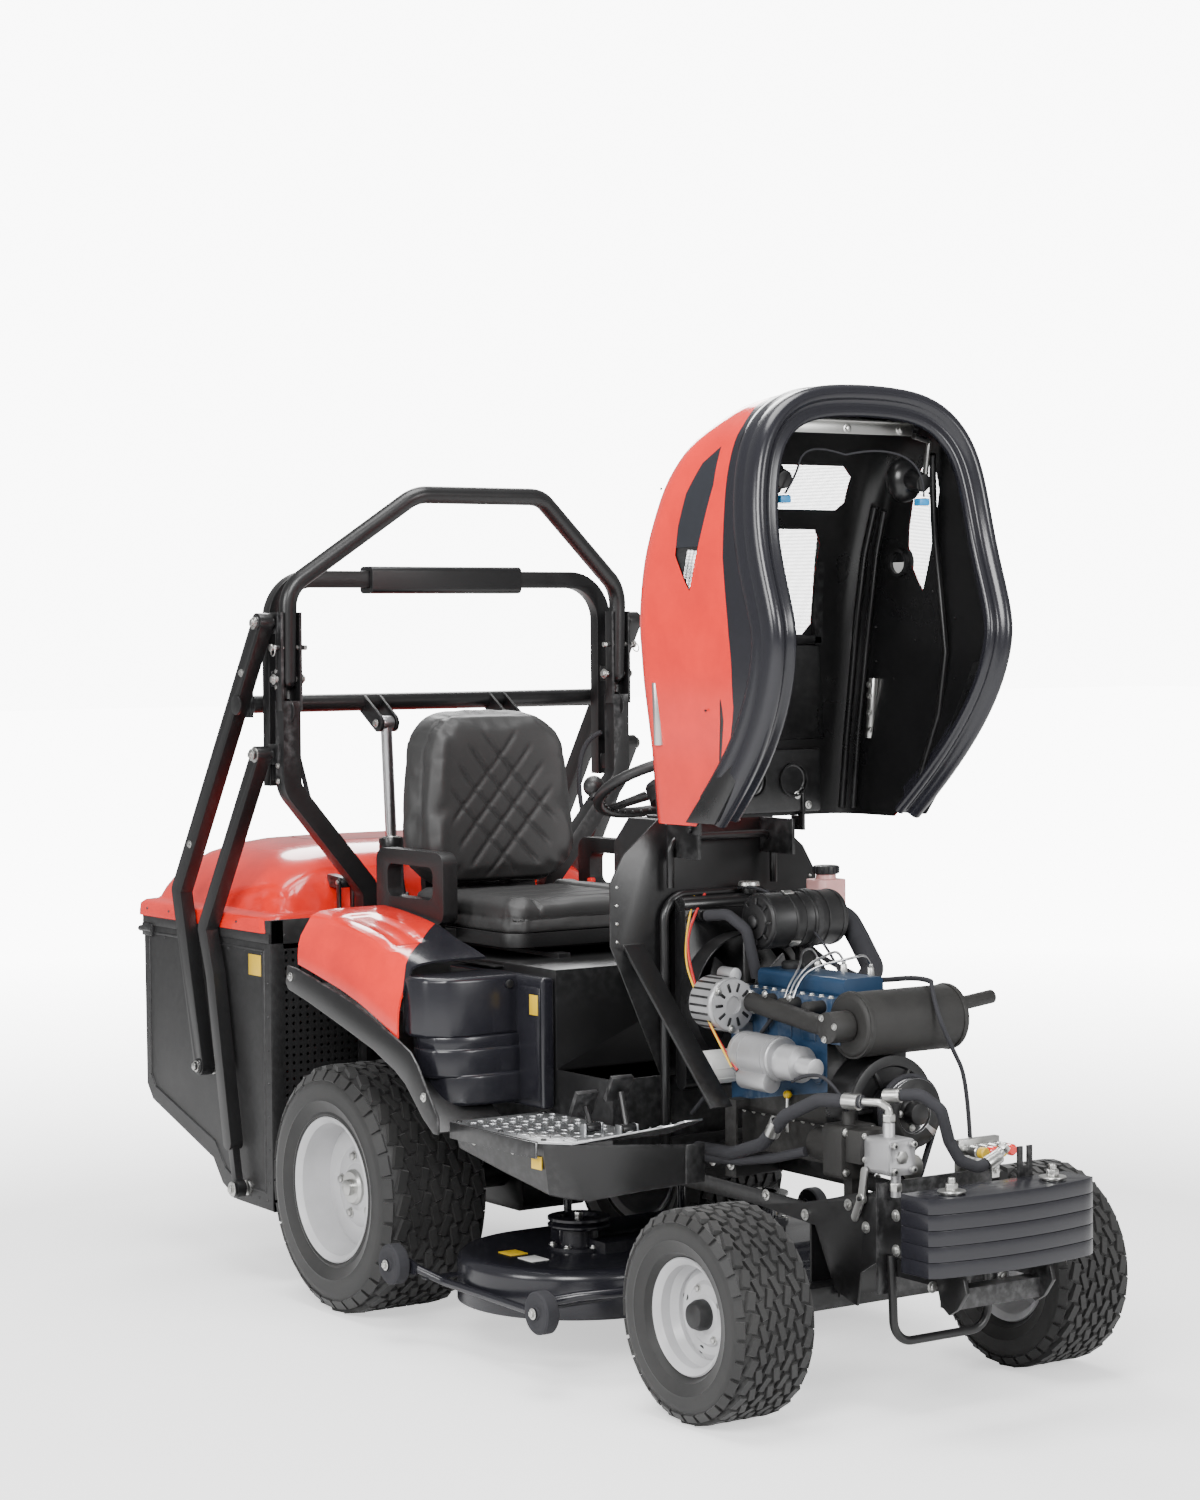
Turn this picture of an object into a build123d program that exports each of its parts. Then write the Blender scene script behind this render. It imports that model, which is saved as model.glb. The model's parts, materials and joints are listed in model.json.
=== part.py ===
from build123d import *
import math
import os

# Ride-on lawn tractor with an opened bonnet, a mid-mounted mower deck and a
# rear grass collector on lift arms.  Millimetres; X forward, Y left, Z up.
# Stations are measured from the rear axle; everything is shifted by X_SHIFT on
# export, so that the origin is on the ground below the middle of the machine.

# ---- Running gear ----
WHEELBASE = 1401.0
FRONT_TRACK = 892.0
REAR_TRACK = 914.0
FRONT_TYRE_R = 228.0
FRONT_TYRE_W = 204.0
FRONT_RIM_R = 126.0
REAR_TYRE_R = 306.0
REAR_TYRE_W = 296.0
REAR_RIM_R = 180.0
RIM_T = 5.0
KINGPIN_Y = 318.0
STEER_ARM = 112.0
FRONT_HUB_R = 24.0
REAR_HUB_R = 40.0
RUNNING_FIT = 0.05

# ---- Frame ----
FRAME_Y = 160.0
PLATE_T = 6.0
FRAME_Z0 = 385.0
FRAME_Z1 = 465.0
FRAME_REAR_X = -320.0
FRONT_OVERHANG = 183.0

# ---- Body ----
FOOT_Z = 537.0
FOOT_Y = 568.0
TUNNEL_Y = 292.0
FENDER_Y = 600.0
SHEET_T = 4.0
SEAT_Z = 905.0
SEAT_HALF_W = 258.0
SEAT_TRAVEL = 120.0
BACKREST_TOP = 1472.0
BACKREST_HALF_W = 236.0

# ---- Roll-over frame ----
ROPS_X = -338.0
ROPS_Y = 510.0
ROPS_TUBE_R = 22.5
ROPS_PIVOT_Z = 1560.0
ROPS_TOP_Z = 2031.0
ROPS_LEAN = 112.0
POST_W = 44.0

# ---- Lift arms and collector ----
ARM_Y = 571.0
ARM_T = 36.0
ARM_W = 50.0
ARM_PIVOT = (-355.0, 1704.0)
ARM_BEND = (-826.0, 993.0)
ARM_EYE = (-707.0, 535.0)
LINK_PIVOT = (-372.0, 1368.0)
LINK_BENDS = [(-679.0, 902.0), (-636.0, 782.0)]
LINK_EYE = (-523.0, 233.0)
CROSS_X = -466.0
CROSS_Z = 1494.0
CROSS_R = 23.0
CYL_Y = 195.0
CYL_FOOT = (-322.0, 560.0)
CYL_EYE = (-381.0, 1440.0)
BOX_HALF_W = 540.0
BOX_FRONT_X = -389.0
BOX_REAR_X = -1115.0
BOX_TOP_Z = 940.0
LID_TOP_Z = 1120.0

# ---- Deck ----
SPINDLE_X = 610.0
SPINDLE_Y = 266.0
BLADE_R = 262.0
DECK_R = 288.0
DECK_Z0 = 110.0
DECK_Z1 = 222.0
ROLLER_Y = 628.0
ROLLER_R = 48.0
ROLLERS = [(366.0, 186.0), (1001.0, 181.0)]

# ---- Bonnet, stored open; section rows are height, back, half width, front rim ----
HINGE_X = 915.0
HINGE_Z = 1219.0
BONNET_T = 4.0
RIM_BAND = 96.0
BONNET_ROWS = [
    (1242.0, 925.0, 285.0, 1205.0),
    (1400.0, 925.0, 300.0, 1365.0),
    (1560.0, 925.0, 322.0, 1462.0),
    (1680.0, 925.0, 332.0, 1480.0),
    (1830.0, 948.0, 334.0, 1425.0),
    (1990.0, 1010.0, 322.0, 1402.0),
    (2095.0, 1090.0, 290.0, 1392.0),
    (2165.0, 1180.0, 225.0, 1382.0),
    (2200.0, 1255.0, 130.0, 1376.0),
]
TAIL_RING = (1085.0, 1829.0)
TAIL_RING_R = 30.0

# ---- Engine bay ----
SHIELD_X = 796.0
WHEEL_HUB = (600.0, 1305.0)
STEER_WHEEL_R = 178.0
STEER_TILT = 26.0
PULLEY_Z = 626.0
PULLEY_R = 76.0

X_REAR = BOX_REAR_X - 45.0
X_FRONT = WHEELBASE + 469.0
X_SHIFT = -(X_REAR + X_FRONT) / 2


# ---- Small builders ----
def fx(offset):
    """Station given from the front axle."""
    return WHEELBASE + offset


def box(x0, x1, y0, y1, z0, z1):
    return Pos((x0 + x1) / 2, (y0 + y1) / 2, (z0 + z1) / 2) * Box(x1 - x0, y1 - y0, z1 - z0)


def rod(p, q, r):
    p, q = Vector(*p), Vector(*q)
    middle = (p + q) / 2
    return Plane(origin=middle, z_dir=q - p) * Cylinder(r, (q - p).length)


def rod_x(x0, x1, y, z, r):
    return rod((x0, y, z), (x1, y, z), r)


def rod_y(x, y0, y1, z, r):
    return rod((x, y0, z), (x, y1, z), r)


def rod_z(x, y, z0, z1, r):
    return rod((x, y, z0), (x, y, z1), r)


def outline(points):
    return make_face(Polyline(*points, close=True))


def plate_xz(points, y0, y1):
    plane = Plane(origin=(0, y1, 0), x_dir=(1, 0, 0), z_dir=(0, -1, 0))
    return extrude(plane * outline(points), y1 - y0)


def plate_yz(points, x0, x1):
    plane = Plane(origin=(x0, 0, 0), x_dir=(0, 1, 0), z_dir=(1, 0, 0))
    return extrude(plane * outline(points), x1 - x0)


def plate_xy(points, z0, z1):
    return extrude(Pos(0, 0, z0) * outline(points), z1 - z0)


def bent_tube(points, r, bend):
    path = FilletPolyline(*points, radius=bend)
    return sweep(Plane(origin=path @ 0, z_dir=path % 0) * Circle(r), path=path)


def bent_bar(points, width, y0, y1):
    """Flat bar in the XZ plane with round corners and ends."""
    bar = None
    for (xa, za), (xb, zb) in zip(points, points[1:]):
        length = math.hypot(xb - xa, zb - za)
        turn = -math.degrees(math.atan2(zb - za, xb - xa))
        middle = Pos((xa + xb) / 2, (y0 + y1) / 2, (za + zb) / 2)
        part = middle * Rot(0, turn, 0) * Box(length, y1 - y0, width)
        bar = part if bar is None else bar + part
    for x, z in points:
        bar += rod_y(x, y0, y1, z, width / 2)
    return bar


def turned(profile):
    """Solid of revolution about Z from (radius, height) points."""
    return revolve(Plane.XZ * outline(profile), axis=Axis.Z)


def mirrored(shape):
    return mirror(shape, Plane.XZ)


def pair(shape):
    return [shape, mirrored(shape)]


def save(name, pieces):
    pieces = pieces if isinstance(pieces, list) else [pieces]
    solids = [s for piece in pieces for s in piece.solids()]
    moved = [Pos(X_SHIFT, 0, 0) * s for s in solids]
    shape = moved[0] if len(moved) == 1 else Compound(children=moved)
    export_step(shape, os.path.join("parts", name + ".step"))


# ---- Wheels ----
def tyre(radius, width, flange_r, rim_half):
    w, seat, bead = width / 2, flange_r - 14, rim_half - RIM_T - 6
    half = [(seat, bead), (flange_r + 1, rim_half - RIM_T - 0.5), (radius * 0.80, w),
            (radius * 0.90, w * 0.96), (radius, w * 0.76)]
    return turned([(r, -z) for r, z in half] + half[::-1])


def rim(flange_r, half, disc_z, hub_r, hub_len, bore_r, bolts, bolt_circle):
    """Dished rim; the outside of the wheel is towards +Z."""
    seat = flange_r - 14
    well = seat - 16
    barrel = turned([
        (flange_r, half), (flange_r, half - RIM_T), (seat, half - RIM_T - 6), (seat, half * 0.55),
        (well, half * 0.40), (well, -half * 0.40), (seat, -half * 0.55), (seat, -half + RIM_T + 6),
        (flange_r, -half + RIM_T), (flange_r, -half), (seat - RIM_T, -half + 3),
        (seat - RIM_T, -half * 0.52), (well - RIM_T, -half * 0.36), (well - RIM_T, half * 0.36),
        (seat - RIM_T, half * 0.52), (seat - RIM_T, half - 3),
    ])
    disc = Pos(0, 0, disc_z) * Cylinder(well - 1, 6)
    hub = Pos(0, 0, disc_z + hub_len / 2 - 50) * Cylinder(hub_r, hub_len)
    wheel = barrel + disc + hub
    bore_len = hub_len - 18
    wheel -= Pos(0, 0, disc_z - 50 + bore_len / 2 - 1) * Cylinder(bore_r, bore_len + 2)
    for i in range(bolts):
        turn = 2 * math.pi * i / bolts
        at = Pos(bolt_circle * math.cos(turn), bolt_circle * math.sin(turn), disc_z + 9)
        wheel += at * Cylinder(9, 14)
    return wheel


def wheel_at(shape, x, y, z):
    return Pos(x, y, z) * Rot(-90, 0, 0) * shape


def make_wheels():
    front_y, rear_y = FRONT_TRACK / 2, REAR_TRACK / 2
    front_half, rear_half = FRONT_TYRE_W / 2 - 20, REAR_TYRE_W / 2 - 11
    front_tyre = tyre(FRONT_TYRE_R, FRONT_TYRE_W, FRONT_RIM_R, front_half)
    front_tyre = wheel_at(front_tyre, WHEELBASE, front_y, FRONT_TYRE_R)
    rear_tyre = wheel_at(tyre(REAR_TYRE_R, REAR_TYRE_W, REAR_RIM_R, rear_half), 0, rear_y, REAR_TYRE_R)
    bore = 12.5 + RUNNING_FIT
    front_rim = rim(FRONT_RIM_R, front_half, -6, 32, 118, bore, 4, 55)
    front_rim = wheel_at(front_rim, WHEELBASE, front_y, FRONT_TYRE_R)
    rear_rim = rim(REAR_RIM_R, rear_half, 22, REAR_HUB_R, 76, 20 + RUNNING_FIT, 5, 76)
    rear_rim = wheel_at(rear_rim, 0, rear_y, REAR_TYRE_R)
    for name, shape in (("front_tyre", front_tyre), ("front_rim", front_rim),
                        ("rear_tyre", rear_tyre), ("rear_rim", rear_rim)):
        save(name + "_left", shape)
        save(name + "_right", mirrored(shape))


def make_front_axle():
    z, y = FRONT_TYRE_R, KINGPIN_Y
    beam = box(fx(-30), fx(30), -(y - 34), y - 34, z - 24, z + 26)
    for side in (-1, 1):
        beam += box(fx(-26), fx(26), side * y - 36, side * y + 20, z + 34, z + 50)
        beam += box(fx(-26), fx(26), side * y - 36, side * y + 20, z - 50, z - 34)
        beam += box(fx(-17), fx(17), side * (y - 34) - 10, side * (y - 34) + 10, z - 50, z + 50)
        beam += rod_z(WHEELBASE, side * y, z - 50, z + 50, 11)
    beam += rod_x(fx(-42), fx(42), 0, z + 44, 34)
    beam -= rod_x(fx(-50), fx(50), 0, z + 44, 15 + RUNNING_FIT)
    save("front_axle_beam", beam)

    knuckle = rod_z(WHEELBASE, y, z - 33, z + 33, 19)
    knuckle -= rod_z(WHEELBASE, y, z - 40, z + 40, 11 + RUNNING_FIT)
    knuckle += rod_y(WHEELBASE, y + 18, FRONT_TRACK / 2 + 30, z, 12.5)
    knuckle += box(fx(-STEER_ARM - 16), fx(-14), y - 9, y + 9, z + 4, z + 16)
    save("knuckle_left", knuckle)
    save("knuckle_right", mirrored(knuckle))
    tie = rod_y(fx(-STEER_ARM), -y - 4, y + 4, z - 12, 8)
    save("tie_rod", tie)


def make_rear_axle():
    z, hub = REAR_TYRE_R, REAR_TRACK / 2
    axle = box(-105, 105, -95, 95, z - 95, z + 75)
    axle = fillet(axle.edges().filter_by(Axis.Y), 22)
    axle += rod_y(0, -(hub - 70), hub - 70, z, 42)
    for side in (-1, 1):
        axle += rod_y(0, side * (hub - 78), side * (hub - 60), z, 62)
        axle += rod_y(0, side * (hub - 70), side * (hub + 22), z, 20)
    axle += box(-70, 70, -FRAME_Y + 8, FRAME_Y - 8, z + 60, FRAME_Z0 + 40)
    save("rear_axle", axle)


# ---- Frame ----
def make_frame():
    y0, y1 = FRAME_Y - PLATE_T, FRAME_Y
    front = fx(FRONT_OVERHANG)
    side = [
        (FRAME_REAR_X, FRAME_Z0 + 15), (fx(-234), FRAME_Z0 + 8), (fx(-26), 378), (fx(43), 247),
        (fx(118), 226), (fx(130), 300), (front, 330), (front, 470), (fx(120), 470),
        (fx(40), 448), (fx(-60), 424), (FRAME_REAR_X, FRAME_Z1),
    ]
    plates = pair(plate_xz(side, y0, y1))
    frame = plates[0] + plates[1]
    frame += box(FRAME_REAR_X, FRAME_REAR_X + 44, -y0, y0, FRAME_Z0 + 20, FRAME_Z1)
    frame += box(FRAME_REAR_X, FRAME_REAR_X + 44, -304, 304, FRAME_Z0 + 26, FRAME_Z1 - 4)
    for x in (160, fx(-600)):
        frame += box(x, x + 40, -y0, y0, FRAME_Z0 + 5, FRAME_Z1 - 20)
    frame += box(fx(-52), fx(-46), -y0, y0, 232, 418)
    frame += box(fx(46), fx(52), -y0, y0, 232, 445)
    frame += rod_x(fx(-50), fx(50), 0, FRONT_TYRE_R + 44, 15)
    frame += box(front - 6, front, -y0, y0, 330, 470)
    frame += box(fx(60), front, -y0, y0, 448, 454)
    deck_z = FRAME_Z1 + 2
    frame += box(330, fx(-475), -300, 300, deck_z, deck_z + 6)
    for x in (330, 620, fx(-481)):
        frame += box(x, x + 6, -300, 300, FRAME_Z1 - 32, deck_z + 6)
    frame += make_cylinder_feet() + make_latch_pivot()
    hitch = box(FRAME_REAR_X + 60, FRAME_REAR_X + 190, -45, 45, FRAME_Z0 - 60, FRAME_Z0 - 50)
    hitch += box(FRAME_REAR_X + 120, FRAME_REAR_X + 190, -y0, y0, FRAME_Z0 - 60, FRAME_Z0 + 30)
    hitch -= rod_z(FRAME_REAR_X + 85, 0, FRAME_Z0 - 80, FRAME_Z0, 10)
    frame += hitch
    save("main_frame", frame)


def make_front_carrier():
    front = fx(FRONT_OVERHANG)
    carrier = box(front, front + 8, -FRAME_Y, FRAME_Y, 262, 500)
    for side in (-1, 1):
        carrier += box(front, fx(420), side * 120 - 5, side * 120 + 5, 300, 338)
        hook = [(fx(330), 338), (fx(420), 338), (fx(432), 300), (fx(404), 262), (fx(378), 246),
                (fx(352), 262)]
        carrier += plate_xz(hook, side * 120 - 5, side * 120 + 5)
    carrier += box(fx(350), fx(392), -125, 125, 258, 300)
    fork = box(fx(326), fx(332), 110, 150, 424, 528)
    for y in (110, 137):
        fork += box(fx(326), fx(332), y, y + 13, 520, 570)
    fork += box(front + 4, fx(332), 112, 148, 424, 430)
    guard = bent_tube([(fx(200), -132, 345), (fx(208), -132, 158), (fx(208), 132, 158),
                       (fx(200), 132, 345)], 9.5, 48)
    save("front_carrier", carrier + fork + guard)

    plates = []
    count, gap, thick = 5, 1.0, 33.0
    top, sagitta = 508.0, 22.0
    x1 = fx(469)
    half = 206.0
    arc = ThreePointArc((x1 - sagitta, half), (x1, 0), (x1 - sagitta, -half))
    back = Polyline((x1 - sagitta, -half), (x1 - 34, -half - 22), (x1 - 122, -half - 22),
                    (x1 - 122, half + 22), (x1 - 34, half + 22), (x1 - sagitta, half))
    face = make_face(Wire([*arc.edges(), *back.edges()]))
    for i in range(count):
        z1 = top - i * thick
        slab = extrude(Pos(0, 0, z1 - thick + gap) * face, thick - gap)
        plates.append(slab)
    bolts = []
    for y in (-146, 134):
        for i, slab in enumerate(plates):
            plates[i] = slab - rod_z(fx(412), y, 300, 520, 9)
        bolts.append(rod_z(fx(412), y, 341, 526, 8.6) + rod_z(fx(412), y, top + 0.2, top + 4, 22))
    save("front_weights", plates + bolts)


# ---- Engine ----
def make_engine():
    block = box(fx(-390), fx(-40), -112, 112, 585, 828)
    block = fillet(block.edges().filter_by(Axis.X), 14)
    block += box(fx(-372), fx(-52), -96, 96, 500, 590)
    head = box(fx(-375), fx(-48), -92, 92, 826, 866)
    cover = fillet(box(fx(-368), fx(-56), -52, 60, 862, 905).edges().filter_by(Axis.X), 12)
    block += head + cover
    for i in range(3):
        block += rod_z(fx(-310 + i * 96), 75, 860, 884, 13)
    block += rod_x(fx(-440), fx(-388), 0, 790, 34)
    housing = rod_x(fx(-40), fx(36), 0, PULLEY_Z, 118)
    housing += rod_x(fx(36), fx(66), 0, PULLEY_Z, 52)
    housing += rod_x(fx(66), fx(130), 0, PULLEY_Z, 14)
    oil_filter = rod_y(fx(-386), -196, -113, 686, 38)
    feet = [box(fx(-360), fx(-320), side * 112 if side > 0 else -153, 153 if side > 0 else side * 112,
                600, 616) for side in (-1, 1)]
    legs = []
    for side in (-1, 1):
        y0, y1 = (147, 153.5) if side > 0 else (-153.5, -147)
        legs.append(box(fx(-360), fx(-320), y0, y1, 440, 616))
    save("engine_block", [block + housing + feet[0] + feet[1] + legs[0] + legs[1], oil_filter])

    manifold = bent_tube([(fx(-278), -139, 842), (fx(-150), -142, 828), (fx(34), -150, 810)], 22, 60)
    manifold += rod_y(fx(34), -172, -116, 816, 34)
    for i in range(3):
        manifold += rod_y(fx(-258 + i * 88), -140, -92, 845, 15)
    muffler = rod_y(fx(34), -112, 178, 817, 71)
    muffler = fillet(muffler.edges().filter_by(GeomType.CIRCLE), 12)
    muffler += bent_tube([(fx(32), 160, 840), (fx(32), 230, 843), (fx(27), 304, 850)], 15.5, 60)
    save("exhaust", manifold + muffler)

    filt = rod_y(fx(-391), -36, 186, 1008, 64)
    filt = fillet(filt.edges().filter_by(GeomType.CIRCLE), 10)
    filt += rod_y(fx(-391), 30, 40, 1008, 67) + rod_y(fx(-391), 84, 112, 1008, 68)
    filt += rod_y(fx(-391), -44, -30, 1008, 40)
    filt += box(fx(-400), fx(-380), 80, 116, 890, 950)
    save("air_filter", filt)

    alternator = rod_x(fx(-372), fx(-284), -188, 838, 61)
    alternator = fillet(alternator.edges().filter_by(GeomType.CIRCLE), 10)
    alternator += rod_x(fx(-394), fx(-372), -188, 838, 34)
    alternator += rod_x(fx(-350), fx(-300), -166, 902, 16)
    alternator += box(fx(-350), fx(-310), -150, -112, 766, 790)
    save("alternator", alternator)

    starter = rod_x(fx(-262), fx(-118), -176, 733, 48)
    starter = fillet(starter.edges().filter_by(GeomType.CIRCLE), 6)
    starter += rod_x(fx(-118), fx(-60), -166, 726, 40) + rod_x(fx(-230), fx(-130), -196, 682, 24)
    starter += rod_x(fx(-60), fx(-12), -166, 722, 22)
    save("starter_motor", starter)

    pulley_x = fx(104)
    profile = [(15 + RUNNING_FIT, -18), (PULLEY_R, -18), (PULLEY_R, -12), (PULLEY_R - 14, -7),
               (PULLEY_R - 14, -5), (PULLEY_R, 0), (PULLEY_R - 14, 5), (PULLEY_R - 14, 7),
               (PULLEY_R, 12), (PULLEY_R, 18), (44, 18), (44, 8), (15 + RUNNING_FIT, 8)]
    pulley = Pos(pulley_x, 0, PULLEY_Z) * Rot(0, 90, 0) * turned(profile)
    cap = rod_x(pulley_x + 8, pulley_x + 36, 0, PULLEY_Z, 24)
    cap -= rod_x(pulley_x, pulley_x + 27, 0, PULLEY_Z, 14 + 2 * RUNNING_FIT)
    save("crank_pulley", pulley + cap)

    hub_x = fx(-470)
    fan = rod_x(hub_x - 12, hub_x + 12, 0, 820, 38) - rod_x(hub_x - 20, hub_x + 20, 0, 820, 10 + RUNNING_FIT)
    for i in range(7):
        blade = Pos(hub_x, 0, 820) * Rot(i * 360 / 7, 0, 0) * Pos(0, 0, 84) * Rot(0, 0, 28) * Box(5, 56, 100)
        fan += blade
    save("cooling_fan", fan)

    core_x = fx(-569)
    radiator = box(core_x, core_x + 42, -140, 140, 640, 1030)
    radiator += rod_y(core_x + 21, -140, 140, 1040, 20) + rod_y(core_x + 21, -140, 140, 632, 20)
    shroud = turned([(150, 0), (154, 0), (154, 56), (150, 56)])
    radiator += Pos(core_x + 40, 0, 820) * Rot(0, 90, 0) * shroud
    radiator += rod_x(core_x + 40, hub_x + 30, 0, 820, 10)
    radiator += rod_x(core_x + 20, core_x + 60, -100, 1018, 13)
    save("radiator", radiator)

    tank_x, tank_y = fx(-471), 229
    tank = fillet(box(tank_x - 34, tank_x + 34, tank_y - 40, tank_y + 40, 1020, 1088)
                  .edges().filter_by(Axis.Z), 16)
    tank += rod_z(tank_x, tank_y, 1086, 1100, 24)
    cap = rod_z(tank_x, tank_y, 1100, 1120, 30)
    bracket = box(tank_x - 30, tank_x + 30, tank_y - 36, tank_y + 36, 1014, 1020)
    bracket += box(SHIELD_X + 6, tank_x, tank_y - 10, tank_y + 10, 1014, 1020)
    save("expansion_tank", [tank, cap, bracket])

    pump = fillet(box(fx(38), fx(102), -188, -90, 497, 612).edges().filter_by(Axis.X), 12)
    pump += box(fx(102), fx(150), -176, -94, 536, 606)
    pump += rod_x(fx(-36), fx(38), -140, 556, 36) + rod_z(fx(80), -150, 612, 640, 14)
    pump += box(fx(62), fx(90), -150, -104, 454, 500)
    save("hydro_pump", pump)
    gear = fillet(box(fx(150), fx(228), -164, -88, 518, 596).edges().filter_by(Axis.X), 14)
    gear += rod_z(fx(186), -126, 596, 626, 13) + rod_z(fx(208), -126, 470, 520, 11)
    for y in (-152, -100):
        for z in (530, 584):
            gear += rod_x(fx(228), fx(234), y, z, 6)
    save("gear_pump", gear)


def make_hoses():
    upper = bent_tube([(fx(-470), -150, 489), (fx(-275), -196, 506), (fx(-140), -216, 546),
                       (fx(-50), -222, 620), (fx(40), -200, 664), (fx(140), -160, 668)], 15, 60)
    elbow = bent_tube([(fx(140), -160, 668), (fx(172), -140, 668), (fx(186), -126, 655),
                       (fx(186), -126, 626)], 9, 12)
    loop = bent_tube([(fx(150), -96, 676), (fx(215), -62, 684), (fx(240), -26, 650),
                      (fx(232), 2, 580), (fx(244), 24, 536), (fx(258), 62, 520),
                      (fx(262), 104, 534)], 13, 26)
    loop_end = rod((fx(262), 104, 534), (fx(264), 134, 562), 11)
    lower = bent_tube([(fx(-430), -166, 474), (fx(-255), -192, 492), (fx(-112), -200, 518),
                       (fx(-36), -176, 540)], 11, 60)
    intake = bent_tube([(fx(-391), 187, 1008), (fx(-391), 224, 1008), (fx(-352), 234, 950),
                        (fx(-300), 232, 890), (fx(-280), 190, 862), (fx(-280), 112, 850)], 26, 30)
    coolant = bent_tube([(fx(-499), -100, 1018), (fx(-440), -84, 1024), (fx(-396), -62, 990),
                         (fx(-388), -40, 880)], 13, 28)
    couplers = [rod_x(fx(150), fx(206), 116 + 26 * i, 540, 11) for i in range(4)]
    block = box(fx(140), fx(156), 96, 212, 470, 562)
    for c in couplers:
        block += c
    save("engine_hoses", [upper + elbow, loop + loop_end, lower, intake, coolant, block])

    low_z, low_r, gap, thick = 506, 30, 0.5, 8
    belt = belt_loop(PULLEY_R + gap + thick, low_r + gap + thick, low_z)
    belt -= belt_loop(PULLEY_R + gap, low_r + gap, low_z)
    idler = rod_x(fx(94), fx(114), 0, low_z, low_r) + rod_x(fx(70), fx(94), 0, low_z, 14)
    idler += box(fx(70), fx(80), -14, 14, 454, low_z)
    save("drive_belt", [belt, idler])


def belt_loop(top_r, low_r, low_z):
    """Slab in the belt plane around the crank pulley and the idler below it."""
    drop = PULLEY_Z - low_z
    lean = math.asin((top_r - low_r) / drop)
    cy, sz = math.cos(lean), -math.sin(lean)
    wedge = [(top_r * cy, PULLEY_Z + top_r * sz), (low_r * cy, low_z + low_r * sz),
             (-low_r * cy, low_z + low_r * sz), (-top_r * cy, PULLEY_Z + top_r * sz)]
    slab = plate_yz(wedge, fx(98), fx(110))
    return slab + rod_x(fx(98), fx(110), 0, PULLEY_Z, top_r) + rod_x(fx(98), fx(110), 0, low_z, low_r)


# ---- Bodywork ----
def make_bulkhead():
    x = SHIELD_X + 22
    tube = bent_tube([(x, -160, 480), (x, -160, 1062), (x, 160, 1062), (x, 160, 480)], 11, 62)
    tube += box(x - 3, x + 3, -168, 168, FRAME_Z1 + 8, 500)
    bar = bent_tube([(x + 12, -150, 1080), (x + 12, -150, 1196), (x + 12, 150, 1196),
                     (x + 12, 150, 1080)], 9, 34)
    ears = []
    for side in (-1, 1):
        ears.append(box(SHIELD_X + 6, HINGE_X + 12, side * 136 - 4, side * 136 + 4, 1150, HINGE_Z + 14))
        ears.append(rod_y(HINGE_X, side * 132, side * 162, HINGE_Z, 8))
    save("bulkhead_frame", [tube, bar] + [ears[0] + ears[1], ears[2] + ears[3]])

    half_shield = [(-1, 640), (160, 640), (300, 950), (300, 1095), (262, 1160), (162, 1240), (-1, 1240)]
    shield = plate_yz(half_shield, SHIELD_X, SHIELD_X + 6)
    shield += mirrored(shield)
    top = box(600, SHIELD_X, -150, 150, 960, 1236)
    top = chamfer(top.edges().filter_by(Axis.Y).group_by(Axis.X)[0], 60)
    column = Pos(WHEEL_HUB[0], 0, WHEEL_HUB[1])
    tilt = Rot(0, -STEER_TILT, 0)
    top += column * tilt * Pos(0, 0, -122) * Cylinder(34, 150)
    wings = []
    for side in (-1, 1):
        y0, y1 = (206, 264) if side > 0 else (-264, -206)
        line = [(SHIELD_X, 946), (SHIELD_X + 6, 952), (fx(-260), 616), (fx(-268), 612)]
        wings.append(plate_xz(line, y0, y1))
    save("dash_cowl", [shield + top + wings[0] + wings[1]])


def make_floor():
    y_in, y_out = TUNNEL_Y + 8, FOOT_Y
    corner, nose = fx(-511), fx(-310)
    plan = [(524, y_in), (524, y_out), (corner, y_out - 6), (corner + 60, y_out - 58), (corner + 60, y_in)]
    flat = plate_xy(plan, FOOT_Z - 4, FOOT_Z)
    rise, length = 50.0, nose - corner - 60
    ramp_plan = [(-2, 248), (-2, y_out - 58), (length - 62, 345), (length - 38, 302),
                 (length, 298), (length, 248)]
    ramp = Rot(0, -math.degrees(math.atan2(rise, length)), 0) * plate_xy(ramp_plan, -4, 0)
    ramp = Pos(corner + 60, 0, FOOT_Z) * ramp
    lip = box(524, corner, y_out - 4, y_out, FOOT_Z - 38, FOOT_Z - 2)
    foot = flat + ramp + lip
    save("footplates", pair(foot) + make_pedal_pivots())


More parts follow.
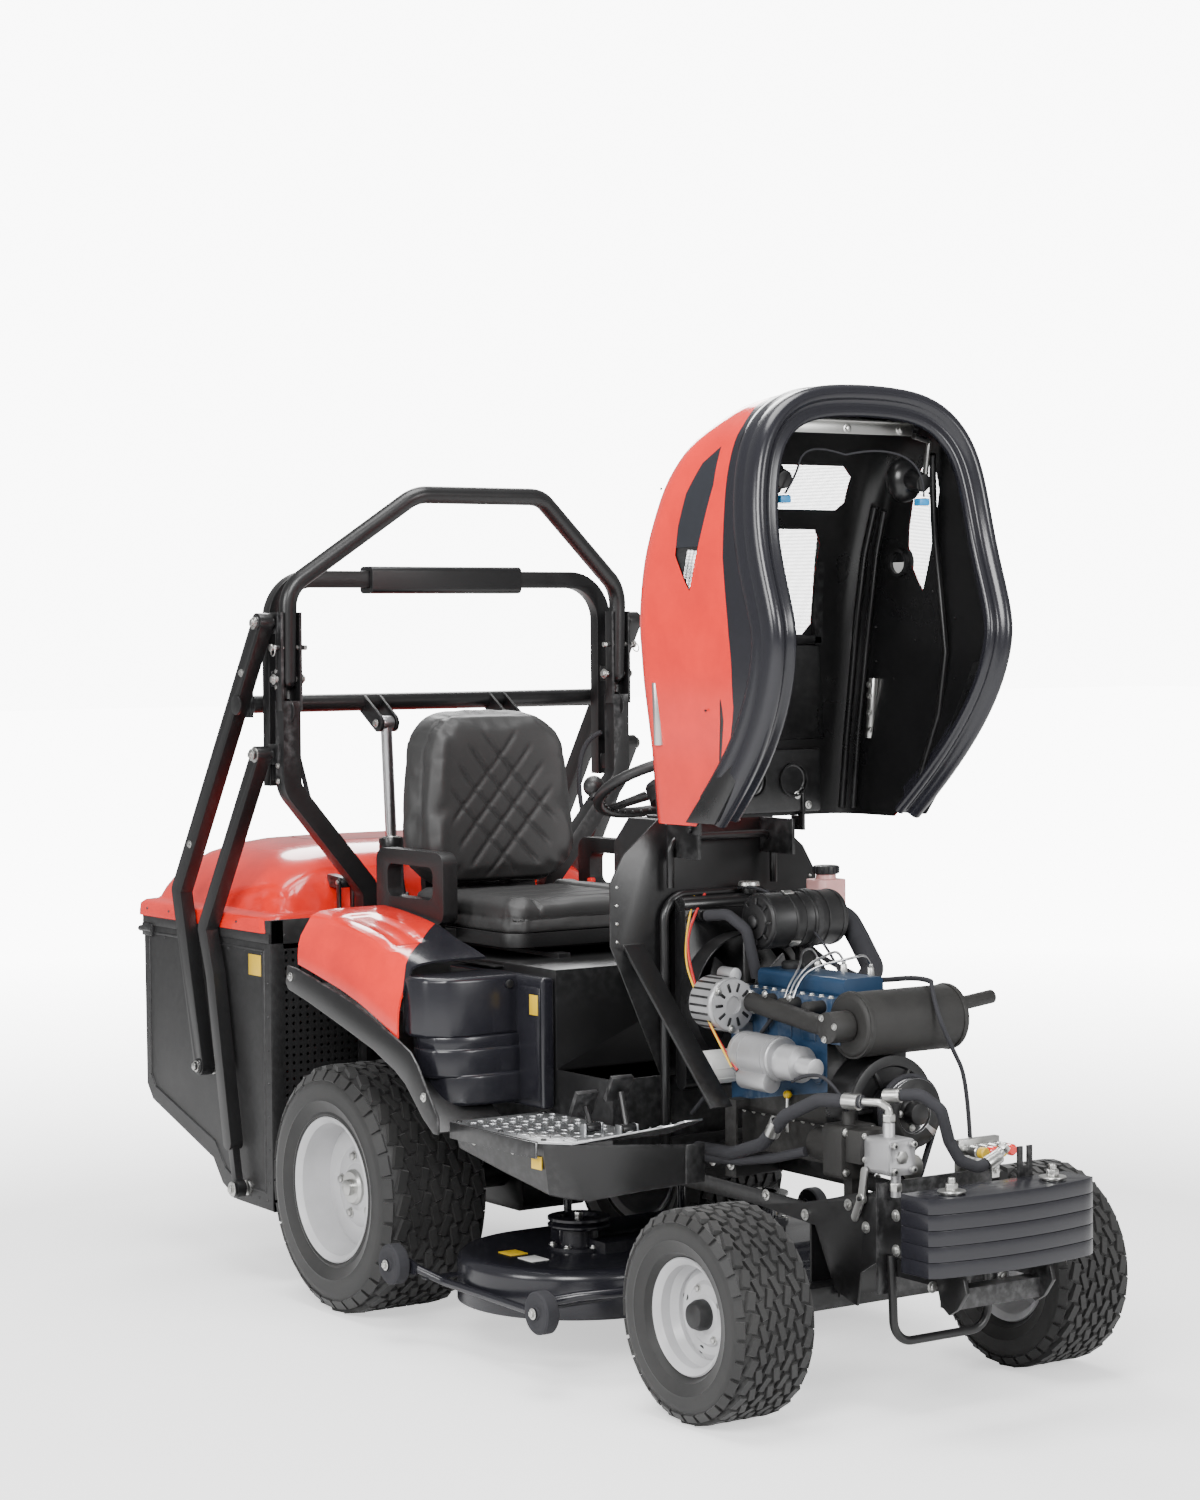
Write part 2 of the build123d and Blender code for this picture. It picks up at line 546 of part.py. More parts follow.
def make_fenders():
    y_out, y_in = FENDER_Y, 402
    band = [(-205, 756), (-190, 850), (150, 778), (345, 716), (425, 690), (520, 560), (520, 500),
            (372, 600), (227, 661)]
    guard = plate_xz(band, y_out - 6, y_out)
    arch = [(-203, 786), (-199, 790), (225, 694), (376, 634), (520, 520), (520, 514), (374, 628),
            (223, 688)]
    guard += plate_xz(arch, y_in, y_out - 3)
    corner, nose = fx(-511), fx(-313)
    plan_out = [(522, FOOT_Y - 8), (corner, FOOT_Y - 14), (corner + 62, FOOT_Y - 76), (nose, 300)]
    top_z, low = FOOT_Z - 6, [470, 412, 402, 442]
    wall = None
    for i in range(3):
        (xa, ya), (xb, yb) = plan_out[i], plan_out[i + 1]
        za, zb = low[i], low[i + 1]
        outer = Polyline((xa, ya, top_z), (xb, yb, top_z), (xb, yb - 20, zb), (xa, ya - 20, za), close=True)
        inner = Polyline((xa, ya - 6, top_z), (xb, yb - 6, top_z), (xb, yb - 26, zb), (xa, ya - 26, za),
                         close=True)
        panel = Solid.make_loft([outer.wires()[0], inner.wires()[0]], ruled=True)
        wall = panel if wall is None else wall + panel
    nose_plate = box(nose - 4, nose + 2, 246, 296, 442, top_z)
    skirt = wall + nose_plate
    save("mudguards", [guard, mirrored(guard), skirt, mirrored(skirt)])

    rows = [(-152, 841, 985), (60, 798, 962), (200, 752, 925), (329, 704, 893)]
    faces = []
    for x, z_low, z_high in rows:
        plane = Plane(origin=(x, 0, 0), x_dir=(0, 1, 0), z_dir=(1, 0, 0))
        section = Polyline((y_out - 8, z_low + 6), (y_out - 14, z_low + 70), (y_out - 60, z_high - 22),
                           (440, z_high), (342, z_high), (342, z_high - 6), (438, z_high - 6),
                           (y_out - 66, z_high - 30), (y_out - 20, z_low + 68), (y_out - 14, z_low + 6),
                           close=True)
        faces.append(plane * make_face(section))
    cover = loft(faces, ruled=True)
    save("fender_covers", pair(cover))

    side = [(140, 704), (140, 860), (560, 860), (560, 545), (345, 545), (300, 622), (225, 684)]
    panel = plate_xz(side, TUNNEL_Y + 2, 398)
    bulge = [(336, 390), (336, 560), (392, 560), (440, 512), (440, 390)]
    panel += plate_xy(bulge, 700, 850)
    save("side_covers", pair(panel))


def make_seat():
    t = SHEET_T
    low = FRAME_Z1 + 12
    tunnel = box(-238, SHIELD_X - 4, -TUNNEL_Y, TUNNEL_Y, low, 876)
    tunnel -= box(-238 + t, SHIELD_X - 4 - t, -TUNNEL_Y + t, TUNNEL_Y - t, low - 10, 876 - t)
    tunnel -= box(560, SHIELD_X, -TUNNEL_Y - 5, TUNNEL_Y + 5, 640, 900)
    tunnel += box(556, 560, -TUNNEL_Y, TUNNEL_Y, 636, 876)
    for side in (-1, 1):
        tunnel += box(-180, 340, side * 120 - 18, side * 120 + 18, 876, 888)
        y0, y1 = (TUNNEL_Y, 318) if side > 0 else (-318, -TUNNEL_Y)
        tunnel += box(-200, 330, y0, y1, 864, 868)
    save("seat_platform", tunnel)

    base = fillet(box(-225, 318, -SEAT_HALF_W, SEAT_HALF_W, SEAT_Z, SEAT_Z + 34).edges().filter_by(Axis.Z), 60)
    base += box(-170, 250, -150, 150, 892, SEAT_Z)
    lean = Pos(-172, 0, 1020) * Rot(0, -4, 0)
    base += lean * box(-82, -60, -170, 170, -100, 215)
    base += box(-250, -200, -170, 170, SEAT_Z + 4, SEAT_Z + 34)
    for side in (-1, 1):
        grip = box(-205, 120, 290, 332, 950, 1130)
        grip = fillet(grip.edges().filter_by(Axis.Y), 34)
        grip -= fillet(box(-150, 70, 280, 340, 1010, 1092).edges().filter_by(Axis.Y), 22)
        grip += box(-150, 60, 240, 296, SEAT_Z + 6, SEAT_Z + 30)
        grip += box(-150, 60, 290, 302, SEAT_Z + 6, 960)
        base += grip if side > 0 else mirrored(grip)
    save("seat_frame", base)
    cushion = fillet(box(-196, 322, -SEAT_HALF_W, SEAT_HALF_W, SEAT_Z + 35, 1016).edges().filter_by(Axis.Z), 60)
    save("seat_cushion", cushion)
    back = box(-60, 60, -BACKREST_HALF_W, BACKREST_HALF_W, 0, BACKREST_TOP - 1020)
    back = fillet(back.edges().filter_by(Axis.X), 110)
    back = lean * back
    save("seat_backrest", back)


# ---- Roll-over frame ----
def make_rops():
    w = POST_W / 2
    x, y = ROPS_X, ROPS_Y
    posts = []
    for side in (-1, 1):
        top, mid, low = 1500, 1281, 1011
        path = FilletPolyline((x, side * y, top), (x, side * y, mid), (x, side * (y - 228), low),
                              (x + 12, side * (y - 228), FRAME_Z1 - 4), radius=60)
        section = Plane(origin=path @ 0, z_dir=path % 0, x_dir=(1, 0, 0)) * Rectangle(POST_W, 50)
        post = sweep(section, path=path)
        channel = Plane(origin=(x, side * y, 1480)) * (Circle(30) - Circle(23.4))
        channel = extrude(channel, 250)
        channel -= box(x, x + 40, side * y - 40, side * y + 40, 1470, 1740)
        for dy in (-1, 1):
            y0 = side * y + dy * 26.7
            channel += box(x, x + 24, y0 - 3.3, y0 + 3.3, 1480, 1730)
        channel += box(x - w, x + w, side * y - 25, side * y + 25, 1476, 1504)
        channel += rod_y(x, side * y - 36, side * y + 36, ROPS_PIVOT_Z, 7)
        for dy in (-1, 1):
            channel += rod_y(x + 10, side * y + dy * 27, side * y + dy * 40, 1640, 7)
        pin_end = side * (ARM_Y + ARM_T / 2 + 8)
        (xa, za), (xl, zl) = ARM_PIVOT, LINK_PIVOT
        arm = rod_y(xa, side * (y + 27), pin_end, za, 12)
        arm += box(xa - 24, x + 6, side * (y + 29) - 3, side * (y + 29) + 3, za - 28, za + 26)
        link = rod_y(xl, side * (y + 12), pin_end, zl, 12)
        link += box(xl - 18, x, side * (y + 21) - 9, side * (y + 21) + 9, zl - 26, zl + 26)
        posts.append(post + channel + arm + link)
    save("rops_posts", posts)

    leg_x = -414.0
    path = FilletPolyline((leg_x, -y, 1285), (leg_x, -y, 1816), (leg_x, y, 1816), (leg_x, y, 1285),
                          radius=108)
    section = Plane(origin=path @ 0, z_dir=path % 0, x_dir=(1, 0, 0)) * Rectangle(36, 44)
    arch = sweep(section, path=path)
    for side in (-1, 1):
        for z in (1300, 1540):
            arch += box(leg_x + 10, ROPS_X - w - 8.5, side * y - 14, side * y + 14, z, z + 40)
    pad = fillet(box(leg_x - 32, leg_x + 34, -232, 232, 1779, 1850).edges().filter_by(Axis.Y), 14)
    pad -= box(leg_x - 18.2, leg_x + 18.2, -240, 240, 1793.8, 1838.2)
    save("rear_arch", [arch, pad])

    x1 = x + ROPS_LEAN
    zs = 1791.0
    points = [(x, -y, ROPS_PIVOT_Z), (x + 8, -y, zs), (x1, -191, ROPS_TOP_Z), (x1, 191, ROPS_TOP_Z),
              (x + 8, y, zs), (x, y, ROPS_PIVOT_Z)]
    hoop = bent_tube(points, ROPS_TUBE_R, 90)
    for side in (-1, 1):
        hoop += Pos(x, side * y, ROPS_PIVOT_Z) * Sphere(ROPS_TUBE_R)
        hoop -= rod_y(x, side * y - 40, side * y + 40, ROPS_PIVOT_Z, 7 + RUNNING_FIT)
    save("rops_hoop", hoop)


# ---- Lift arms, links and cylinders ----
def make_lift():
    y0, y1 = ARM_Y - ARM_T / 2, ARM_Y + ARM_T / 2
    arm = bent_bar([ARM_PIVOT, ARM_BEND, ARM_EYE], ARM_W, y0, y1)
    arm -= rod_y(ARM_PIVOT[0], y0 - 5, y1 + 5, ARM_PIVOT[1], 12 + RUNNING_FIT)
    arm -= rod_y(ARM_EYE[0], y0 - 5, y1 + 5, ARM_EYE[1], 11 + RUNNING_FIT)
    pin = rod_y(ARM_EYE[0], BOX_HALF_W - 14, y1 + 12, ARM_EYE[1], 11)
    joint_x = ARM_PIVOT[0] + (ARM_BEND[0] - ARM_PIVOT[0]) * (ARM_PIVOT[1] - CROSS_Z) / (
        ARM_PIVOT[1] - ARM_BEND[1])
    plate = box(joint_x - 20, CROSS_X + 10, y0 - 7, y0 - RUNNING_FIT, CROSS_Z - 34, CROSS_Z + 34)
    inner = y0 - 7 - RUNNING_FIT
    arms = pair(arm) + pair(pin) + pair(plate) + [rod_y(CROSS_X, -inner, inner, CROSS_Z, CROSS_R)]
    for side in (-1, 1):
        for dy in (-23, 23):
            yc = side * CYL_Y + dy
            lug = bent_bar([(CROSS_X, CROSS_Z), CYL_EYE], 46, yc - 4, yc + 4)
            arms.append(lug - rod_y(CROSS_X, yc - 10, yc + 10, CROSS_Z, CROSS_R + RUNNING_FIT))
    save("lift_arms", arms)

    points = [LINK_PIVOT] + LINK_BENDS + [LINK_EYE]
    link = bent_bar(points[:-1] + [(LINK_EYE[0] - 28, LINK_EYE[1] + 120)], ARM_W - 6, y0, y1)
    link += bent_bar([(LINK_EYE[0] - 28, LINK_EYE[1] + 120), LINK_EYE], 24, y0 + 8, y1 - 8)
    link += rod_y(LINK_EYE[0], y0 + 6, y1 - 6, LINK_EYE[1], 24)
    link -= rod_y(LINK_PIVOT[0], y0 - 5, y1 + 5, LINK_PIVOT[1], 12 + RUNNING_FIT)
    save("lower_links", pair(link))

    (xf, zf), (xe, ze) = CYL_FOOT, CYL_EYE
    length = math.hypot(xe - xf, ze - zf)
    ux, uz = (xe - xf) / length, (ze - zf) / length
    end, bore = 0.66 * length, 15 + RUNNING_FIT
    barrels, rods = [], []
    for side in (-1, 1):
        y = side * CYL_Y
        barrel = rod((xf, y, zf), (xf + ux * end, y, zf + uz * end), 29)
        barrel += rod_y(xf, y - 20, y + 20, zf, 30)
        barrel -= rod((xf + ux * 60, y, zf + uz * 60), (xf + ux * (end + 5), y, zf + uz * (end + 5)), bore)
        barrel -= rod_y(xf, y - 30, y + 30, zf, 10 + RUNNING_FIT)
        barrels.append(barrel)
        piston = rod((xf + ux * 340, y, zf + uz * 340), (xe, y, ze), 15)
        piston += rod_y(xe, y - 16, y + 16, ze, 19)
        rods.append(piston)
    save("lift_cylinders", barrels)
    save("lift_rods", rods)


def make_cylinder_feet():
    xf, zf = CYL_FOOT
    low, ear = FRAME_Z1 - 6, None
    for side in (-1, 1):
        foot = rod_y(xf, side * CYL_Y - 36, side * CYL_Y + 36, zf, 10)
        for dy in (-34, 34):
            yc = side * CYL_Y + dy
            web = [(xf + 2, low), (xf + 40, low), (xf + 13, zf + 14), (xf - 13, zf + 14)]
            foot += plate_xz(web, yc - 3, yc + 3)
        ear = foot if ear is None else ear + foot
    return ear


def make_collector():
    t, w = SHEET_T, BOX_HALF_W
    side = [(BOX_REAR_X, 884), (BOX_REAR_X + 6, 440), (BOX_REAR_X + 40, 400), (-720, 285), (-668, 225),
            (-590, 192), (BOX_FRONT_X, 188), (BOX_FRONT_X, BOX_TOP_Z)]
    inner = [(BOX_REAR_X + t, 900), (BOX_REAR_X + 6 + t, 442), (BOX_REAR_X + 42, 405), (-718, 290),
             (-665, 230), (-588, 197), (BOX_FRONT_X - t, 193), (BOX_FRONT_X - t, BOX_TOP_Z + 20)]
    shell = plate_xz(side, -w, w) - plate_xz(inner, -w + t, w - t)
    shell -= box(BOX_FRONT_X - 20, BOX_FRONT_X + 10, -170, 170, 215, 420)
    for s in (-1, 1):
        boss = rod_y(ARM_EYE[0], s * (w - 18), s * w, ARM_EYE[1], 34)
        shell += boss
        shell -= rod_y(ARM_EYE[0], s * (w - 30), s * (w + 10), ARM_EYE[1], 11 + RUNNING_FIT)
        shell += rod_x(BOX_REAR_X - 36, BOX_REAR_X + 60, s * (w + 2), 868, 8)
        shell += rod_y(LINK_EYE[0], s * (w - 2), s * (w + 8), LINK_EYE[1], 20)
        for y in (300, 340):
            shell += box(BOX_FRONT_X - 3, BOX_FRONT_X + 12, s * y - 4, s * y + 4, 900, LID_TOP_Z - 84)
        shell += rod_y(BOX_FRONT_X + 4, s * 296, s * 344, LID_TOP_Z - 92, 5)
    shell += rod_y(BOX_REAR_X - 36, -w - 2, w + 2, 868, 8)
    save("collector_box", shell)

    lip, crown = w + 9, w - 44
    rear = BOX_REAR_X - 45
    faces = []
    rows = [(904, rear, BOX_FRONT_X - 8, lip), (948, rear + 4, BOX_FRONT_X - 8, lip),
            (952, rear + 44, BOX_FRONT_X - 20, crown + 16), (1040, rear + 84, BOX_FRONT_X - 70, crown - 20),
            (LID_TOP_Z - 26, rear + 130, BOX_FRONT_X - 120, crown - 80),
            (LID_TOP_Z, rear + 210, BOX_FRONT_X - 190, crown - 190)]
    outer = None
    for (za, ra, fa, ha), (zb, rb, fb, hb) in zip(rows, rows[1:]):
        low = Pos((ra + fa) / 2, 0, za) * Rectangle(fa - ra, 2 * ha)
        high = Pos((rb + fb) / 2, 0, zb) * Rectangle(fb - rb, 2 * hb)
        part = loft([low, high], ruled=True)
        outer = part if outer is None else outer + part
    cavity = box(rear + t, BOX_FRONT_X - 8 - t, -lip + t, lip - t, 900, 946)
    inner_low = Pos((rear + 50 + BOX_FRONT_X - 26) / 2, 0, 940) * Rectangle(BOX_FRONT_X - 26 - rear - 50,
                                                                            2 * (crown + 8))
    inner_mid = Pos((rear + 90 + BOX_FRONT_X - 76) / 2, 0, 1036) * Rectangle(BOX_FRONT_X - 76 - rear - 90,
                                                                             2 * (crown - 28))
    inner_top = Pos((rear + 214 + BOX_FRONT_X - 194) / 2, 0, LID_TOP_Z - 8) * Rectangle(
        BOX_FRONT_X - 194 - rear - 214, 2 * (crown - 196))
    cavity += loft([inner_low, inner_mid], ruled=True) + loft([inner_mid, inner_top], ruled=True)
    lid = outer - cavity
    lid -= box(BOX_FRONT_X - 40, BOX_FRONT_X + 5, -lip - 5, lip + 5, 890, BOX_TOP_Z + 3)
    for s in (-1, 1):
        lid += box(BOX_FRONT_X - 72, BOX_FRONT_X + 12, s * 320 - 14, s * 320 + 14, 1018, LID_TOP_Z - 82)
        lid -= rod_y(BOX_FRONT_X + 4, s * 290, s * 350, LID_TOP_Z - 92, 5 + RUNNING_FIT)
    save("collector_lid", lid)


# ---- Mower deck ----
def make_deck():
    x, y, t = SPINDLE_X, SPINDLE_Y, SHEET_T
    plan = Pos(x, 0, 0) * Rot(0, 0, 90) * SlotCenterToCenter(2 * y, 2 * DECK_R)
    deck = extrude(Pos(0, 0, DECK_Z0) * plan, DECK_Z1 - DECK_Z0)
    deck = fillet(deck.edges().group_by(Axis.Z)[-1], 26)
    hollow = Pos(x, 0, 0) * Rot(0, 0, 90) * SlotCenterToCenter(2 * y, 2 * (DECK_R - t))
    hollow = extrude(Pos(0, 0, DECK_Z0 - 5) * hollow, DECK_Z1 - DECK_Z0 + 5 - t)
    hollow = fillet(hollow.edges().group_by(Axis.Z)[-1], 24)
    deck -= hollow
    deck += box(x - 120, x + 110, -y, y, DECK_Z1 - 2, DECK_Z1 + 26)
    for side in (-1, 1):
        deck += rod_z(x, side * y, DECK_Z1 - 1, DECK_Z1 + 50, 46) + rod_z(x, side * y, DECK_Z1 - 1, DECK_Z1 + 8, 74)
        deck += rod_z(x, side * y, DECK_Z1 - 50, DECK_Z1, 38)
        deck -= rod_z(x, side * y, DECK_Z0, DECK_Z1 + 30, 12.5 + RUNNING_FIT)
        (xr, zr), (xf, zf) = ROLLERS
        yb = ROLLER_Y - 24
        arm_pts = [(xr + 4, zr - 20), (xr + 4, zr + 20), (xr + 60, zr + 8), (xr + 60, zr - 20)]
        arm_ptf = [(xf - 4, zf - 20), (xf - 4, zf + 20), (xf - 60, zf + 8), (xf - 60, zf - 20)]
        bracket = plate_xz(arm_pts, yb - 3, yb + 3) + plate_xz(arm_ptf, yb - 3, yb + 3)
        bracket += rod_y(xr, yb - 4, ROLLER_Y + 24, zr, 7) + rod_y(xf, yb - 4, ROLLER_Y + 24, zf, 7)
        for xc, zc in ROLLERS:
            bracket += rod_y(xc, yb - 3, yb + 3, zc, 20)
        bar = bent_tube([(xr + 50, yb - 8, zr - 6), (xr + 120, yb - 40, zr - 30), (xf - 120, yb - 40, zf - 30),
                         (xf - 50, yb - 8, zf - 6)], 10, 40)
        bracket += bar
        bracket += box(xf - 74, xf - 52, 300, yb, zf - 10, zf - 4)
        bracket += box(xr + 62, xr + 84, 500, yb - 14, zr - 30, zr - 24)
        deck += bracket if side > 0 else mirrored(bracket)
    save("deck_shell", deck)
    for name, side in (("left", 1), ("right", -1)):
        blade = box(x - BLADE_R, x + BLADE_R, side * y - 28, side * y + 28, DECK_Z0 + 12, DECK_Z0 + 18) \
            if side > 0 else box(x - 28, x + 28, side * y - BLADE_R + 8, side * y + BLADE_R - 8,
                                 DECK_Z0 + 12, DECK_Z0 + 18)
        blade += rod_z(x, side * y, DECK_Z0 + 4, DECK_Z1 + 18, 12.5)
        blade += rod_z(x, side * y, DECK_Z0 + 4, DECK_Z0 + 34, 28)
        save("blade_" + name, blade)
    for name, (xc, zc) in zip(("rear", "front"), ROLLERS):
        wheel = rod_y(xc, ROLLER_Y - 17, ROLLER_Y + 17, zc, ROLLER_R)
        wheel = fillet(wheel.edges().filter_by(GeomType.CIRCLE), 12)
        wheel -= rod_y(xc, ROLLER_Y - 30, ROLLER_Y + 30, zc, 7 + RUNNING_FIT)
        save("deck_rollers_" + name, pair(wheel))


# ---- Controls ----
def make_controls():
    x, z = WHEEL_HUB
    place = Pos(x, 0, z) * Rot(0, -STEER_TILT, 0)
    wheel = Torus(STEER_WHEEL_R - 13, 13)
    wheel += Pos(0, 0, -16) * Cylinder(46, 44)
    for turn in (90, 210, 330):
        spoke = Rot(0, 0, turn) * Pos(100, 0, -5) * Rot(0, -6, 0) * Box(128, 30, 9)
        wheel += spoke
    pin = Rot(0, 0, 232) * Pos(STEER_WHEEL_R - 13, 0, 22) * Cylinder(5, 32)
    save("steering_wheel", place * (wheel + pin))
    knob = Cylinder(17, 10) + Pos(0, 0, 26) * Sphere(26)
    knob -= Pos(0, 0, -8) * Cylinder(5 + RUNNING_FIT, 60)
    knob = place * Rot(0, 0, 232) * Pos(STEER_WHEEL_R - 13, 0, 21) * knob
    save("steering_knob", knob)

    for name, xp, yp, zp in (("drive_pedal", fx(-571), -398, 602), ("brake_pedal", fx(-505), -346, 640)):
        base = FOOT_Z + 14
        pedal = rod((xp + 32, yp, base), (xp + 8, yp, zp - 8), 7)
        pedal += Pos(xp, yp, zp) * Rot(0, 28, 0) * Box(12, 58, 62)
        pedal += rod_y(xp + 32, yp - 16, yp + 16, base, 11)
        pedal -= rod_y(xp + 32, yp - 20, yp + 20, base, 5 + RUNNING_FIT)
        save(name, pedal)


def make_pedal_pivots():
    pivots = []
    for xp, yp in ((fx(-571), -398), (fx(-505), -346)):
        pivot = rod_y(xp + 32, yp - 26, yp + 26, FOOT_Z + 14, 5)
        for dy in (-23, 23):
            pivot += box(xp + 22, xp + 42, yp + dy - 3, yp + dy + 3, FOOT_Z, FOOT_Z + 24)
        pivots.append(pivot)
    return pivots


# ---- Bonnet ----
def u_section(row, grow):
    z, back, half, front = row
    r = min(110.0, half * 0.45)
    back, half = back - grow, half + grow
    front += 1 if grow < 0 else 0
    steps = [(front, -half), (back + r, -half), (back + 0.3 * r, -half + 0.3 * r), (back, -half + r),
             (back, half - r), (back + 0.3 * r, half - 0.3 * r), (back + r, half), (front, half)]
    return Pos(0, 0, z) * outline(steps)


def tower(rows, grow):
    solid = None
    for low, high in zip(rows, rows[1:]):
        part = loft([u_section(low, grow), u_section(high, grow)], ruled=True)
        solid = part if solid is None else solid + part
    return solid


def make_bonnet():
    outer = tower(BONNET_ROWS, 0)
    z0, x0, h0, f0 = BONNET_ROWS[0]
    zn, xn, hn, fn = BONNET_ROWS[-1]
    inner_rows = [(z0 - 1, x0, h0, f0)] + BONNET_ROWS[1:-1] + [(zn - 2 * BONNET_T, xn, hn, fn)]
    inner = tower(inner_rows, -BONNET_T)
    shell = outer - inner
    back_rows = [(z - 0.5 if i == 0 else z, 800, 500, f - RIM_BAND) for i, (z, b, h, f) in
                 enumerate(BONNET_ROWS)]
    back_rows[-1] = (zn + 1, 800, 500, fn - RIM_BAND)
    keep = None
    for (za, ba, ha, fa), (zb, bb, hb, fb) in zip(back_rows, back_rows[1:]):
        low = Pos((ba + fa) / 2, 0, za) * Rectangle(fa - ba, 2 * ha)
        high = Pos((bb + fb) / 2, 0, zb) * Rectangle(fb - bb, 2 * hb)
        part = loft([low, high], ruled=True)
        keep = part if keep is None else keep + part
    skin = shell & keep
    ring = rod_y(TAIL_RING[0], 200, 400, TAIL_RING[1], TAIL_RING_R)
    skin -= ring
    save("bonnet_shell", skin)

    band = tower(BONNET_ROWS, 5) - tower([(z0 - 1, x0, h0, f0)] + BONNET_ROWS[1:-1] +
                                         [(zn + 1, xn, hn, fn)], -14)
    band -= keep
    cap_z = zn - 26
    band += box(1290, fn, -120, 120, cap_z, cap_z + 20)
    lower = box(x0 + 6, x0 + 12, -120, 120, 1246, 1420)
    liner = [band.solids()[0] if len(band.solids()) == 1 else band]
    xi = x0 + BONNET_T
    strap = [(HINGE_X - 12, HINGE_Z - 12), (xi + 20, HINGE_Z - 12), (xi + 20, 1310), (xi, 1310),
             (xi, z0 - 2), (HINGE_X - 12, z0 - 2)]
    for side in (-1, 1):
        y0, y1 = (146, 154) if side > 0 else (-154, -146)
        hinge = plate_xz(strap, y0, y1) + box(xi, xi + 6, y0 - 18, y1 + 18, 1250, 1310)
        liner.append(hinge - rod_y(HINGE_X, y0 - 5, y1 + 5, HINGE_Z, 8 + RUNNING_FIT))
    save("bonnet_liner", liner + [lower])


def make_latch():
    y0 = -FRAME_Y - 12
    latch = bent_bar([(fx(157), 522), (fx(146), 462), (fx(124), 420)], 20, y0, y0 + 5)
    latch += rod_y(fx(146), y0 - 3, y0 + 9, 462, 11)
    latch -= rod_y(fx(146), y0 - 10, y0 + 12, 462, 5 + RUNNING_FIT)
    save("bonnet_latch", latch)


def make_latch_pivot():
    return rod_y(fx(146), -FRAME_Y - 18, -FRAME_Y + 2, 462, 5)


os.makedirs("parts", exist_ok=True)
make_wheels()
make_front_axle()
make_rear_axle()
make_frame()
make_front_carrier()
make_engine()
make_hoses()
make_bulkhead()
make_floor()
make_fenders()
make_seat()
make_rops()
make_lift()
make_collector()
make_deck()
make_controls()
make_bonnet()
make_latch()
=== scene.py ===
"""Ride-on lawn tractor with an opened bonnet, mid mower deck and high-lift grass collector.

Every class below builds one sub-assembly on the fixed CAD frame.  Sizes inside the
classes are millimetres from the machine datum: the rear axle line, the centre plane
and the ground.  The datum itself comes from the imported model.
"""

import enum
import json
import logging
import math
from dataclasses import dataclass, field
from typing import Callable, Iterable, Optional, Sequence

import bmesh
import bpy
from mathutils import Matrix, Vector

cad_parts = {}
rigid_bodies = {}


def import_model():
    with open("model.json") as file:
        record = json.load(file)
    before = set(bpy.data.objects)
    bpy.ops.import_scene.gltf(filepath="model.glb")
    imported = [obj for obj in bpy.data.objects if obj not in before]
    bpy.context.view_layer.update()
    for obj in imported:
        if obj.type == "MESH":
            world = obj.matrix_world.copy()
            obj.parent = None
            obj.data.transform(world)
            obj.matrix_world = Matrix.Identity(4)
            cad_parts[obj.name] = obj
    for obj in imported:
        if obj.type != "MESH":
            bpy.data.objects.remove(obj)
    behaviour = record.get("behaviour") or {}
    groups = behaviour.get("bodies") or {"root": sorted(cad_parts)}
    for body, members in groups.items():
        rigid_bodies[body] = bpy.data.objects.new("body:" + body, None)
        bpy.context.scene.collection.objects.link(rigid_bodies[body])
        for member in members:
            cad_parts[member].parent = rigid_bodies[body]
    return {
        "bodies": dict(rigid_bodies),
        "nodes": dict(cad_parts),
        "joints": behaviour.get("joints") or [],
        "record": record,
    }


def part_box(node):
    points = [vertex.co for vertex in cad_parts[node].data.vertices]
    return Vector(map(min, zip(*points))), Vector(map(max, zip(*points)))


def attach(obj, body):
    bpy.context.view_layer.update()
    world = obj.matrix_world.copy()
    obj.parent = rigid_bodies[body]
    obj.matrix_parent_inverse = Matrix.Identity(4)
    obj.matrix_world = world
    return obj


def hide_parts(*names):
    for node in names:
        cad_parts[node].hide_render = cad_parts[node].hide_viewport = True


LOG = logging.getLogger("tractor")
MM = 0.001
Point = tuple[float, float, float]
Flat = tuple[float, float]


# ------------------------------------------------------------------ finishes
class Surface(enum.Enum):
    """The families of finish that a material can be built as."""

    GLOSS = "gloss"
    SATIN = "satin"
    GRAINED = "grained"
    METAL = "metal"
    CAST = "cast"
    RUBBER = "rubber"
    VINYL = "vinyl"
    MILKY = "milky"
    SCREEN = "screen"


@dataclass(frozen=True)
class Finish:
    """One procedural finish: its record slot, family, colour and surface numbers."""

    name: str
    slot: str
    surface: Surface
    colour: Point
    rough: float = 0.4
    dirt: float = 0.10
    wear: float = 0.15
    grain: float = 400.0
    bump: float = 0.08

    def material(self) -> bpy.types.Material:
        """Builds the material once and returns it afterwards.

        Returns:
            The Blender material of this finish.
        """
        found = bpy.data.materials.get(self.name)
        return found if found else MaterialMaker(self).build()


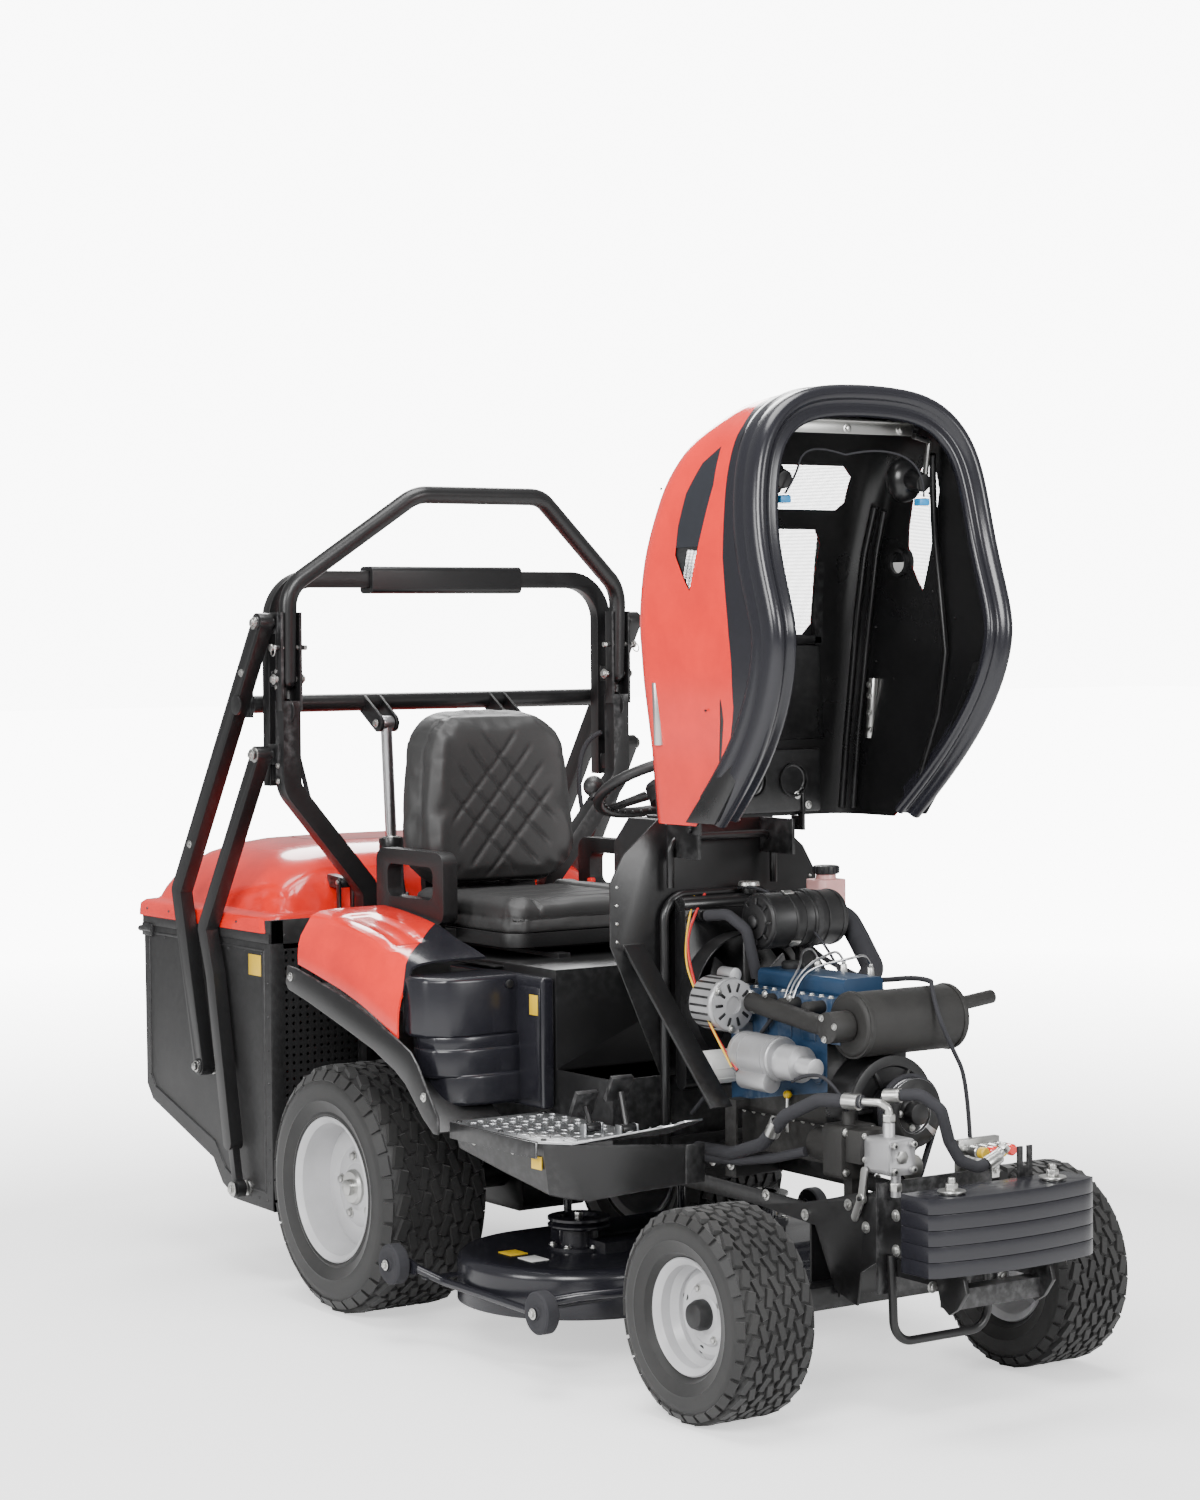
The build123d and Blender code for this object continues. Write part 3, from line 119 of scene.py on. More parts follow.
RED = Finish("vermilion_gloss", "red_paint", Surface.GLOSS, (0.86, 0.014, 0.006), 0.2, 0.015, 0.03, 60, 0.015)
GLOSS_BLACK = Finish("black_gloss", "black_gloss", Surface.GLOSS, (0.006, 0.006, 0.0065), 0.17, 0.01, 0.04, 60, 0.02)
LINER_BLACK = Finish("black_moulding", "black_gloss", Surface.SATIN, (0.0065, 0.0065, 0.007), 0.3, 0.015, 0.05, 240, 0.05)
SATIN_BLACK = Finish("black_powder_coat", "black_paint", Surface.SATIN, (0.0075, 0.0075, 0.008), 0.34, 0.015, 0.12, 900, 0.08)
PLASTIC = Finish("black_textured_plastic", "black_plastic", Surface.GRAINED, (0.0095, 0.0095, 0.01), 0.45, 0.02, 0.05, 900, 0.2)
BOX_BLACK = Finish("collector_plastic", "black_plastic", Surface.GRAINED, (0.012, 0.012, 0.0125), 0.5, 0.02, 0.05, 350, 0.3)
SILVER = Finish("silver_rim_paint", "silver_rim", Surface.SATIN, (0.5, 0.5, 0.51), 0.33, 0.03, 0.1, 700, 0.04)
TYRE = Finish("turf_tyre_rubber", "tyre_rubber", Surface.RUBBER, (0.007, 0.007, 0.007), 0.6, 0.05, 0.0, 300, 0.25)
HOSE = Finish("hose_rubber", "hose_rubber", Surface.RUBBER, (0.01, 0.01, 0.01), 0.5, 0.03, 0.0, 700, 0.2)
BLUE = Finish("engine_blue_paint", "engine_blue", Surface.SATIN, (0.014, 0.045, 0.1), 0.33, 0.08, 0.2, 160, 0.2)
MUFFLER = Finish("matt_exhaust_black", "cast_dark", Surface.SATIN, (0.011, 0.0105, 0.0098), 0.62, 0.08, 0.04, 420, 0.5)
CAST = Finish("heat_stained_casting", "cast_dark", Surface.CAST, (0.022, 0.02, 0.019), 0.72, 0.2, 0.05, 420, 0.5)
STEEL = Finish("bright_steel", "steel", Surface.METAL, (0.52, 0.52, 0.53), 0.3, 0.06, 0.0, 500, 0.06)
ZINC = Finish("zinc_plate", "steel", Surface.METAL, (0.6, 0.6, 0.58), 0.34, 0.06, 0.0, 300, 0.05)
ALLOY = Finish("cast_aluminium", "alloy", Surface.CAST, (0.5, 0.5, 0.51), 0.42, 0.15, 0.1, 420, 0.3)
TREAD = Finish("tread_plate_aluminium", "tread_alloy", Surface.METAL, (0.6, 0.61, 0.62), 0.3, 0.12, 0.0, 240, 0.08)
TANK = Finish("pink_tank_plastic", "tank_plastic", Surface.MILKY, (0.78, 0.42, 0.4), 0.35, 0.05, 0.0, 120, 0.04)
VINYL = Finish("seat_vinyl", "seat_vinyl", Surface.VINYL, (0.009, 0.009, 0.0095), 0.3, 0.01, 0.0, 420, 0.28)
RAW = Finish("raw_bracket_steel", "steel", Surface.CAST, (0.2, 0.105, 0.06), 0.55, 0.25, 0.2, 120, 0.2)
YELLOW = Finish("plain_yellow_label", "black_plastic", Surface.SATIN, (0.78, 0.5, 0.02), 0.4, 0.05, 0.0, 200, 0.02)
WHITE = Finish("plain_white_label", "black_plastic", Surface.SATIN, (0.75, 0.75, 0.73), 0.4, 0.05, 0.0, 200, 0.02)
CONNECTOR = Finish("blue_connector", "black_plastic", Surface.SATIN, (0.02, 0.28, 0.62), 0.4, 0.02, 0.0, 200, 0.02)
WIRE_RED = Finish("red_wire", "hose_rubber", Surface.SATIN, (0.5, 0.02, 0.02), 0.4, 0.02, 0.0, 200, 0.02)
WIRE_YELLOW = Finish("yellow_wire", "hose_rubber", Surface.SATIN, (0.7, 0.42, 0.02), 0.4, 0.02, 0.0, 200, 0.02)
SCREEN = Finish("woven_black_screen", "black_gloss", Surface.SCREEN, (0.02, 0.02, 0.021), 0.45, 0.0, 0.0, 3.2, 0.0)
# A dark glossy pane: painted shade standing in for the shaded bonnet interior seen through the near window.
SHADE_PANE = Finish("painted_shade_pane", "black_gloss", Surface.GLOSS, (0.012, 0.014, 0.02), 0.1, 0.02, 0.0, 60, 0.01)


class Nodes:
    """A node tree with short calls for adding and joining nodes."""

    def __init__(self, tree: bpy.types.NodeTree) -> None:
        """Keeps the tree to build in.

        Args:
            tree: The node tree of a material or of a group.
        """
        self.tree = tree

    def add(self, kind: str, **settings: object) -> bpy.types.Node:
        """Adds one node.

        Args:
            kind: The node's type name, without its ShaderNode start.
            **settings: Properties of the node, such as operation.

        Returns:
            The new node.
        """
        node = self.tree.nodes.new(kind if kind.startswith("Node") else "ShaderNode" + kind)
        for key, value in settings.items():
            setattr(node, key, value)
        return node

    def feed(self, node: bpy.types.Node, socket: str | int, source: object) -> None:
        """Joins a socket, or gives it a plain value.

        Args:
            node: The node that is fed.
            socket: The input's name or number.
            source: An output socket, a number or a colour.
        """
        target = node.inputs[socket]
        if isinstance(source, bpy.types.NodeSocket):
            self.tree.links.new(source, target)
        else:
            target.default_value = source

    def math(self, operation: str, first: object, second: object = 0.0, clamp: bool = False) -> bpy.types.NodeSocket:
        """Adds a Math node and returns its output.

        Args:
            operation: The operation's name.
            first: The first value or socket.
            second: The second value or socket.
            clamp: Whether the result is kept between 0 and 1.

        Returns:
            The value socket.
        """
        node = self.add("Math", operation=operation, use_clamp=clamp)
        self.feed(node, 0, first)
        self.feed(node, 1, second)
        return node.outputs[0]

    def noise(self, vector: object, scale: object, detail: float = 4.0, rough: float = 0.55) -> bpy.types.NodeSocket:
        """Adds a Noise node on a vector and returns its value.

        Args:
            vector: The coordinates.
            scale: The noise's scale.
            detail: Octaves.
            rough: Roughness of the octaves.

        Returns:
            The noise value socket.
        """
        node = self.add("TexNoise")
        self.feed(node, "Vector", vector)
        self.feed(node, "Scale", scale)
        self.feed(node, "Detail", detail)
        self.feed(node, "Roughness", rough)
        return node.outputs["Fac"]

    def ramp(self, value: object, low: float, high: float) -> bpy.types.NodeSocket:
        """Spreads a value from low..high to 0..1.

        Args:
            value: The socket to spread.
            low: The value that becomes 0.
            high: The value that becomes 1.

        Returns:
            The spread value.
        """
        node = self.add("MapRange", clamp=True)
        self.feed(node, "Value", value)
        self.feed(node, "From Min", low)
        self.feed(node, "From Max", high)
        return node.outputs[0]

    def blend(self, amount: object, first: object, second: object) -> bpy.types.NodeSocket:
        """Mixes two colours.

        Args:
            amount: How much of the second colour shows.
            first: The first colour.
            second: The second colour.

        Returns:
            The mixed colour.
        """
        node = self.add("Mix", data_type="RGBA")
        self.feed(node, "Factor", amount)
        self.feed(node, 6, first)
        self.feed(node, 7, second)
        return node.outputs[2]


def effect_group(name: str, inputs: Sequence[tuple[str, str, object]], outputs: Sequence[tuple[str, str]],
                 fill: Callable[[Nodes, bpy.types.Node, bpy.types.Node], None]) -> bpy.types.NodeTree:
    """Builds a shared shader group once.

    Args:
        name: The group's name.
        inputs: Name, socket type and default value of each input.
        outputs: Name and socket type of each output.
        fill: Builds the nodes between the group's input and output.

    Returns:
        The node group.
    """
    group = bpy.data.node_groups.get(name)
    if group:
        return group
    group = bpy.data.node_groups.new(name, "ShaderNodeTree")
    for label, kind, value in inputs:
        socket = group.interface.new_socket(name=label, in_out="INPUT", socket_type=kind)
        socket.default_value = value
    for label, kind in outputs:
        group.interface.new_socket(name=label, in_out="OUTPUT", socket_type=kind)
    nodes = Nodes(group)
    fill(nodes, nodes.add("NodeGroupInput"), nodes.add("NodeGroupOutput"))
    return group


def fill_edge_wear(nodes: Nodes, inlet: bpy.types.Node, outlet: bpy.types.Node) -> None:
    """Lightens a colour along rubbed edges.

    Args:
        nodes: The tree.
        inlet: The group's input node.
        outlet: The group's output node.
    """
    shape = nodes.add("NewGeometry")
    place = nodes.add("TexCoord").outputs["Object"]
    edge = nodes.ramp(shape.outputs["Pointiness"], 0.54, 0.62)
    broken = nodes.ramp(nodes.noise(place, 55.0, 6.0), 0.42, 0.7)
    mask = nodes.math("MULTIPLY", nodes.math("MULTIPLY", edge, broken), inlet.outputs["Amount"], True)
    nodes.feed(outlet, "Mask", mask)
    nodes.feed(outlet, "Color", nodes.blend(mask, inlet.outputs["Color"], inlet.outputs["Bare"]))


def fill_dust(nodes: Nodes, inlet: bpy.types.Node, outlet: bpy.types.Node) -> None:
    """Lays a thin uneven film of dust, thicker near the ground and on upward faces.

    Args:
        nodes: The tree.
        inlet: The group's input node.
        outlet: The group's output node.
    """
    place = nodes.add("TexCoord").outputs["Object"]
    split = nodes.add("SeparateXYZ")
    nodes.feed(split, 0, place)
    low = nodes.ramp(split.outputs["Z"], 1.0, 0.0)
    normal = nodes.add("SeparateXYZ")
    nodes.feed(normal, 0, nodes.add("NewGeometry").outputs["Normal"])
    up = nodes.ramp(normal.outputs["Z"], 0.2, 1.0)
    patches = nodes.ramp(nodes.noise(place, 7.0, 7.0, 0.65), 0.38, 0.72)
    amount = nodes.math("ADD", nodes.math("MULTIPLY", up, 0.5), nodes.math("ADD", nodes.math("MULTIPLY", low, 0.35), 0.25))
    mask = nodes.math("MULTIPLY", nodes.math("MULTIPLY", amount, patches), inlet.outputs["Amount"], True)
    nodes.feed(outlet, "Mask", mask)
    nodes.feed(outlet, "Color", nodes.blend(mask, inlet.outputs["Color"], (0.27, 0.255, 0.23, 1)))


def fill_mottle(nodes: Nodes, inlet: bpy.types.Node, outlet: bpy.types.Node) -> None:
    """Varies a colour slowly over the surface and gives a matching value.

    Args:
        nodes: The tree.
        inlet: The group's input node.
        outlet: The group's output node.
    """
    place = nodes.add("TexCoord").outputs["Object"]
    patches = nodes.noise(place, inlet.outputs["Scale"], 5.0, 0.6)
    dark = nodes.add("HueSaturation")
    nodes.feed(dark, "Value", 0.78)
    nodes.feed(dark, "Color", inlet.outputs["Color"])
    nodes.feed(outlet, "Color", nodes.blend(nodes.ramp(patches, 0.35, 0.68), dark.outputs[0], inlet.outputs["Color"]))
    nodes.feed(outlet, "Value", patches)


def fill_grain(nodes: Nodes, inlet: bpy.types.Node, outlet: bpy.types.Node) -> None:
    """Gives the height of a fine moulded, sprayed or cast grain.

    Args:
        nodes: The tree.
        inlet: The group's input node.
        outlet: The group's output node.
    """
    place = nodes.add("TexCoord").outputs["Object"]
    fine = nodes.noise(place, inlet.outputs["Scale"], 3.0, 0.6)
    slow = nodes.noise(place, nodes.math("MULTIPLY", inlet.outputs["Scale"], 0.17), 3.0)
    nodes.feed(outlet, "Height", nodes.math("ADD", nodes.math("MULTIPLY", fine, 0.7), nodes.math("MULTIPLY", slow, 0.3)))


def fill_leather(nodes: Nodes, inlet: bpy.types.Node, outlet: bpy.types.Node) -> None:
    """Gives the height of small rounded leather cells with creases between them.

    Args:
        nodes: The tree.
        inlet: The group's input node.
        outlet: The group's output node.
    """
    place = nodes.add("TexCoord").outputs["Object"]
    cells = nodes.add("TexVoronoi", feature="F1")
    warp = nodes.add("VectorMath", operation="ADD")
    nodes.feed(warp, 0, place)
    shift = nodes.add("VectorMath", operation="SCALE")
    soft = nodes.add("TexNoise")
    nodes.feed(soft, "Vector", place)
    nodes.feed(soft, "Scale", 90.0)
    nodes.feed(shift, 0, soft.outputs["Color"])
    nodes.feed(shift, "Scale", 0.004)
    nodes.feed(warp, 1, shift.outputs[0])
    nodes.feed(cells, "Vector", warp.outputs[0])
    nodes.feed(cells, "Scale", inlet.outputs["Scale"])
    nodes.feed(outlet, "Height", nodes.math("SUBTRACT", 1.0, cells.outputs["Distance"]))


def fill_screen(nodes: Nodes, inlet: bpy.types.Node, outlet: bpy.types.Node) -> None:
    """Gives 1 on the wires of a fine square screen and 0 in its holes.

    Args:
        nodes: The tree.
        inlet: The group's input node.
        outlet: The group's output node.
    """
    split = nodes.add("SeparateXYZ")
    nodes.feed(split, 0, nodes.add("TexCoord").outputs["Object"])
    turn = nodes.math("DIVIDE", 3.14159 * 1000.0, inlet.outputs["Pitch"])
    across = nodes.math("ADD", split.outputs["Y"], split.outputs["X"])
    waves = [nodes.math("ABSOLUTE", nodes.math("SINE", nodes.math("MULTIPLY", line, turn)))
             for line in (across, split.outputs["Z"])]
    holes = nodes.math("MULTIPLY", *(nodes.math("GREATER_THAN", wave, 0.56) for wave in waves))
    nodes.feed(outlet, "Mask", nodes.math("SUBTRACT", 1.0, holes, True))


COLOUR, VALUE = "NodeSocketColor", "NodeSocketFloat"
GREY = (0.5, 0.5, 0.5, 1.0)


def shared_group(name: str) -> bpy.types.NodeTree:
    """Returns one of the shared effect groups, built on first use.

    Args:
        name: edge_wear, dust, mottle, grain, leather or screen.

    Returns:
        The node group.
    """
    tinted = [("Color", COLOUR, GREY), ("Amount", VALUE, 0.1)]
    specs = {
        "edge_wear": (tinted + [("Bare", COLOUR, (0.45, 0.45, 0.46, 1.0))], [("Color", COLOUR), ("Mask", VALUE)], fill_edge_wear),
        "dust": (tinted, [("Color", COLOUR), ("Mask", VALUE)], fill_dust),
        "mottle": ([("Color", COLOUR, GREY), ("Scale", VALUE, 6.0)], [("Color", COLOUR), ("Value", VALUE)], fill_mottle),
        "grain": ([("Scale", VALUE, 400.0)], [("Height", VALUE)], fill_grain),
        "leather": ([("Scale", VALUE, 400.0)], [("Height", VALUE)], fill_leather),
        "screen": ([("Pitch", VALUE, 4.0)], [("Mask", VALUE)], fill_screen),
    }
    return effect_group(name, *specs[name])


class MaterialMaker:
    """Builds the node tree of one finish from the shared groups."""

    def __init__(self, finish: Finish) -> None:
        """Starts an empty material.

        Args:
            finish: The finish to build.
        """
        self.finish = finish
        self.made = bpy.data.materials.new(finish.name)
        self.made.use_nodes = True
        self.made.node_tree.nodes.clear()
        self.nodes = Nodes(self.made.node_tree)

    def group(self, name: str, **values: object) -> bpy.types.Node:
        """Places a shared group with this finish's values.

        Args:
            name: The group's name.
            **values: Values or sockets by input name.

        Returns:
            The group node.
        """
        node = self.nodes.add("Group", node_tree=shared_group(name))
        for key, value in values.items():
            self.nodes.feed(node, key, value)
        return node

    def build(self) -> bpy.types.Material:
        """Makes the nodes of the finish's family.

        Returns:
            The finished material.
        """
        f, nodes = self.finish, self.nodes
        shader, out = nodes.add("BsdfPrincipled"), nodes.add("OutputMaterial")
        nodes.tree.links.new(shader.outputs[0], out.inputs[0])
        mottle = self.group("mottle", Color=(*f.colour, 1.0), Scale=5.0)
        worn = self.group("edge_wear", Color=mottle.outputs["Color"], Amount=f.wear)
        dusty = self.group("dust", Color=worn.outputs["Color"], Amount=f.dirt)
        nodes.feed(shader, "Base Color", dusty.outputs["Color"])
        spread = nodes.math("MULTIPLY", nodes.math("SUBTRACT", mottle.outputs["Value"], 0.5), 0.22)
        rough = nodes.math("ADD", nodes.math("ADD", spread, f.rough), nodes.math("MULTIPLY", dusty.outputs["Mask"], 0.5), True)
        nodes.feed(shader, "Roughness", rough)
        height = self.group("leather" if f.surface is Surface.VINYL else "grain", Scale=f.grain)
        bump = nodes.add("Bump")
        nodes.feed(bump, "Strength", f.bump)
        nodes.feed(bump, "Distance", 0.0006 if f.surface is not Surface.CAST else 0.0015)
        nodes.feed(bump, "Height", height.outputs["Height"])
        nodes.feed(shader, "Normal", bump.outputs["Normal"])
        if f.surface in (Surface.METAL, Surface.CAST) and f.colour[1] > 0.1:
            nodes.feed(shader, "Metallic", 1.0 if f.surface is Surface.METAL else 0.75)
        if f.surface is Surface.GLOSS:
            nodes.feed(shader, "Coat Weight", 0.7)
            nodes.feed(shader, "Coat Roughness", 0.06)
        if f.surface is Surface.RUBBER:
            nodes.feed(shader, "Sheen Weight", 0.12)
        if f.surface is Surface.VINYL:
            nodes.feed(shader, "Coat Weight", 0.25)
            nodes.feed(shader, "Coat Roughness", 0.3)
        if f.surface is Surface.MILKY:
            nodes.feed(shader, "Subsurface Weight", 0.4)
            nodes.feed(shader, "Subsurface Radius", (0.02, 0.01, 0.01))
        if f.surface is Surface.SCREEN:
            nodes.feed(shader, "Alpha", self.group("screen", Pitch=f.grain).outputs["Mask"])
        return self.made


# ------------------------------------------------------------------ building
class Datum:
    """The machine datum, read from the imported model."""

    origin: Vector = Vector()

    @classmethod
    def read(cls) -> None:
        """Puts the datum on the ground below the rear axle."""
        low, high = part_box("rear_tyre_left")
        cls.origin = Vector(((low[0] + high[0]) / 2, 0.0, low[2]))

    @classmethod
    def at(cls, point: Iterable[float]) -> Vector:
        """Turns datum millimetres into the row frame's metres.

        Args:
            point: X, Y and Z in millimetres.

        Returns:
            The point in metres.
        """
        return Vector(tuple(point)) * MM + cls.origin


def across(axis: Vector) -> Matrix:
    """A rotation that takes +Z to the given direction.

    Args:
        axis: The direction.

    Returns:
        A 4x4 rotation.
    """
    return Vector((0, 0, 1)).rotation_difference(axis.normalized()).to_matrix().to_4x4()


class Shape:
    """A mesh that is put together from bmesh operators, in datum millimetres."""

    def __init__(self) -> None:
        """Starts an empty mesh."""
        self.bm = bmesh.new()

    def _join(self, part: bmesh.types.BMesh, slot: int, turn: Optional[Matrix] = None) -> None:
        """Adds a finished part to this mesh and frees it.

        Args:
            part: The part's mesh.
            slot: Its material number.
            turn: A transform for the part, if any.
        """
        if turn is not None:
            part.transform(turn)
        for face in part.faces:
            face.material_index = slot
        carrier = bpy.data.meshes.new("carrier")
        part.to_mesh(carrier)
        part.free()
        self.bm.from_mesh(carrier)
        bpy.data.meshes.remove(carrier)

    @staticmethod
    def _round(part: bmesh.types.BMesh, width: float, segments: int = 2, angle: float = 0.5) -> None:
        """Bevels a part's sharp edges.

        Args:
            part: The mesh.
            width: Width of the bevel.
            segments: Its segments.
            angle: Least angle of an edge that counts as sharp, in radians.
        """
        if width <= 0:
            return
        edges = [e for e in part.edges if len(e.link_faces) == 2 and e.calc_face_angle(0) > angle]
        bmesh.ops.bevel(part, geom=edges, offset=width, offset_type="OFFSET", affect="EDGES", segments=segments,
                        profile=0.5, material=-1, clamp_overlap=True)

    def box(self, low: Point, high: Point, round_by: float = 2.0, slot: int = 0, turn: Optional[Matrix] = None) -> "Shape":
        """Adds a block with rounded edges.

        Args:
            low: Its lowest corner.
            high: Its highest corner.
            round_by: Width of the bevel.
            slot: Material number.
            turn: A transform applied at the end.

        Returns:
            This shape.
        """
        part = bmesh.new()
        size = Vector(high) - Vector(low)
        middle = (Vector(high) + Vector(low)) / 2
        bmesh.ops.create_cube(part, size=1.0, matrix=Matrix.Translation(middle) @ Matrix.Diagonal((*size, 1.0)))
        self._round(part, min(round_by, 0.45 * min(size)))
        self._join(part, slot, turn)
        return self

    def rod(self, start: Point, end: Point, radius: float, tip: Optional[float] = None, sides: int = 20,
            round_by: float = 0.8, slot: int = 0) -> "Shape":
        """Adds a round or many-sided bar between two points.

        Args:
            start: One end.
            end: The other end.
            radius: Radius at the start.
            tip: Radius at the end, if it differs.
            sides: Number of sides, 6 for a hexagon head.
            round_by: Width of the bevel at its ends.
            slot: Material number.

        Returns:
            This shape.
        """
        part = bmesh.new()
        a, b = Vector(start), Vector(end)
        bmesh.ops.create_cone(part, cap_ends=True, segments=sides, radius1=radius,
                              radius2=radius if tip is None else tip, depth=(b - a).length)
        self._round(part, min(round_by, radius * 0.4), 2, 0.9)
        self._join(part, slot, Matrix.Translation((a + b) / 2) @ across(b - a))
        return self

    def ball(self, centre: Point, radius: float, squash: Point = (1, 1, 1), slot: int = 0, sides: int = 16) -> "Shape":
        """Adds a ball or an egg.

        Args:
            centre: Its centre.
            radius: Its radius.
            squash: Scale along each axis.
            slot: Material number.
            sides: Number of sides round it.

        Returns:
            This shape.
        """
        part = bmesh.new()
        bmesh.ops.create_uvsphere(part, u_segments=sides, v_segments=max(6, sides // 2), radius=radius)
        self._join(part, slot, Matrix.Translation(centre) @ Matrix.Diagonal((*squash, 1.0)))
        return self

    def lathe(self, profile: Sequence[Flat], base: Point, axis: Point, steps: int = 48, slot: int = 0) -> "Shape":
        """Spins a profile about an axis.

        Args:
            profile: Radius and height of each point; a ring profile closes itself.
            base: The point at height 0.
            axis: Direction of the axis.
            steps: Steps in the full turn.
            slot: Material number.

        Returns:
            This shape.
        """
        part = bmesh.new()
        rim = [part.verts.new((r, 0.0, h)) for r, h in profile]
        edges = [part.edges.new(pair) for pair in zip(rim, rim[1:])]
        if profile[0][0] > 0 and profile[-1][0] > 0:
            edges.append(part.edges.new((rim[-1], rim[0])))
        bmesh.ops.spin(part, geom=rim + edges, cent=(0, 0, 0), axis=(0, 0, 1), angle=math.tau, steps=steps, use_merge=True)
        bmesh.ops.remove_doubles(part, verts=part.verts, dist=0.01)
        bmesh.ops.recalc_face_normals(part, faces=part.faces)
        self._join(part, slot, Matrix.Translation(base) @ across(Vector(axis)))
        return self

    def prism(self, points: Sequence[Flat], start: float, end: float, axis: str, round_by: float = 2.0,
              slot: int = 0, segments: int = 2) -> "Shape":
        """Extrudes a flat outline along one axis.

        Args:
            points: The outline: X and Z for axis y, Y and Z for axis x, X and Y for axis z.
            start: Where the extrusion starts on that axis.
            end: Where it ends.
            axis: x, y or z.
            round_by: Width of the bevel.
            slot: Material number.
            segments: Segments of the bevel.

        Returns:
            This shape.
        """
        part = bmesh.new()
        place = {"x": lambda u, v: (start, u, v), "y": lambda u, v: (u, start, v), "z": lambda u, v: (u, v, start)}[axis]
        face = part.faces.new([part.verts.new(place(u, v)) for u, v in points])
        moved = bmesh.ops.extrude_face_region(part, geom=[face])
        push = Vector([end - start if axis == name else 0.0 for name in "xyz"])
        bmesh.ops.translate(part, vec=push, verts=[g for g in moved["geom"] if isinstance(g, bmesh.types.BMVert)])
        bmesh.ops.recalc_face_normals(part, faces=part.faces)
        self._round(part, round_by, segments)
        self._join(part, slot)
        return self

    def loft(self, rings: Sequence[Sequence[Point]], closed: bool = True, caps: bool = False, wall: float = 0.0,
             slot: int = 0) -> "Shape":
        """Bridges a row of rings that have the same number of points.

        Args:
            rings: The points of each ring, in order.
            closed: Whether each ring closes on itself.
            caps: Whether the first and last rings are filled.
            wall: Thickness given to the skin, inwards.
            slot: Material number.

        Returns:
            This shape.
        """
        part = bmesh.new()
        loops = []
        for ring in rings:
            verts = [part.verts.new(p) for p in ring]
            edges = [part.edges.new(pair) for pair in zip(verts, verts[1:])]
            if closed:
                edges.append(part.edges.new((verts[-1], verts[0])))
            loops.append(edges)
        for low, high in zip(loops, loops[1:]):
            bmesh.ops.bridge_loops(part, edges=low + high)
        if caps:
            for loop in (loops[0], loops[-1]):
                bmesh.ops.contextual_create(part, geom=loop)
        bmesh.ops.recalc_face_normals(part, faces=part.faces)
        if wall:
            bmesh.ops.solidify(part, geom=part.faces[:], thickness=wall)
        self._join(part, slot)
        return self

    def tube(self, points: Sequence[Point], radius: float, sides: int = 14, slot: int = 0) -> "Shape":
        """Adds a closed round tube along points.

        Args:
            points: The centre line.
            radius: The tube's radius.
            sides: Points round it.
            slot: Material number.

        Returns:
            This shape.
        """
        line = [Vector(p) for p in points]
        rings = []
        side = (line[1] - line[0]).orthogonal().normalized()
        for i, here in enumerate(line):
            ahead = (line[min(i + 1, len(line) - 1)] - line[max(i - 1, 0)]).normalized()
            side = (side - ahead * side.dot(ahead)).normalized()
            other = ahead.cross(side)
            rings.append([tuple(here + side * (radius * math.cos(t)) + other * (radius * math.sin(t)))
                          for t in (math.tau * k / sides for k in range(sides))])
        return self.loft(rings, caps=True, slot=slot)

    def bolt(self, at: Point, axis: Point, size: float = 7.0, washer: float = 1.6, slot: int = 0) -> "Shape":
        """Adds a hexagon bolt head on its washer.

        Args:
            at: The point on the surface.
            axis: Direction out of the surface.
            size: Radius across the head's corners.
            washer: Washer radius as a share of the head's.
            slot: Material number.

        Returns:
            This shape.
        """
        out, here = Vector(axis).normalized(), Vector(at)
        self.rod(tuple(here), tuple(here + out * size * 0.22), size * washer, sides=20, round_by=0.3, slot=slot)
        return self.rod(tuple(here + out * size * 0.2), tuple(here + out * size * 0.9), size, sides=6, round_by=0.7, slot=slot)

    def rivets(self, places: Iterable[Point], axis: Point, radius: float = 3.5, slot: int = 0) -> "Shape":
        """Adds low round rivet heads.

        Args:
            places: Where each rivet stands.
            axis: Direction out of the surface.
            radius: Radius of a head.
            slot: Material number.

        Returns:
            This shape.
        """
        out = Vector(axis).normalized()
        for place in places:
            here = Vector(place)
            self.rod(tuple(here - out), tuple(here + out * radius * 0.6), radius, radius * 0.55, 10, 0.0, slot)
        return self

    def split(self, field: Callable[[Vector], float], slot: int, where: Callable[[Vector], bool]) -> "Shape":
        """Cuts the faces along the line where a field is zero and gives one side a material.

        Args:
            field: Signed distance from the line; positive on the side that changes material.
            slot: Material number of the positive side.
            where: Whether a face with this middle takes part.

        Returns:
            This shape.
        """
        taking = [f for f in self.bm.faces if where(f.calc_center_median())]
        fresh = []
        for edge in {e for f in taking for e in f.edges}:
            a, b = edge.verts
            fa, fb = field(a.co), field(b.co)
            if fa * fb < 0:
                share = fa / (fa - fb)
                if 0.02 < share < 0.98:
                    fresh.append(bmesh.utils.edge_split(edge, a, share)[1])
        near = set(fresh) | {v for f in taking for v in f.verts if abs(field(v.co)) < 1.5}
        bmesh.ops.connect_verts(self.bm, verts=list(near), check_degenerate=True)
        for face in self.bm.faces:
            middle = face.calc_center_median()
            if where(middle) and field(middle) > 0:
                face.material_index = slot
        return self

    def push(self, move: Callable[[Vector], Vector]) -> "Shape":
        """Moves every point by a rule.

        Args:
            move: Gives a point's new place from its old one.

        Returns:
            This shape.
        """
        for vert in self.bm.verts:
            vert.co = move(vert.co)
        return self

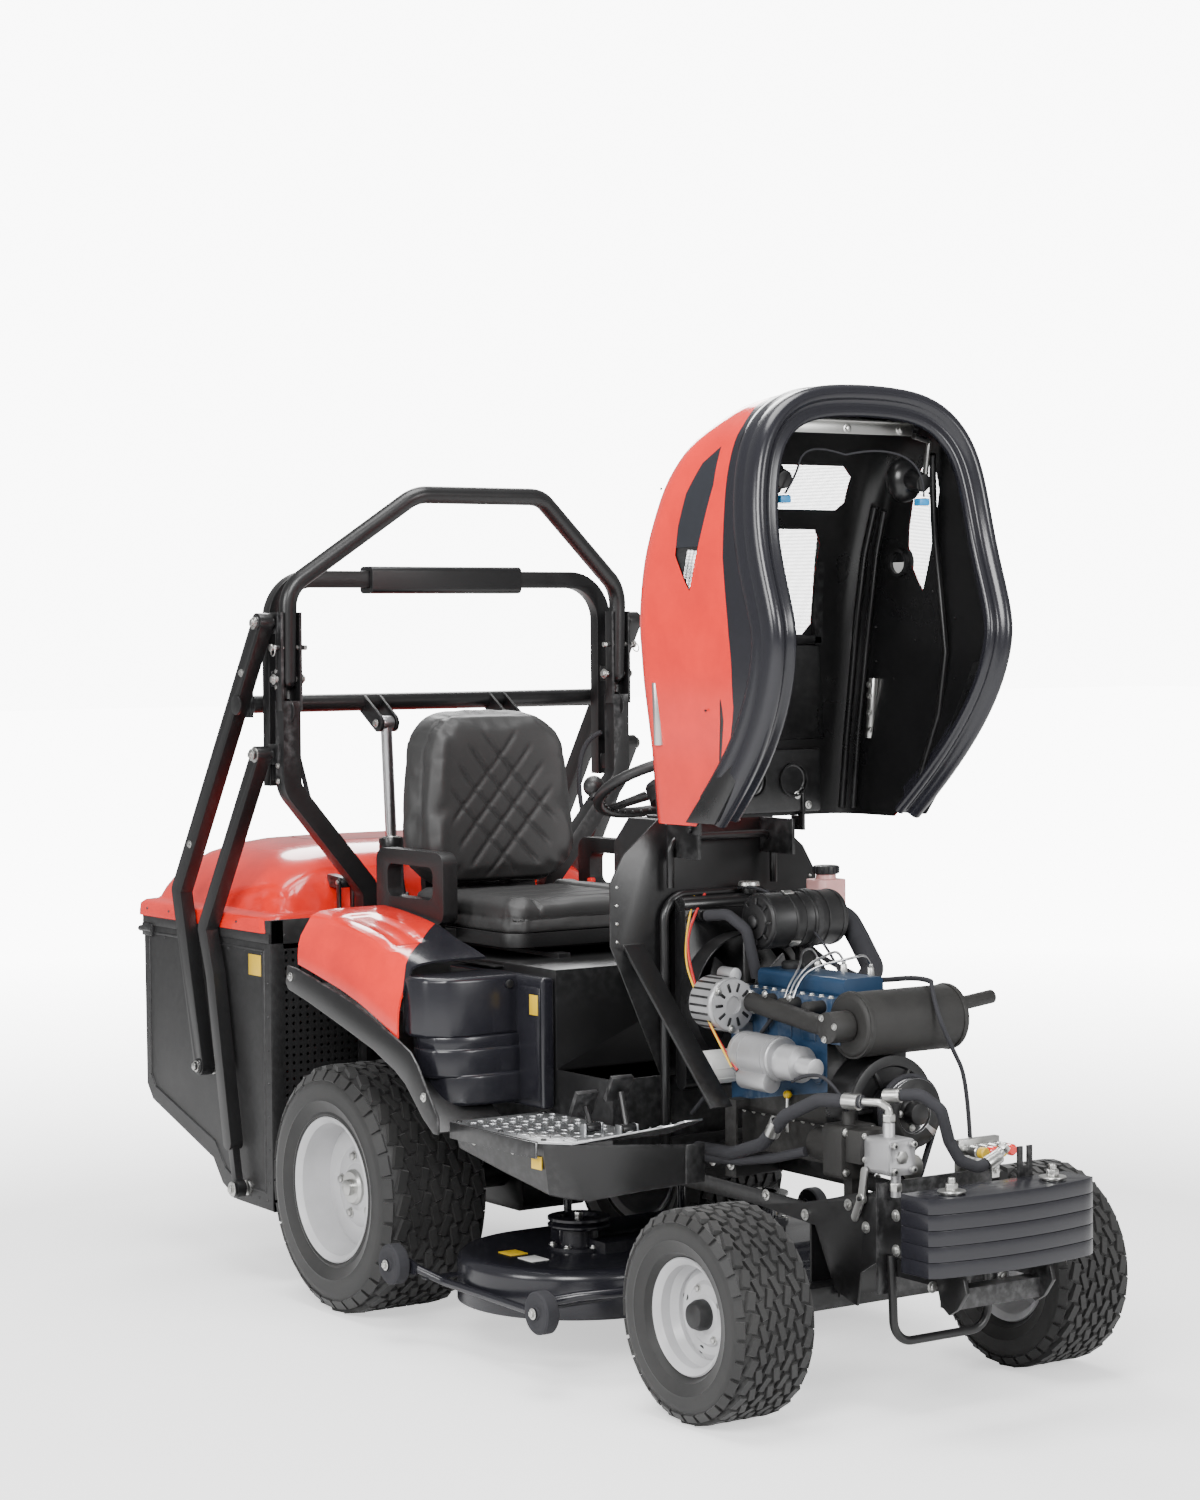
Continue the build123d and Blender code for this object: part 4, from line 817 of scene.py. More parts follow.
    def piece(self, name: str, body: str, *finishes: Finish, replaces: Sequence[str] = (),
              smooth: float = 0.6) -> bpy.types.Object:
        """Turns the shape into a finished object that rides on a body.

        Args:
            name: The piece's name.
            body: The body it rides on.
            *finishes: The finishes by material number.
            replaces: The CAD nodes it stands for.
            smooth: Edges sharper than this, in radians, stay sharp.

        Returns:
            The object.
        """
        bm = self.bm
        bm.transform(Matrix.Translation(Datum.origin) @ Matrix.Diagonal((MM, MM, MM, 1.0)))
        for edge in bm.edges:
            edge.smooth = not (len(edge.link_faces) == 2 and edge.calc_face_angle(0) > smooth)
        for face in bm.faces:
            face.smooth = True
        mesh = bpy.data.meshes.new(name)
        bm.to_mesh(mesh)
        bm.free()
        return place_piece(mesh, name, body, finishes, replaces)


def place_piece(mesh: bpy.types.Mesh, name: str, body: str, finishes: Sequence[Finish],
                replaces: Sequence[str] = ()) -> bpy.types.Object:
    """Makes an object from a mesh and ties it to the frame.

    Args:
        mesh: The finished mesh, in metres.
        name: The piece's name.
        body: The body it rides on.
        finishes: Its finishes in material order.
        replaces: CAD nodes it stands for.

    Returns:
        The object.
    """
    for finish in finishes:
        mesh.materials.append(finish.material())
    thing = bpy.data.objects.new(name, mesh)
    bpy.context.scene.collection.objects.link(thing)
    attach(thing, body)
    if replaces:
        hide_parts(*replaces)
    LOG.info("%s on %s: %d faces", name, body, len(mesh.polygons))
    return thing


def refine(node: str, body: str, finish: Finish, width: float = 1.2, name: Optional[str] = None,
           extra: Sequence[Finish] = (), choose: Optional[Callable[[Vector, Vector], int]] = None,
           segments: int = 2) -> bpy.types.Object:
    """Replaces a CAD node by a merged copy with small rounded edges and smooth curves.

    Args:
        node: The CAD node.
        body: The body it rides on.
        finish: Its main finish.
        width: Width of the rounding in millimetres, 0 for none.
        name: The piece's name; the node's with _piece by default.
        extra: Further finishes.
        choose: Gives the finish number from a face's centre and normal, in datum millimetres.
        segments: Segments in the rounding.

    Returns:
        The new object.
    """
    bm = bmesh.new()
    bm.from_mesh(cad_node(node).data)
    bmesh.ops.remove_doubles(bm, verts=bm.verts, dist=2e-5)
    flat = [e for e in bm.edges if len(e.link_faces) == 2 and e.calc_face_angle(0) < 0.01]
    bmesh.ops.dissolve_edges(bm, edges=flat, use_verts=False, use_face_split=False)
    if width > 0:
        sharp = [e for e in bm.edges if len(e.link_faces) == 2 and e.calc_face_angle(0) > 0.55]
        bmesh.ops.bevel(bm, geom=sharp, offset=width * MM, offset_type="OFFSET", affect="EDGES", segments=segments,
                        profile=0.5, material=-1, clamp_overlap=True)
    if choose:
        for face in bm.faces:
            centre = (face.calc_center_median() - Datum.origin) / MM
            face.material_index = choose(centre, face.normal)
    for edge in bm.edges:
        edge.smooth = not (len(edge.link_faces) == 2 and edge.calc_face_angle(0) > 0.5)
    for face in bm.faces:
        face.smooth = True
    mesh = bpy.data.meshes.new(node + "_mesh")
    bm.to_mesh(mesh)
    bm.free()
    return place_piece(mesh, name or node + "_piece", body, (finish, *extra), (node,))


FRAME: dict = {}


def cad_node(name: str) -> bpy.types.Object:
    """Returns a CAD node's object by name."""
    return FRAME["nodes"][name]


def body_of(node: str) -> str:
    """Finds the body that a CAD node belongs to.

    Args:
        node: The node's name.

    Returns:
        The body's name.
    """
    bodies = FRAME["record"]["behaviour"]["bodies"]
    return next(body for body, nodes in bodies.items() if node in nodes)


def wire(name: str, body: str, points: Sequence[Point], radius: float, finish: Finish) -> bpy.types.Object:
    """Adds a thin wire, cable tie or clip on a smooth spline.

    Args:
        name: The piece's name.
        body: The body it rides on.
        points: Its control points in datum millimetres.
        radius: Its radius in millimetres.
        finish: Its finish.

    Returns:
        The curve object.
    """
    curve = bpy.data.curves.new(name, "CURVE")
    curve.dimensions, curve.bevel_depth, curve.bevel_resolution, curve.use_fill_caps = "3D", radius * MM, 3, True
    spline = curve.splines.new("NURBS")
    spline.points.add(len(points) - 1)
    for slot, point in zip(spline.points, points):
        slot.co = (*Datum.at(point), 1.0)
    spline.order_u = 3
    spline.use_endpoint_u = True
    curve.resolution_u = 8
    curve.materials.append(finish.material())
    thing = bpy.data.objects.new(name, curve)
    bpy.context.scene.collection.objects.link(thing)
    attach(thing, body)
    return thing


# ------------------------------------------------------------------ wheels
@dataclass
class TurfWheel:
    """A turf tyre on a dished silver rim."""

    side: str
    end: str
    station: float
    height: float
    track: float
    radius: float
    width: float
    rim_radius: float
    rim_half: float
    rows: int
    count: int
    block: tuple[float, float, float]

    @property
    def sign(self) -> int:
        """1 on the driver's left, -1 on the right."""
        return 1 if self.side == "left" else -1

    def crown(self, y: float) -> float:
        """Radius of the tread at a distance from the tyre's middle."""
        share = min(1.0, abs(y) / (self.width / 2))
        return self.radius * (1.0 if share < 0.7 else 1.0 - 0.10 * ((share - 0.7) / 0.26) ** 1.7)

    def tyre(self) -> None:
        """Builds the carcass with its ribs and the rows of tread blocks."""
        w, r, deep = self.width / 2, self.radius, self.block[2]
        flange, half = self.rim_radius, self.rim_half
        side = [(flange - 12, half - 13), (flange + 2, half - 5), (flange + 6, half - 1), (flange + 12, w * 0.9),
                (r * 0.70, w * 0.965), (r * 0.72, w * 0.995), (r * 0.75, w * 0.975), (r * 0.82, w * 0.99),
                (r * 0.885, w * 0.95), (r * 0.93 - 1, w * 0.86), (self.crown(w * 0.72) - deep, w * 0.72)]
        profile = [(a, -b) for a, b in side] + side[::-1]
        shape = Shape().lathe(profile, (self.station, self.sign * self.track, self.height), (0, self.sign, 0), 72)
        long, wide, _ = self.block
        span = 2 * w * 0.80
        for row in range(self.rows):
            y = -span / 2 + span * (row + 0.5) / self.rows
            shoulder = row in (0, self.rows - 1)
            for k in range(self.count):
                turn = math.tau * (k + 0.5 * (row % 2)) / self.count
                self.knob(shape, y, turn, long, wide * (1.25 if shoulder else 1.0), 0.3 if row % 2 else -0.3)
        for k in range(self.count):
            for edge in (-1, 1):
                self.lug(shape, edge, math.tau * (k + 0.25) / self.count)
        shape.piece(f"{self.end}_tyre_{self.side}_turf", body_of(f"{self.end}_tyre_{self.side}"), TYRE,
                    replaces=[f"{self.end}_tyre_{self.side}"], smooth=0.7)

    def knob(self, shape: Shape, y: float, turn: float, long: float, wide: float, skew: float) -> None:
        """Adds one tread block with a slightly smaller top.

        Args:
            shape: The tyre's shape.
            y: Its place across the tread.
            turn: Its place round the tyre.
            long: Length round the tyre.
            wide: Width across the tread.
            skew: Turn of the block on the tread.
        """
        top, deep = self.crown(y) - 0.4, self.block[2] + 3
        lean = math.asin(max(-1, min(1, (self.crown(abs(y) + 4) - self.crown(abs(y) - 4)) / -8))) * (1 if y > 0 else -1)
        spot = (Matrix.Translation((self.station, self.sign * self.track, self.height)) @ Matrix.Rotation(turn, 4, "Y")
                @ Matrix.Translation((0, y, top - deep / 2)) @ Matrix.Rotation(-lean, 4, "X") @ Matrix.Rotation(skew, 4, "Z"))
        made = bmesh.ops.create_cube(shape.bm, size=1.0, matrix=spot @ Matrix.Diagonal((long, wide, deep, 1.0)))
        upper = [v for v in made["verts"] if (spot.inverted() @ v.co).z > 0]
        centre = sum((v.co for v in upper), Vector()) / 4
        for vert in upper:
            vert.co = centre + (vert.co - centre) * 0.84

    def lug(self, shape: Shape, edge: int, turn: float) -> None:
        """Adds one shoulder lug that runs down the side wall.

        Args:
            shape: The tyre's shape.
            edge: Which side of the tyre.
            turn: Its place round the tyre.
        """
        w, r = self.width / 2, self.radius
        spot = (Matrix.Translation((self.station, self.sign * self.track, self.height)) @ Matrix.Rotation(turn, 4, "Y")
                @ Matrix.Translation((0, edge * w * 0.905, r * 0.915)) @ Matrix.Rotation(-edge * 0.95, 4, "X"))
        bmesh.ops.create_cube(shape.bm, size=1.0, matrix=spot @ Matrix.Diagonal((self.block[0] * 0.8, r * 0.085, 9, 1.0)))

    def rim(self) -> None:
        """Builds the stepped rim, its dish, bolts, valve and hub."""
        f, h, s = self.rim_radius, self.rim_half, self.sign
        base, out = (self.station, s * self.track, self.height), (0, s, 0)
        front = self.end == "front"
        dish = h * (0.2 if front else 0.34)
        profile = [(f - 3, h - 1), (f, h - 4), (f - 2, h - 8), (f - 12, h - 10), (f - 13, h * 0.62), (f - 24, h * 0.45),
                   (f - 24, -h * 0.45), (f - 13, -h * 0.62), (f - 12, -h + 10), (f - 1, -h + 6), (f - 3, -h + 1),
                   (f - 9, -h + 4), (f - 18, -h + 12), (f - 29, -h * 0.42), (f - 29, h * 0.36), (f - 18, h * 0.56),
                   (f - 17, h - 14), (f - 9, h - 5)]
        shape = Shape().lathe(profile, base, out, 72)
        hub = 34 if front else 50
        face = [(f - 28, dish + 4), (f - 40, dish + 9), (f * 0.56, dish + 6), (f * 0.5, dish + 12), (hub + 8, dish + 13),
                (hub, dish + 18), (hub * 0.6, dish + 20), (hub * 0.6, dish - 4), (f * 0.5, dish + 2), (f * 0.57, dish - 3),
                (f - 40, dish - 1), (f - 28, dish - 5)]
        shape.lathe(face, base, out, 72)
        middle = Vector(base)
        for k in range(4 if front else 5):
            turn = math.tau * k / (4 if front else 5) + 0.5
            spread = f * (0.46 if front else 0.42)
            spot = middle + Vector((spread * math.cos(turn), s * (dish + 12), spread * math.sin(turn)))
            shape.bolt(tuple(spot), out, 7 if front else 10, 1.35, slot=1)
            if front:
                slot_spot = middle + Vector((f * 0.66 * math.cos(turn + 0.78), s * (dish + 6.5), f * 0.66 * math.sin(turn + 0.78)))
                shape.rod(tuple(slot_spot), tuple(slot_spot + Vector((0, s * 1.2, 0))), 9, sides=20, slot=2)
        valve = middle + Vector((f * 0.68, s * (dish + 4), 0))
        shape.rod(tuple(valve), tuple(valve + Vector((3, s * 26, 0))), 4, 3, 10, slot=2)
        if front:
            cap = [(0, dish + 14), (33, dish + 14), (33, h * 0.2 + 34), (27, h * 0.2 + 47), (12, h * 0.2 + 53), (0, h * 0.2 + 54)]
            shape.lathe(cap, base, out, 40, slot=2)
        else:
            shape.lathe([(0, -h * 0.2), (44, -h * 0.2), (44, dish + 26), (38, dish + 32), (20, dish + 33), (20, dish + 45),
                         (14, dish + 47), (0, dish + 47)], base, out, 40, slot=1)
        shape.piece(f"{self.end}_rim_{self.side}_dish", body_of(f"{self.end}_rim_{self.side}"), SILVER, ZINC, PLASTIC,
                    replaces=[f"{self.end}_rim_{self.side}"], smooth=0.5)


# ------------------------------------------------------------------ bonnet
def smooth_rows(rows: Sequence[Sequence[float]], steps: int) -> list[list[float]]:
    """Puts rounded rows between given ones.

    Args:
        rows: Rows of numbers.
        steps: New rows per gap.

    Returns:
        The finer rows.
    """
    fine = []
    for i in range(len(rows) - 1):
        a, b, c, d = (rows[max(0, min(len(rows) - 1, i + k))] for k in (-1, 0, 1, 2))
        for k in range(steps):
            t = k / steps
            fine.append([0.5 * (2 * q + (r - p) * t + (2 * p - 5 * q + 4 * r - s) * t * t + (3 * q - p - 3 * r + s) * t ** 3)
                         for p, q, r, s in zip(a, b, c, d)])
    return fine + [list(rows[-1])]


@dataclass
class Bonnet:
    """The red bonnet, stored upright, with its black rim, liner, windows and stays."""

    rows: tuple[tuple[float, float, float, float], ...] = (
        (1242, 925, 285, 1205), (1320, 925, 292, 1295), (1400, 925, 300, 1365), (1480, 925, 311, 1425),
        (1560, 925, 322, 1462), (1640, 925, 329, 1478), (1680, 925, 332, 1480), (1740, 931, 334, 1466),
        (1830, 948, 334, 1425), (1910, 975, 330, 1410), (1990, 1010, 322, 1402), (2050, 1048, 308, 1396),
        (2095, 1090, 290, 1392), (2135, 1138, 258, 1386), (2165, 1180, 225, 1382), (2186, 1222, 175, 1379),
        (2200, 1255, 130, 1376))
    wall: float = 4.0
    band: float = 92.0
    ring: tuple[float, float, float] = (1085, 1829, 30)
    fine: list[list[float]] = field(default_factory=list)

    def __post_init__(self) -> None:
        """Smooths the section rows."""
        self.fine = smooth_rows(self.rows, 3)

    @staticmethod
    def section(row: Sequence[float], cut: float, inset: float = 0.0, corner: int = 9, wall: int = 12) -> list[Point]:
        """Points of one level section, from the right rim round the roof to the left rim.

        Args:
            row: Height, back, half width and front rim.
            cut: How far the section stops short of the rim.
            inset: How far it lies inside the outer skin.
            corner: Points in each rounded corner.
            wall: Points along each side wall.

        Returns:
            The points.
        """
        z, back, half, front = row
        back, half = back + inset, half - inset
        r = min(70.0, half * 0.4)
        stop = front - cut
        side = [(stop + (back + r - stop) * k / wall, -half) for k in range(wall)]
        arc = [(back + r - r * math.sin(a), -half + r - r * math.cos(a)) for a in (math.pi / 2 * k / corner for k in range(corner + 1))]
        roof = [(back, (-half + r) * (1 - 2 * k / wall)) for k in range(1, wall)]
        left = [(x, -y) for x, y in (side + arc)[::-1]]
        return [(x, y, z) for x, y in side + arc + roof + left]

    def windows(self) -> list[tuple[str, list[Flat]]]:
        """Outlines of the screened windows, each with the wall it is in."""
        side = [(1227, 1706), (1238, 1722), (1240, 1990), (1262, 2058), (1240, 2074), (1186, 2040), (1142, 1975), (1120, 1905),
                (1113, 1840), (1150, 1780), (1212, 1708)]
        roof = [(-165, 1664), (165, 1664), (190, 1690), (190, 1875), (165, 1908), (-165, 1908), (-190, 1875), (-190, 1690)]
        nose = [(-212, 1952), (212, 1952), (232, 1970), (226, 2028), (190, 2052), (-190, 2052), (-226, 2028), (-232, 1970)]
        return [("side", side), ("roof", roof), ("nose", nose)]

    def carve(self, shape: Shape, screen: int) -> None:
        """Cuts the window outlines into a skin and gives the faces inside them to the screen.

        Args:
            shape: The skin's shape.
            screen: Material number of the screen.
        """
        for where, outline in self.windows():
            axis = 1 if where == "side" else 0
            for mirror in ((1, -1) if where == "side" else (1,)):
                def flat(point: Vector) -> Flat:
                    """The point seen square on to the window's wall."""
                    return (point.x, point.z) if where == "side" else (point.y, point.z)

                def near(face: bmesh.types.BMFace) -> bool:
                    """Whether a face lies in the wall around the window."""
                    c = face.calc_center_median()
                    u, v = flat(c)
                    inside = min(p[0] for p in outline) - 30 < u < max(p[0] for p in outline) + 30
                    tall = min(p[1] for p in outline) - 30 < v < max(p[1] for p in outline) + 30
                    wall_side = c.y * mirror > 150 if where == "side" else c.x < 1180 and abs(c.y) < 262
                    return inside and tall and wall_side

                for (ua, va), (ub, vb) in zip(outline, outline[1:] + outline[:1]):
                    faces = [f for f in shape.bm.faces if near(f)]
                    geom = faces + list({e for f in faces for e in f.edges}) + list({v for f in faces for v in f.verts})
                    spot = Vector((ua, 0, va)) if axis else Vector((0, ua, va))
                    normal = Vector((vb - va, 0, ua - ub)) if axis else Vector((0, vb - va, ua - ub))
                    bmesh.ops.bisect_plane(shape.bm, geom=geom, plane_co=spot, plane_no=normal, dist=0.001)
                for face in shape.bm.faces:
                    if near(face) and inside_outline(flat(face.calc_center_median()), outline):
                        face.material_index = screen

    def seam(self, z: float) -> float:
        """Station where the red skin meets the black border at a height."""
        line = ((1236, 1150), (1300, 1200), (1400, 1258), (1500, 1296), (1600, 1306), (1700, 1302), (1830, 1288), (1990, 1286),
                (2110, 1284), (2204, 1270))
        for (za, xa), (zb, xb) in zip(line, line[1:]):
            if za <= z <= zb:
                return xa + (xb - xa) * (z - za) / (zb - za)
        return line[-1][1]

    def skin(self) -> None:
        """Builds the red outer skin, with a dark pane of painted shade in the near-side window, and the black inner
        liner.
        """
        cut = self.band - 4
        outer = Shape().loft([self.section(row, cut, wall=26) for row in self.fine], closed=False, wall=0)
        self.carve(outer, 1)
        # Window faces are cut away to leave the screen. The near side's upper window faces, above 1862, stay as a dark
        # glossy pane: painted shade for the shaded inside seen through the screen.
        open_faces = []
        for face in outer.bm.faces:
            c = face.calc_center_median()
            if face.material_index == 1:
                if not (c.y < -150 and c.z > 1862):
                    open_faces.append(face)
        bmesh.ops.delete(outer.bm, geom=open_faces, context="FACES")
        outer.split(lambda p: p.x - self.seam(p.z), 2, lambda c: abs(c.y) > 20)
        outer.piece("bonnet_skin_outer", "bonnet", RED, SHADE_PANE, GLOSS_BLACK, replaces=["bonnet_shell"])
        inner = Shape().loft([self.section(row, cut, self.wall) for row in self.fine], closed=False)
        bmesh.ops.reverse_faces(inner.bm, faces=inner.bm.faces)
        self.carve(inner, 1)
        x, z, r = self.ring
        inner.lathe([(r - 5, -7), (r + 9, -7), (r + 9, 0), (r + 3, 3), (r + 3, 12), (r - 5, 12)], (x, 333, z), (0, -1, 0), 40)
        inner.lathe([(0, 0), (r - 3, 0), (r - 3, 1), (0, 1)], (x, 331, z), (0, -1, 0), 32, slot=2)
        inner.piece("bonnet_skin_inner", "bonnet", LINER_BLACK, SCREEN, WHITE)

    def rim_path(self) -> list[tuple[Vector, Vector, Vector]]:
        """Centre points of the rim with the outward and backward directions at each."""
        right = [Vector((front, -half, z)) for z, _, half, front in self.fine]
        z, _, half, front = self.fine[-1]
        top = [Vector((front - 2, -half + 2 * half * k / 8, z + 4 * math.sin(math.pi * k / 8))) for k in range(1, 8)]
        line = right + top + [Vector((p.x, -p.y, p.z)) for p in right[::-1]]
        for _ in range(14):
            line = [line[0]] + [(a + b * 2 + c) / 4 for a, b, c in zip(line, line[1:], line[2:])] + [line[-1]]
        line = [a.lerp(b, t) for a, b in zip(line, line[1:]) for t in (0.0, 0.5)] + [line[-1]]
        out = []
        for i, here in enumerate(line):
            ahead = (line[min(i + 1, len(line) - 1)] - line[max(i - 1, 0)]).normalized()
            back = Vector((-1, 0, 0))
            back = (back - ahead * back.dot(ahead)).normalized()
            outward = ahead.cross(back)
            if outward.dot(Vector((0, here.y, max(0.0, here.z - 2000) * 0.8))) < 0:
                outward = -outward
            out.append((here, outward, back))
        return out

    def rim(self) -> None:
        """Builds the thick rolled rim band round the bonnet's open side."""
        profile = [(self.band, 1), (self.band - 8, 6), (self.band - 20, 8.5), (62, 8), (52, 5), (46, 7), (22, 8.5), (8, 6),
                   (1, 0), (-2, -9), (0, -18), (7, -24), (14, -30), (14, -40), (8, -48), (10, -58), (18, -63), (27, -60),
                   (30, -50), (26, -38), (28, -24), (34, -12), (48, -7), (60, -12), (70, -12), (82, -5), (self.band, -4)]
        rings = []
        for here, outward, back in self.rim_path():
            rings.append([tuple(here + back * b + outward * a) for b, a in profile])
        shape = Shape().loft(rings, caps=True)
        shape.piece("bonnet_rim_band", "bonnet", GLOSS_BLACK, replaces=["bonnet_liner"], smooth=0.9)

    def inside(self) -> None:
        """Adds the liner's ribs, rivets, lower panel, hinge straps, stay rods and lamp backs."""
        shape = Shape()
        back = 929
        shape.prism([(-205, 1250), (205, 1250), (205, 1398), (-205, 1398)], back, back + 16, "x", 6)
        for y in (-120, 0, 120):
            shape.lathe([(0, 0), (30, 0), (34, 2), (36, 8), (40, 8), (40, -2), (0, -2)], (back + 15.5, y, 1326), (1, 0, 0), 32)
        shape.prism([(-222, 1420), (222, 1420), (206, 1640), (-206, 1640)], back, back + 9, "x", 4)
        for y0, y1, z0, z1 in ((-214, 214, 1640, 1662), (-214, 214, 1910, 1936), (-214, -192, 1640, 1936), (192, 214, 1640, 1936)):
            lift = lambda p: Vector((p.x + max(0.0, p.z - 1690) ** 2 * 0.00052, p.y, p.z))
            shape.box((back, y0, z0), (back + 13, y1, z1), 4) if z1 < 1700 else shape.loft(
                [[tuple(lift(Vector((back + d, y, z)))) for d, y in ((0, y0), (13, y0), (13, y1), (0, y1))]
                 for z in [z0 + (z1 - z0) * k / 6 for k in range(7)]], caps=True)
        dots = [(back + 12, y, z) for y in (-203, 203) for z in range(1670, 1760, 30)]
        dots += [(back + 11, y, 1651) for y in range(-180, 181, 45)] + [(back + 8, y, 1436) for y in range(-190, 191, 76)]
        shape.rivets(dots, (1, 0, 0), 3.2)
        for side in (-1, 1):
            wall = [(x, side * 318, z) for x, z in ((1010, 1600), (1010, 1680), (1075, 1560), (1150, 1650), (1215, 1760), (1215, 1840),
                    (1215, 1920), (1205, 1985), (1040, 1990), (1100, 1999), (1150, 1999), (1290, 1700), (1290, 1560), (1200, 1500))]
            shape.rivets(wall, (0, -side, 0), 3.2)
            shape.tube([(950, side * 262, 1256), (952, side * 276, 1420), (954, side * 296, 1600), (958, side * 304, 1700),
                        (984, side * 306, 1850), (1030, side * 300, 1960)], 9)
            shape.tube([(984, side * 268, 1256), (986, side * 282, 1420), (988, side * 304, 1600), (992, side * 314, 1700),
                        (1016, side * 316, 1850), (1060, side * 304, 1950)], 7)
            shape.prism([(1100, 1250), (1210, 1250), (1350, 1420), (1420, 1560), (1424, 1600), (1380, 1600), (1290, 1440), (1150, 1300)],
                        side * 296, side * 304, "y", 3)
            shape.tube([(1210, side * 282, 1330), (1250, side * 306, 1480), (1262, side * 317, 1620), (1240, side * 320, 1760),
                        (1225, side * 318, 1880), (1232, side * 306, 1990), (1262, side * 280, 2070)], 8)
        shape.piece("bonnet_inner_ribs", "bonnet", LINER_BLACK)
        self.fittings()

    def fittings(self) -> None:
        """Adds the hinge straps, the bolted nose bar, stay rods and lamp backs."""
        shape = Shape()
        strap = [(903, 1207), (949, 1207), (949, 1310), (930, 1310), (930, 1241), (903, 1241)]
        for side in (-1, 1):
            shape.prism(strap, side * 150 - 4, side * 150 + 4, "y", 1.5)
            shape.bolt((945, side * 150 - 16, 1290), (1, 0, 0), 6, slot=1)
            shape.bolt((945, side * 150 + 16, 1266), (1, 0, 0), 6, slot=1)
            shape.tube([(1290, side * 200, 2108), (1270, side * 262, 2098), (1250, side * 270, 2040), (1240, side * 272, 1990)], 7, slot=1)
            body = (1262, side * 196, 2010)
            shape.ball(body, 46, (0.75, 1.0, 1.1), slot=0, sides=20)
            shape.rod((1290, side * 196, 2010), (1330, side * 196, 2000), 26, 20, slot=0)
            shape.box((1312, side * 196 - 15, 1950), (1334, side * 196 + 15, 1966), 3, slot=2)
            shape.rod((1005, side * 303, 1420), (1010, side * 312, 1560), 12, slot=1)
            for z in (1440, 1480, 1520, 1545):
                shape.bolt((1012, side * 296, z), (0.3, -side, 0), 5, slot=1)
        shape.box((1296, -190, 2106), (1302, 190, 2134), 2, slot=1)
        shape.box((1286, -196, 2132), (1310, 196, 2138), 2, slot=1)
        for y in (-150, 0, 150):
            shape.bolt((1302, y, 2118), (1, 0, 0), 7, slot=1)
        shape.tube([(1290, y, 2152 - 0.0006 * y * y) for y in range(-210, 211, 30)], 9, slot=0)
        shape.piece("bonnet_fittings", "bonnet", LINER_BLACK, ZINC, CONNECTOR)
        for side in (-1, 1):
            wire(f"bonnet_lamp_lead_{'left' if side > 0 else 'right'}", "bonnet",
                 [(1330, side * 196, 1970), (1350, side * 180, 2010), (1330, side * 150, 2060), (1300, side * 70, 2075),
                  (1296, 0, 2060)], 2.4, HOSE)

    def build(self) -> None:
        """Builds the whole bonnet."""
        self.skin()
        self.rim()
        self.inside()
        refine("bonnet_latch", "latch", ZINC, 0.8)


def inside_outline(point: Flat, outline: Sequence[Flat]) -> bool:
    """Whether a point lies in a convex outline.

    Args:
        point: The point.
        outline: Its corners in order.

    Returns:
        True if it is inside.
    """
    turns = [(bx - ax) * (point[1] - ay) - (by - ay) * (point[0] - ax)
             for (ax, ay), (bx, by) in zip(outline, list(outline[1:]) + [outline[0]])]
    return all(t > 0 for t in turns) or all(t < 0 for t in turns)


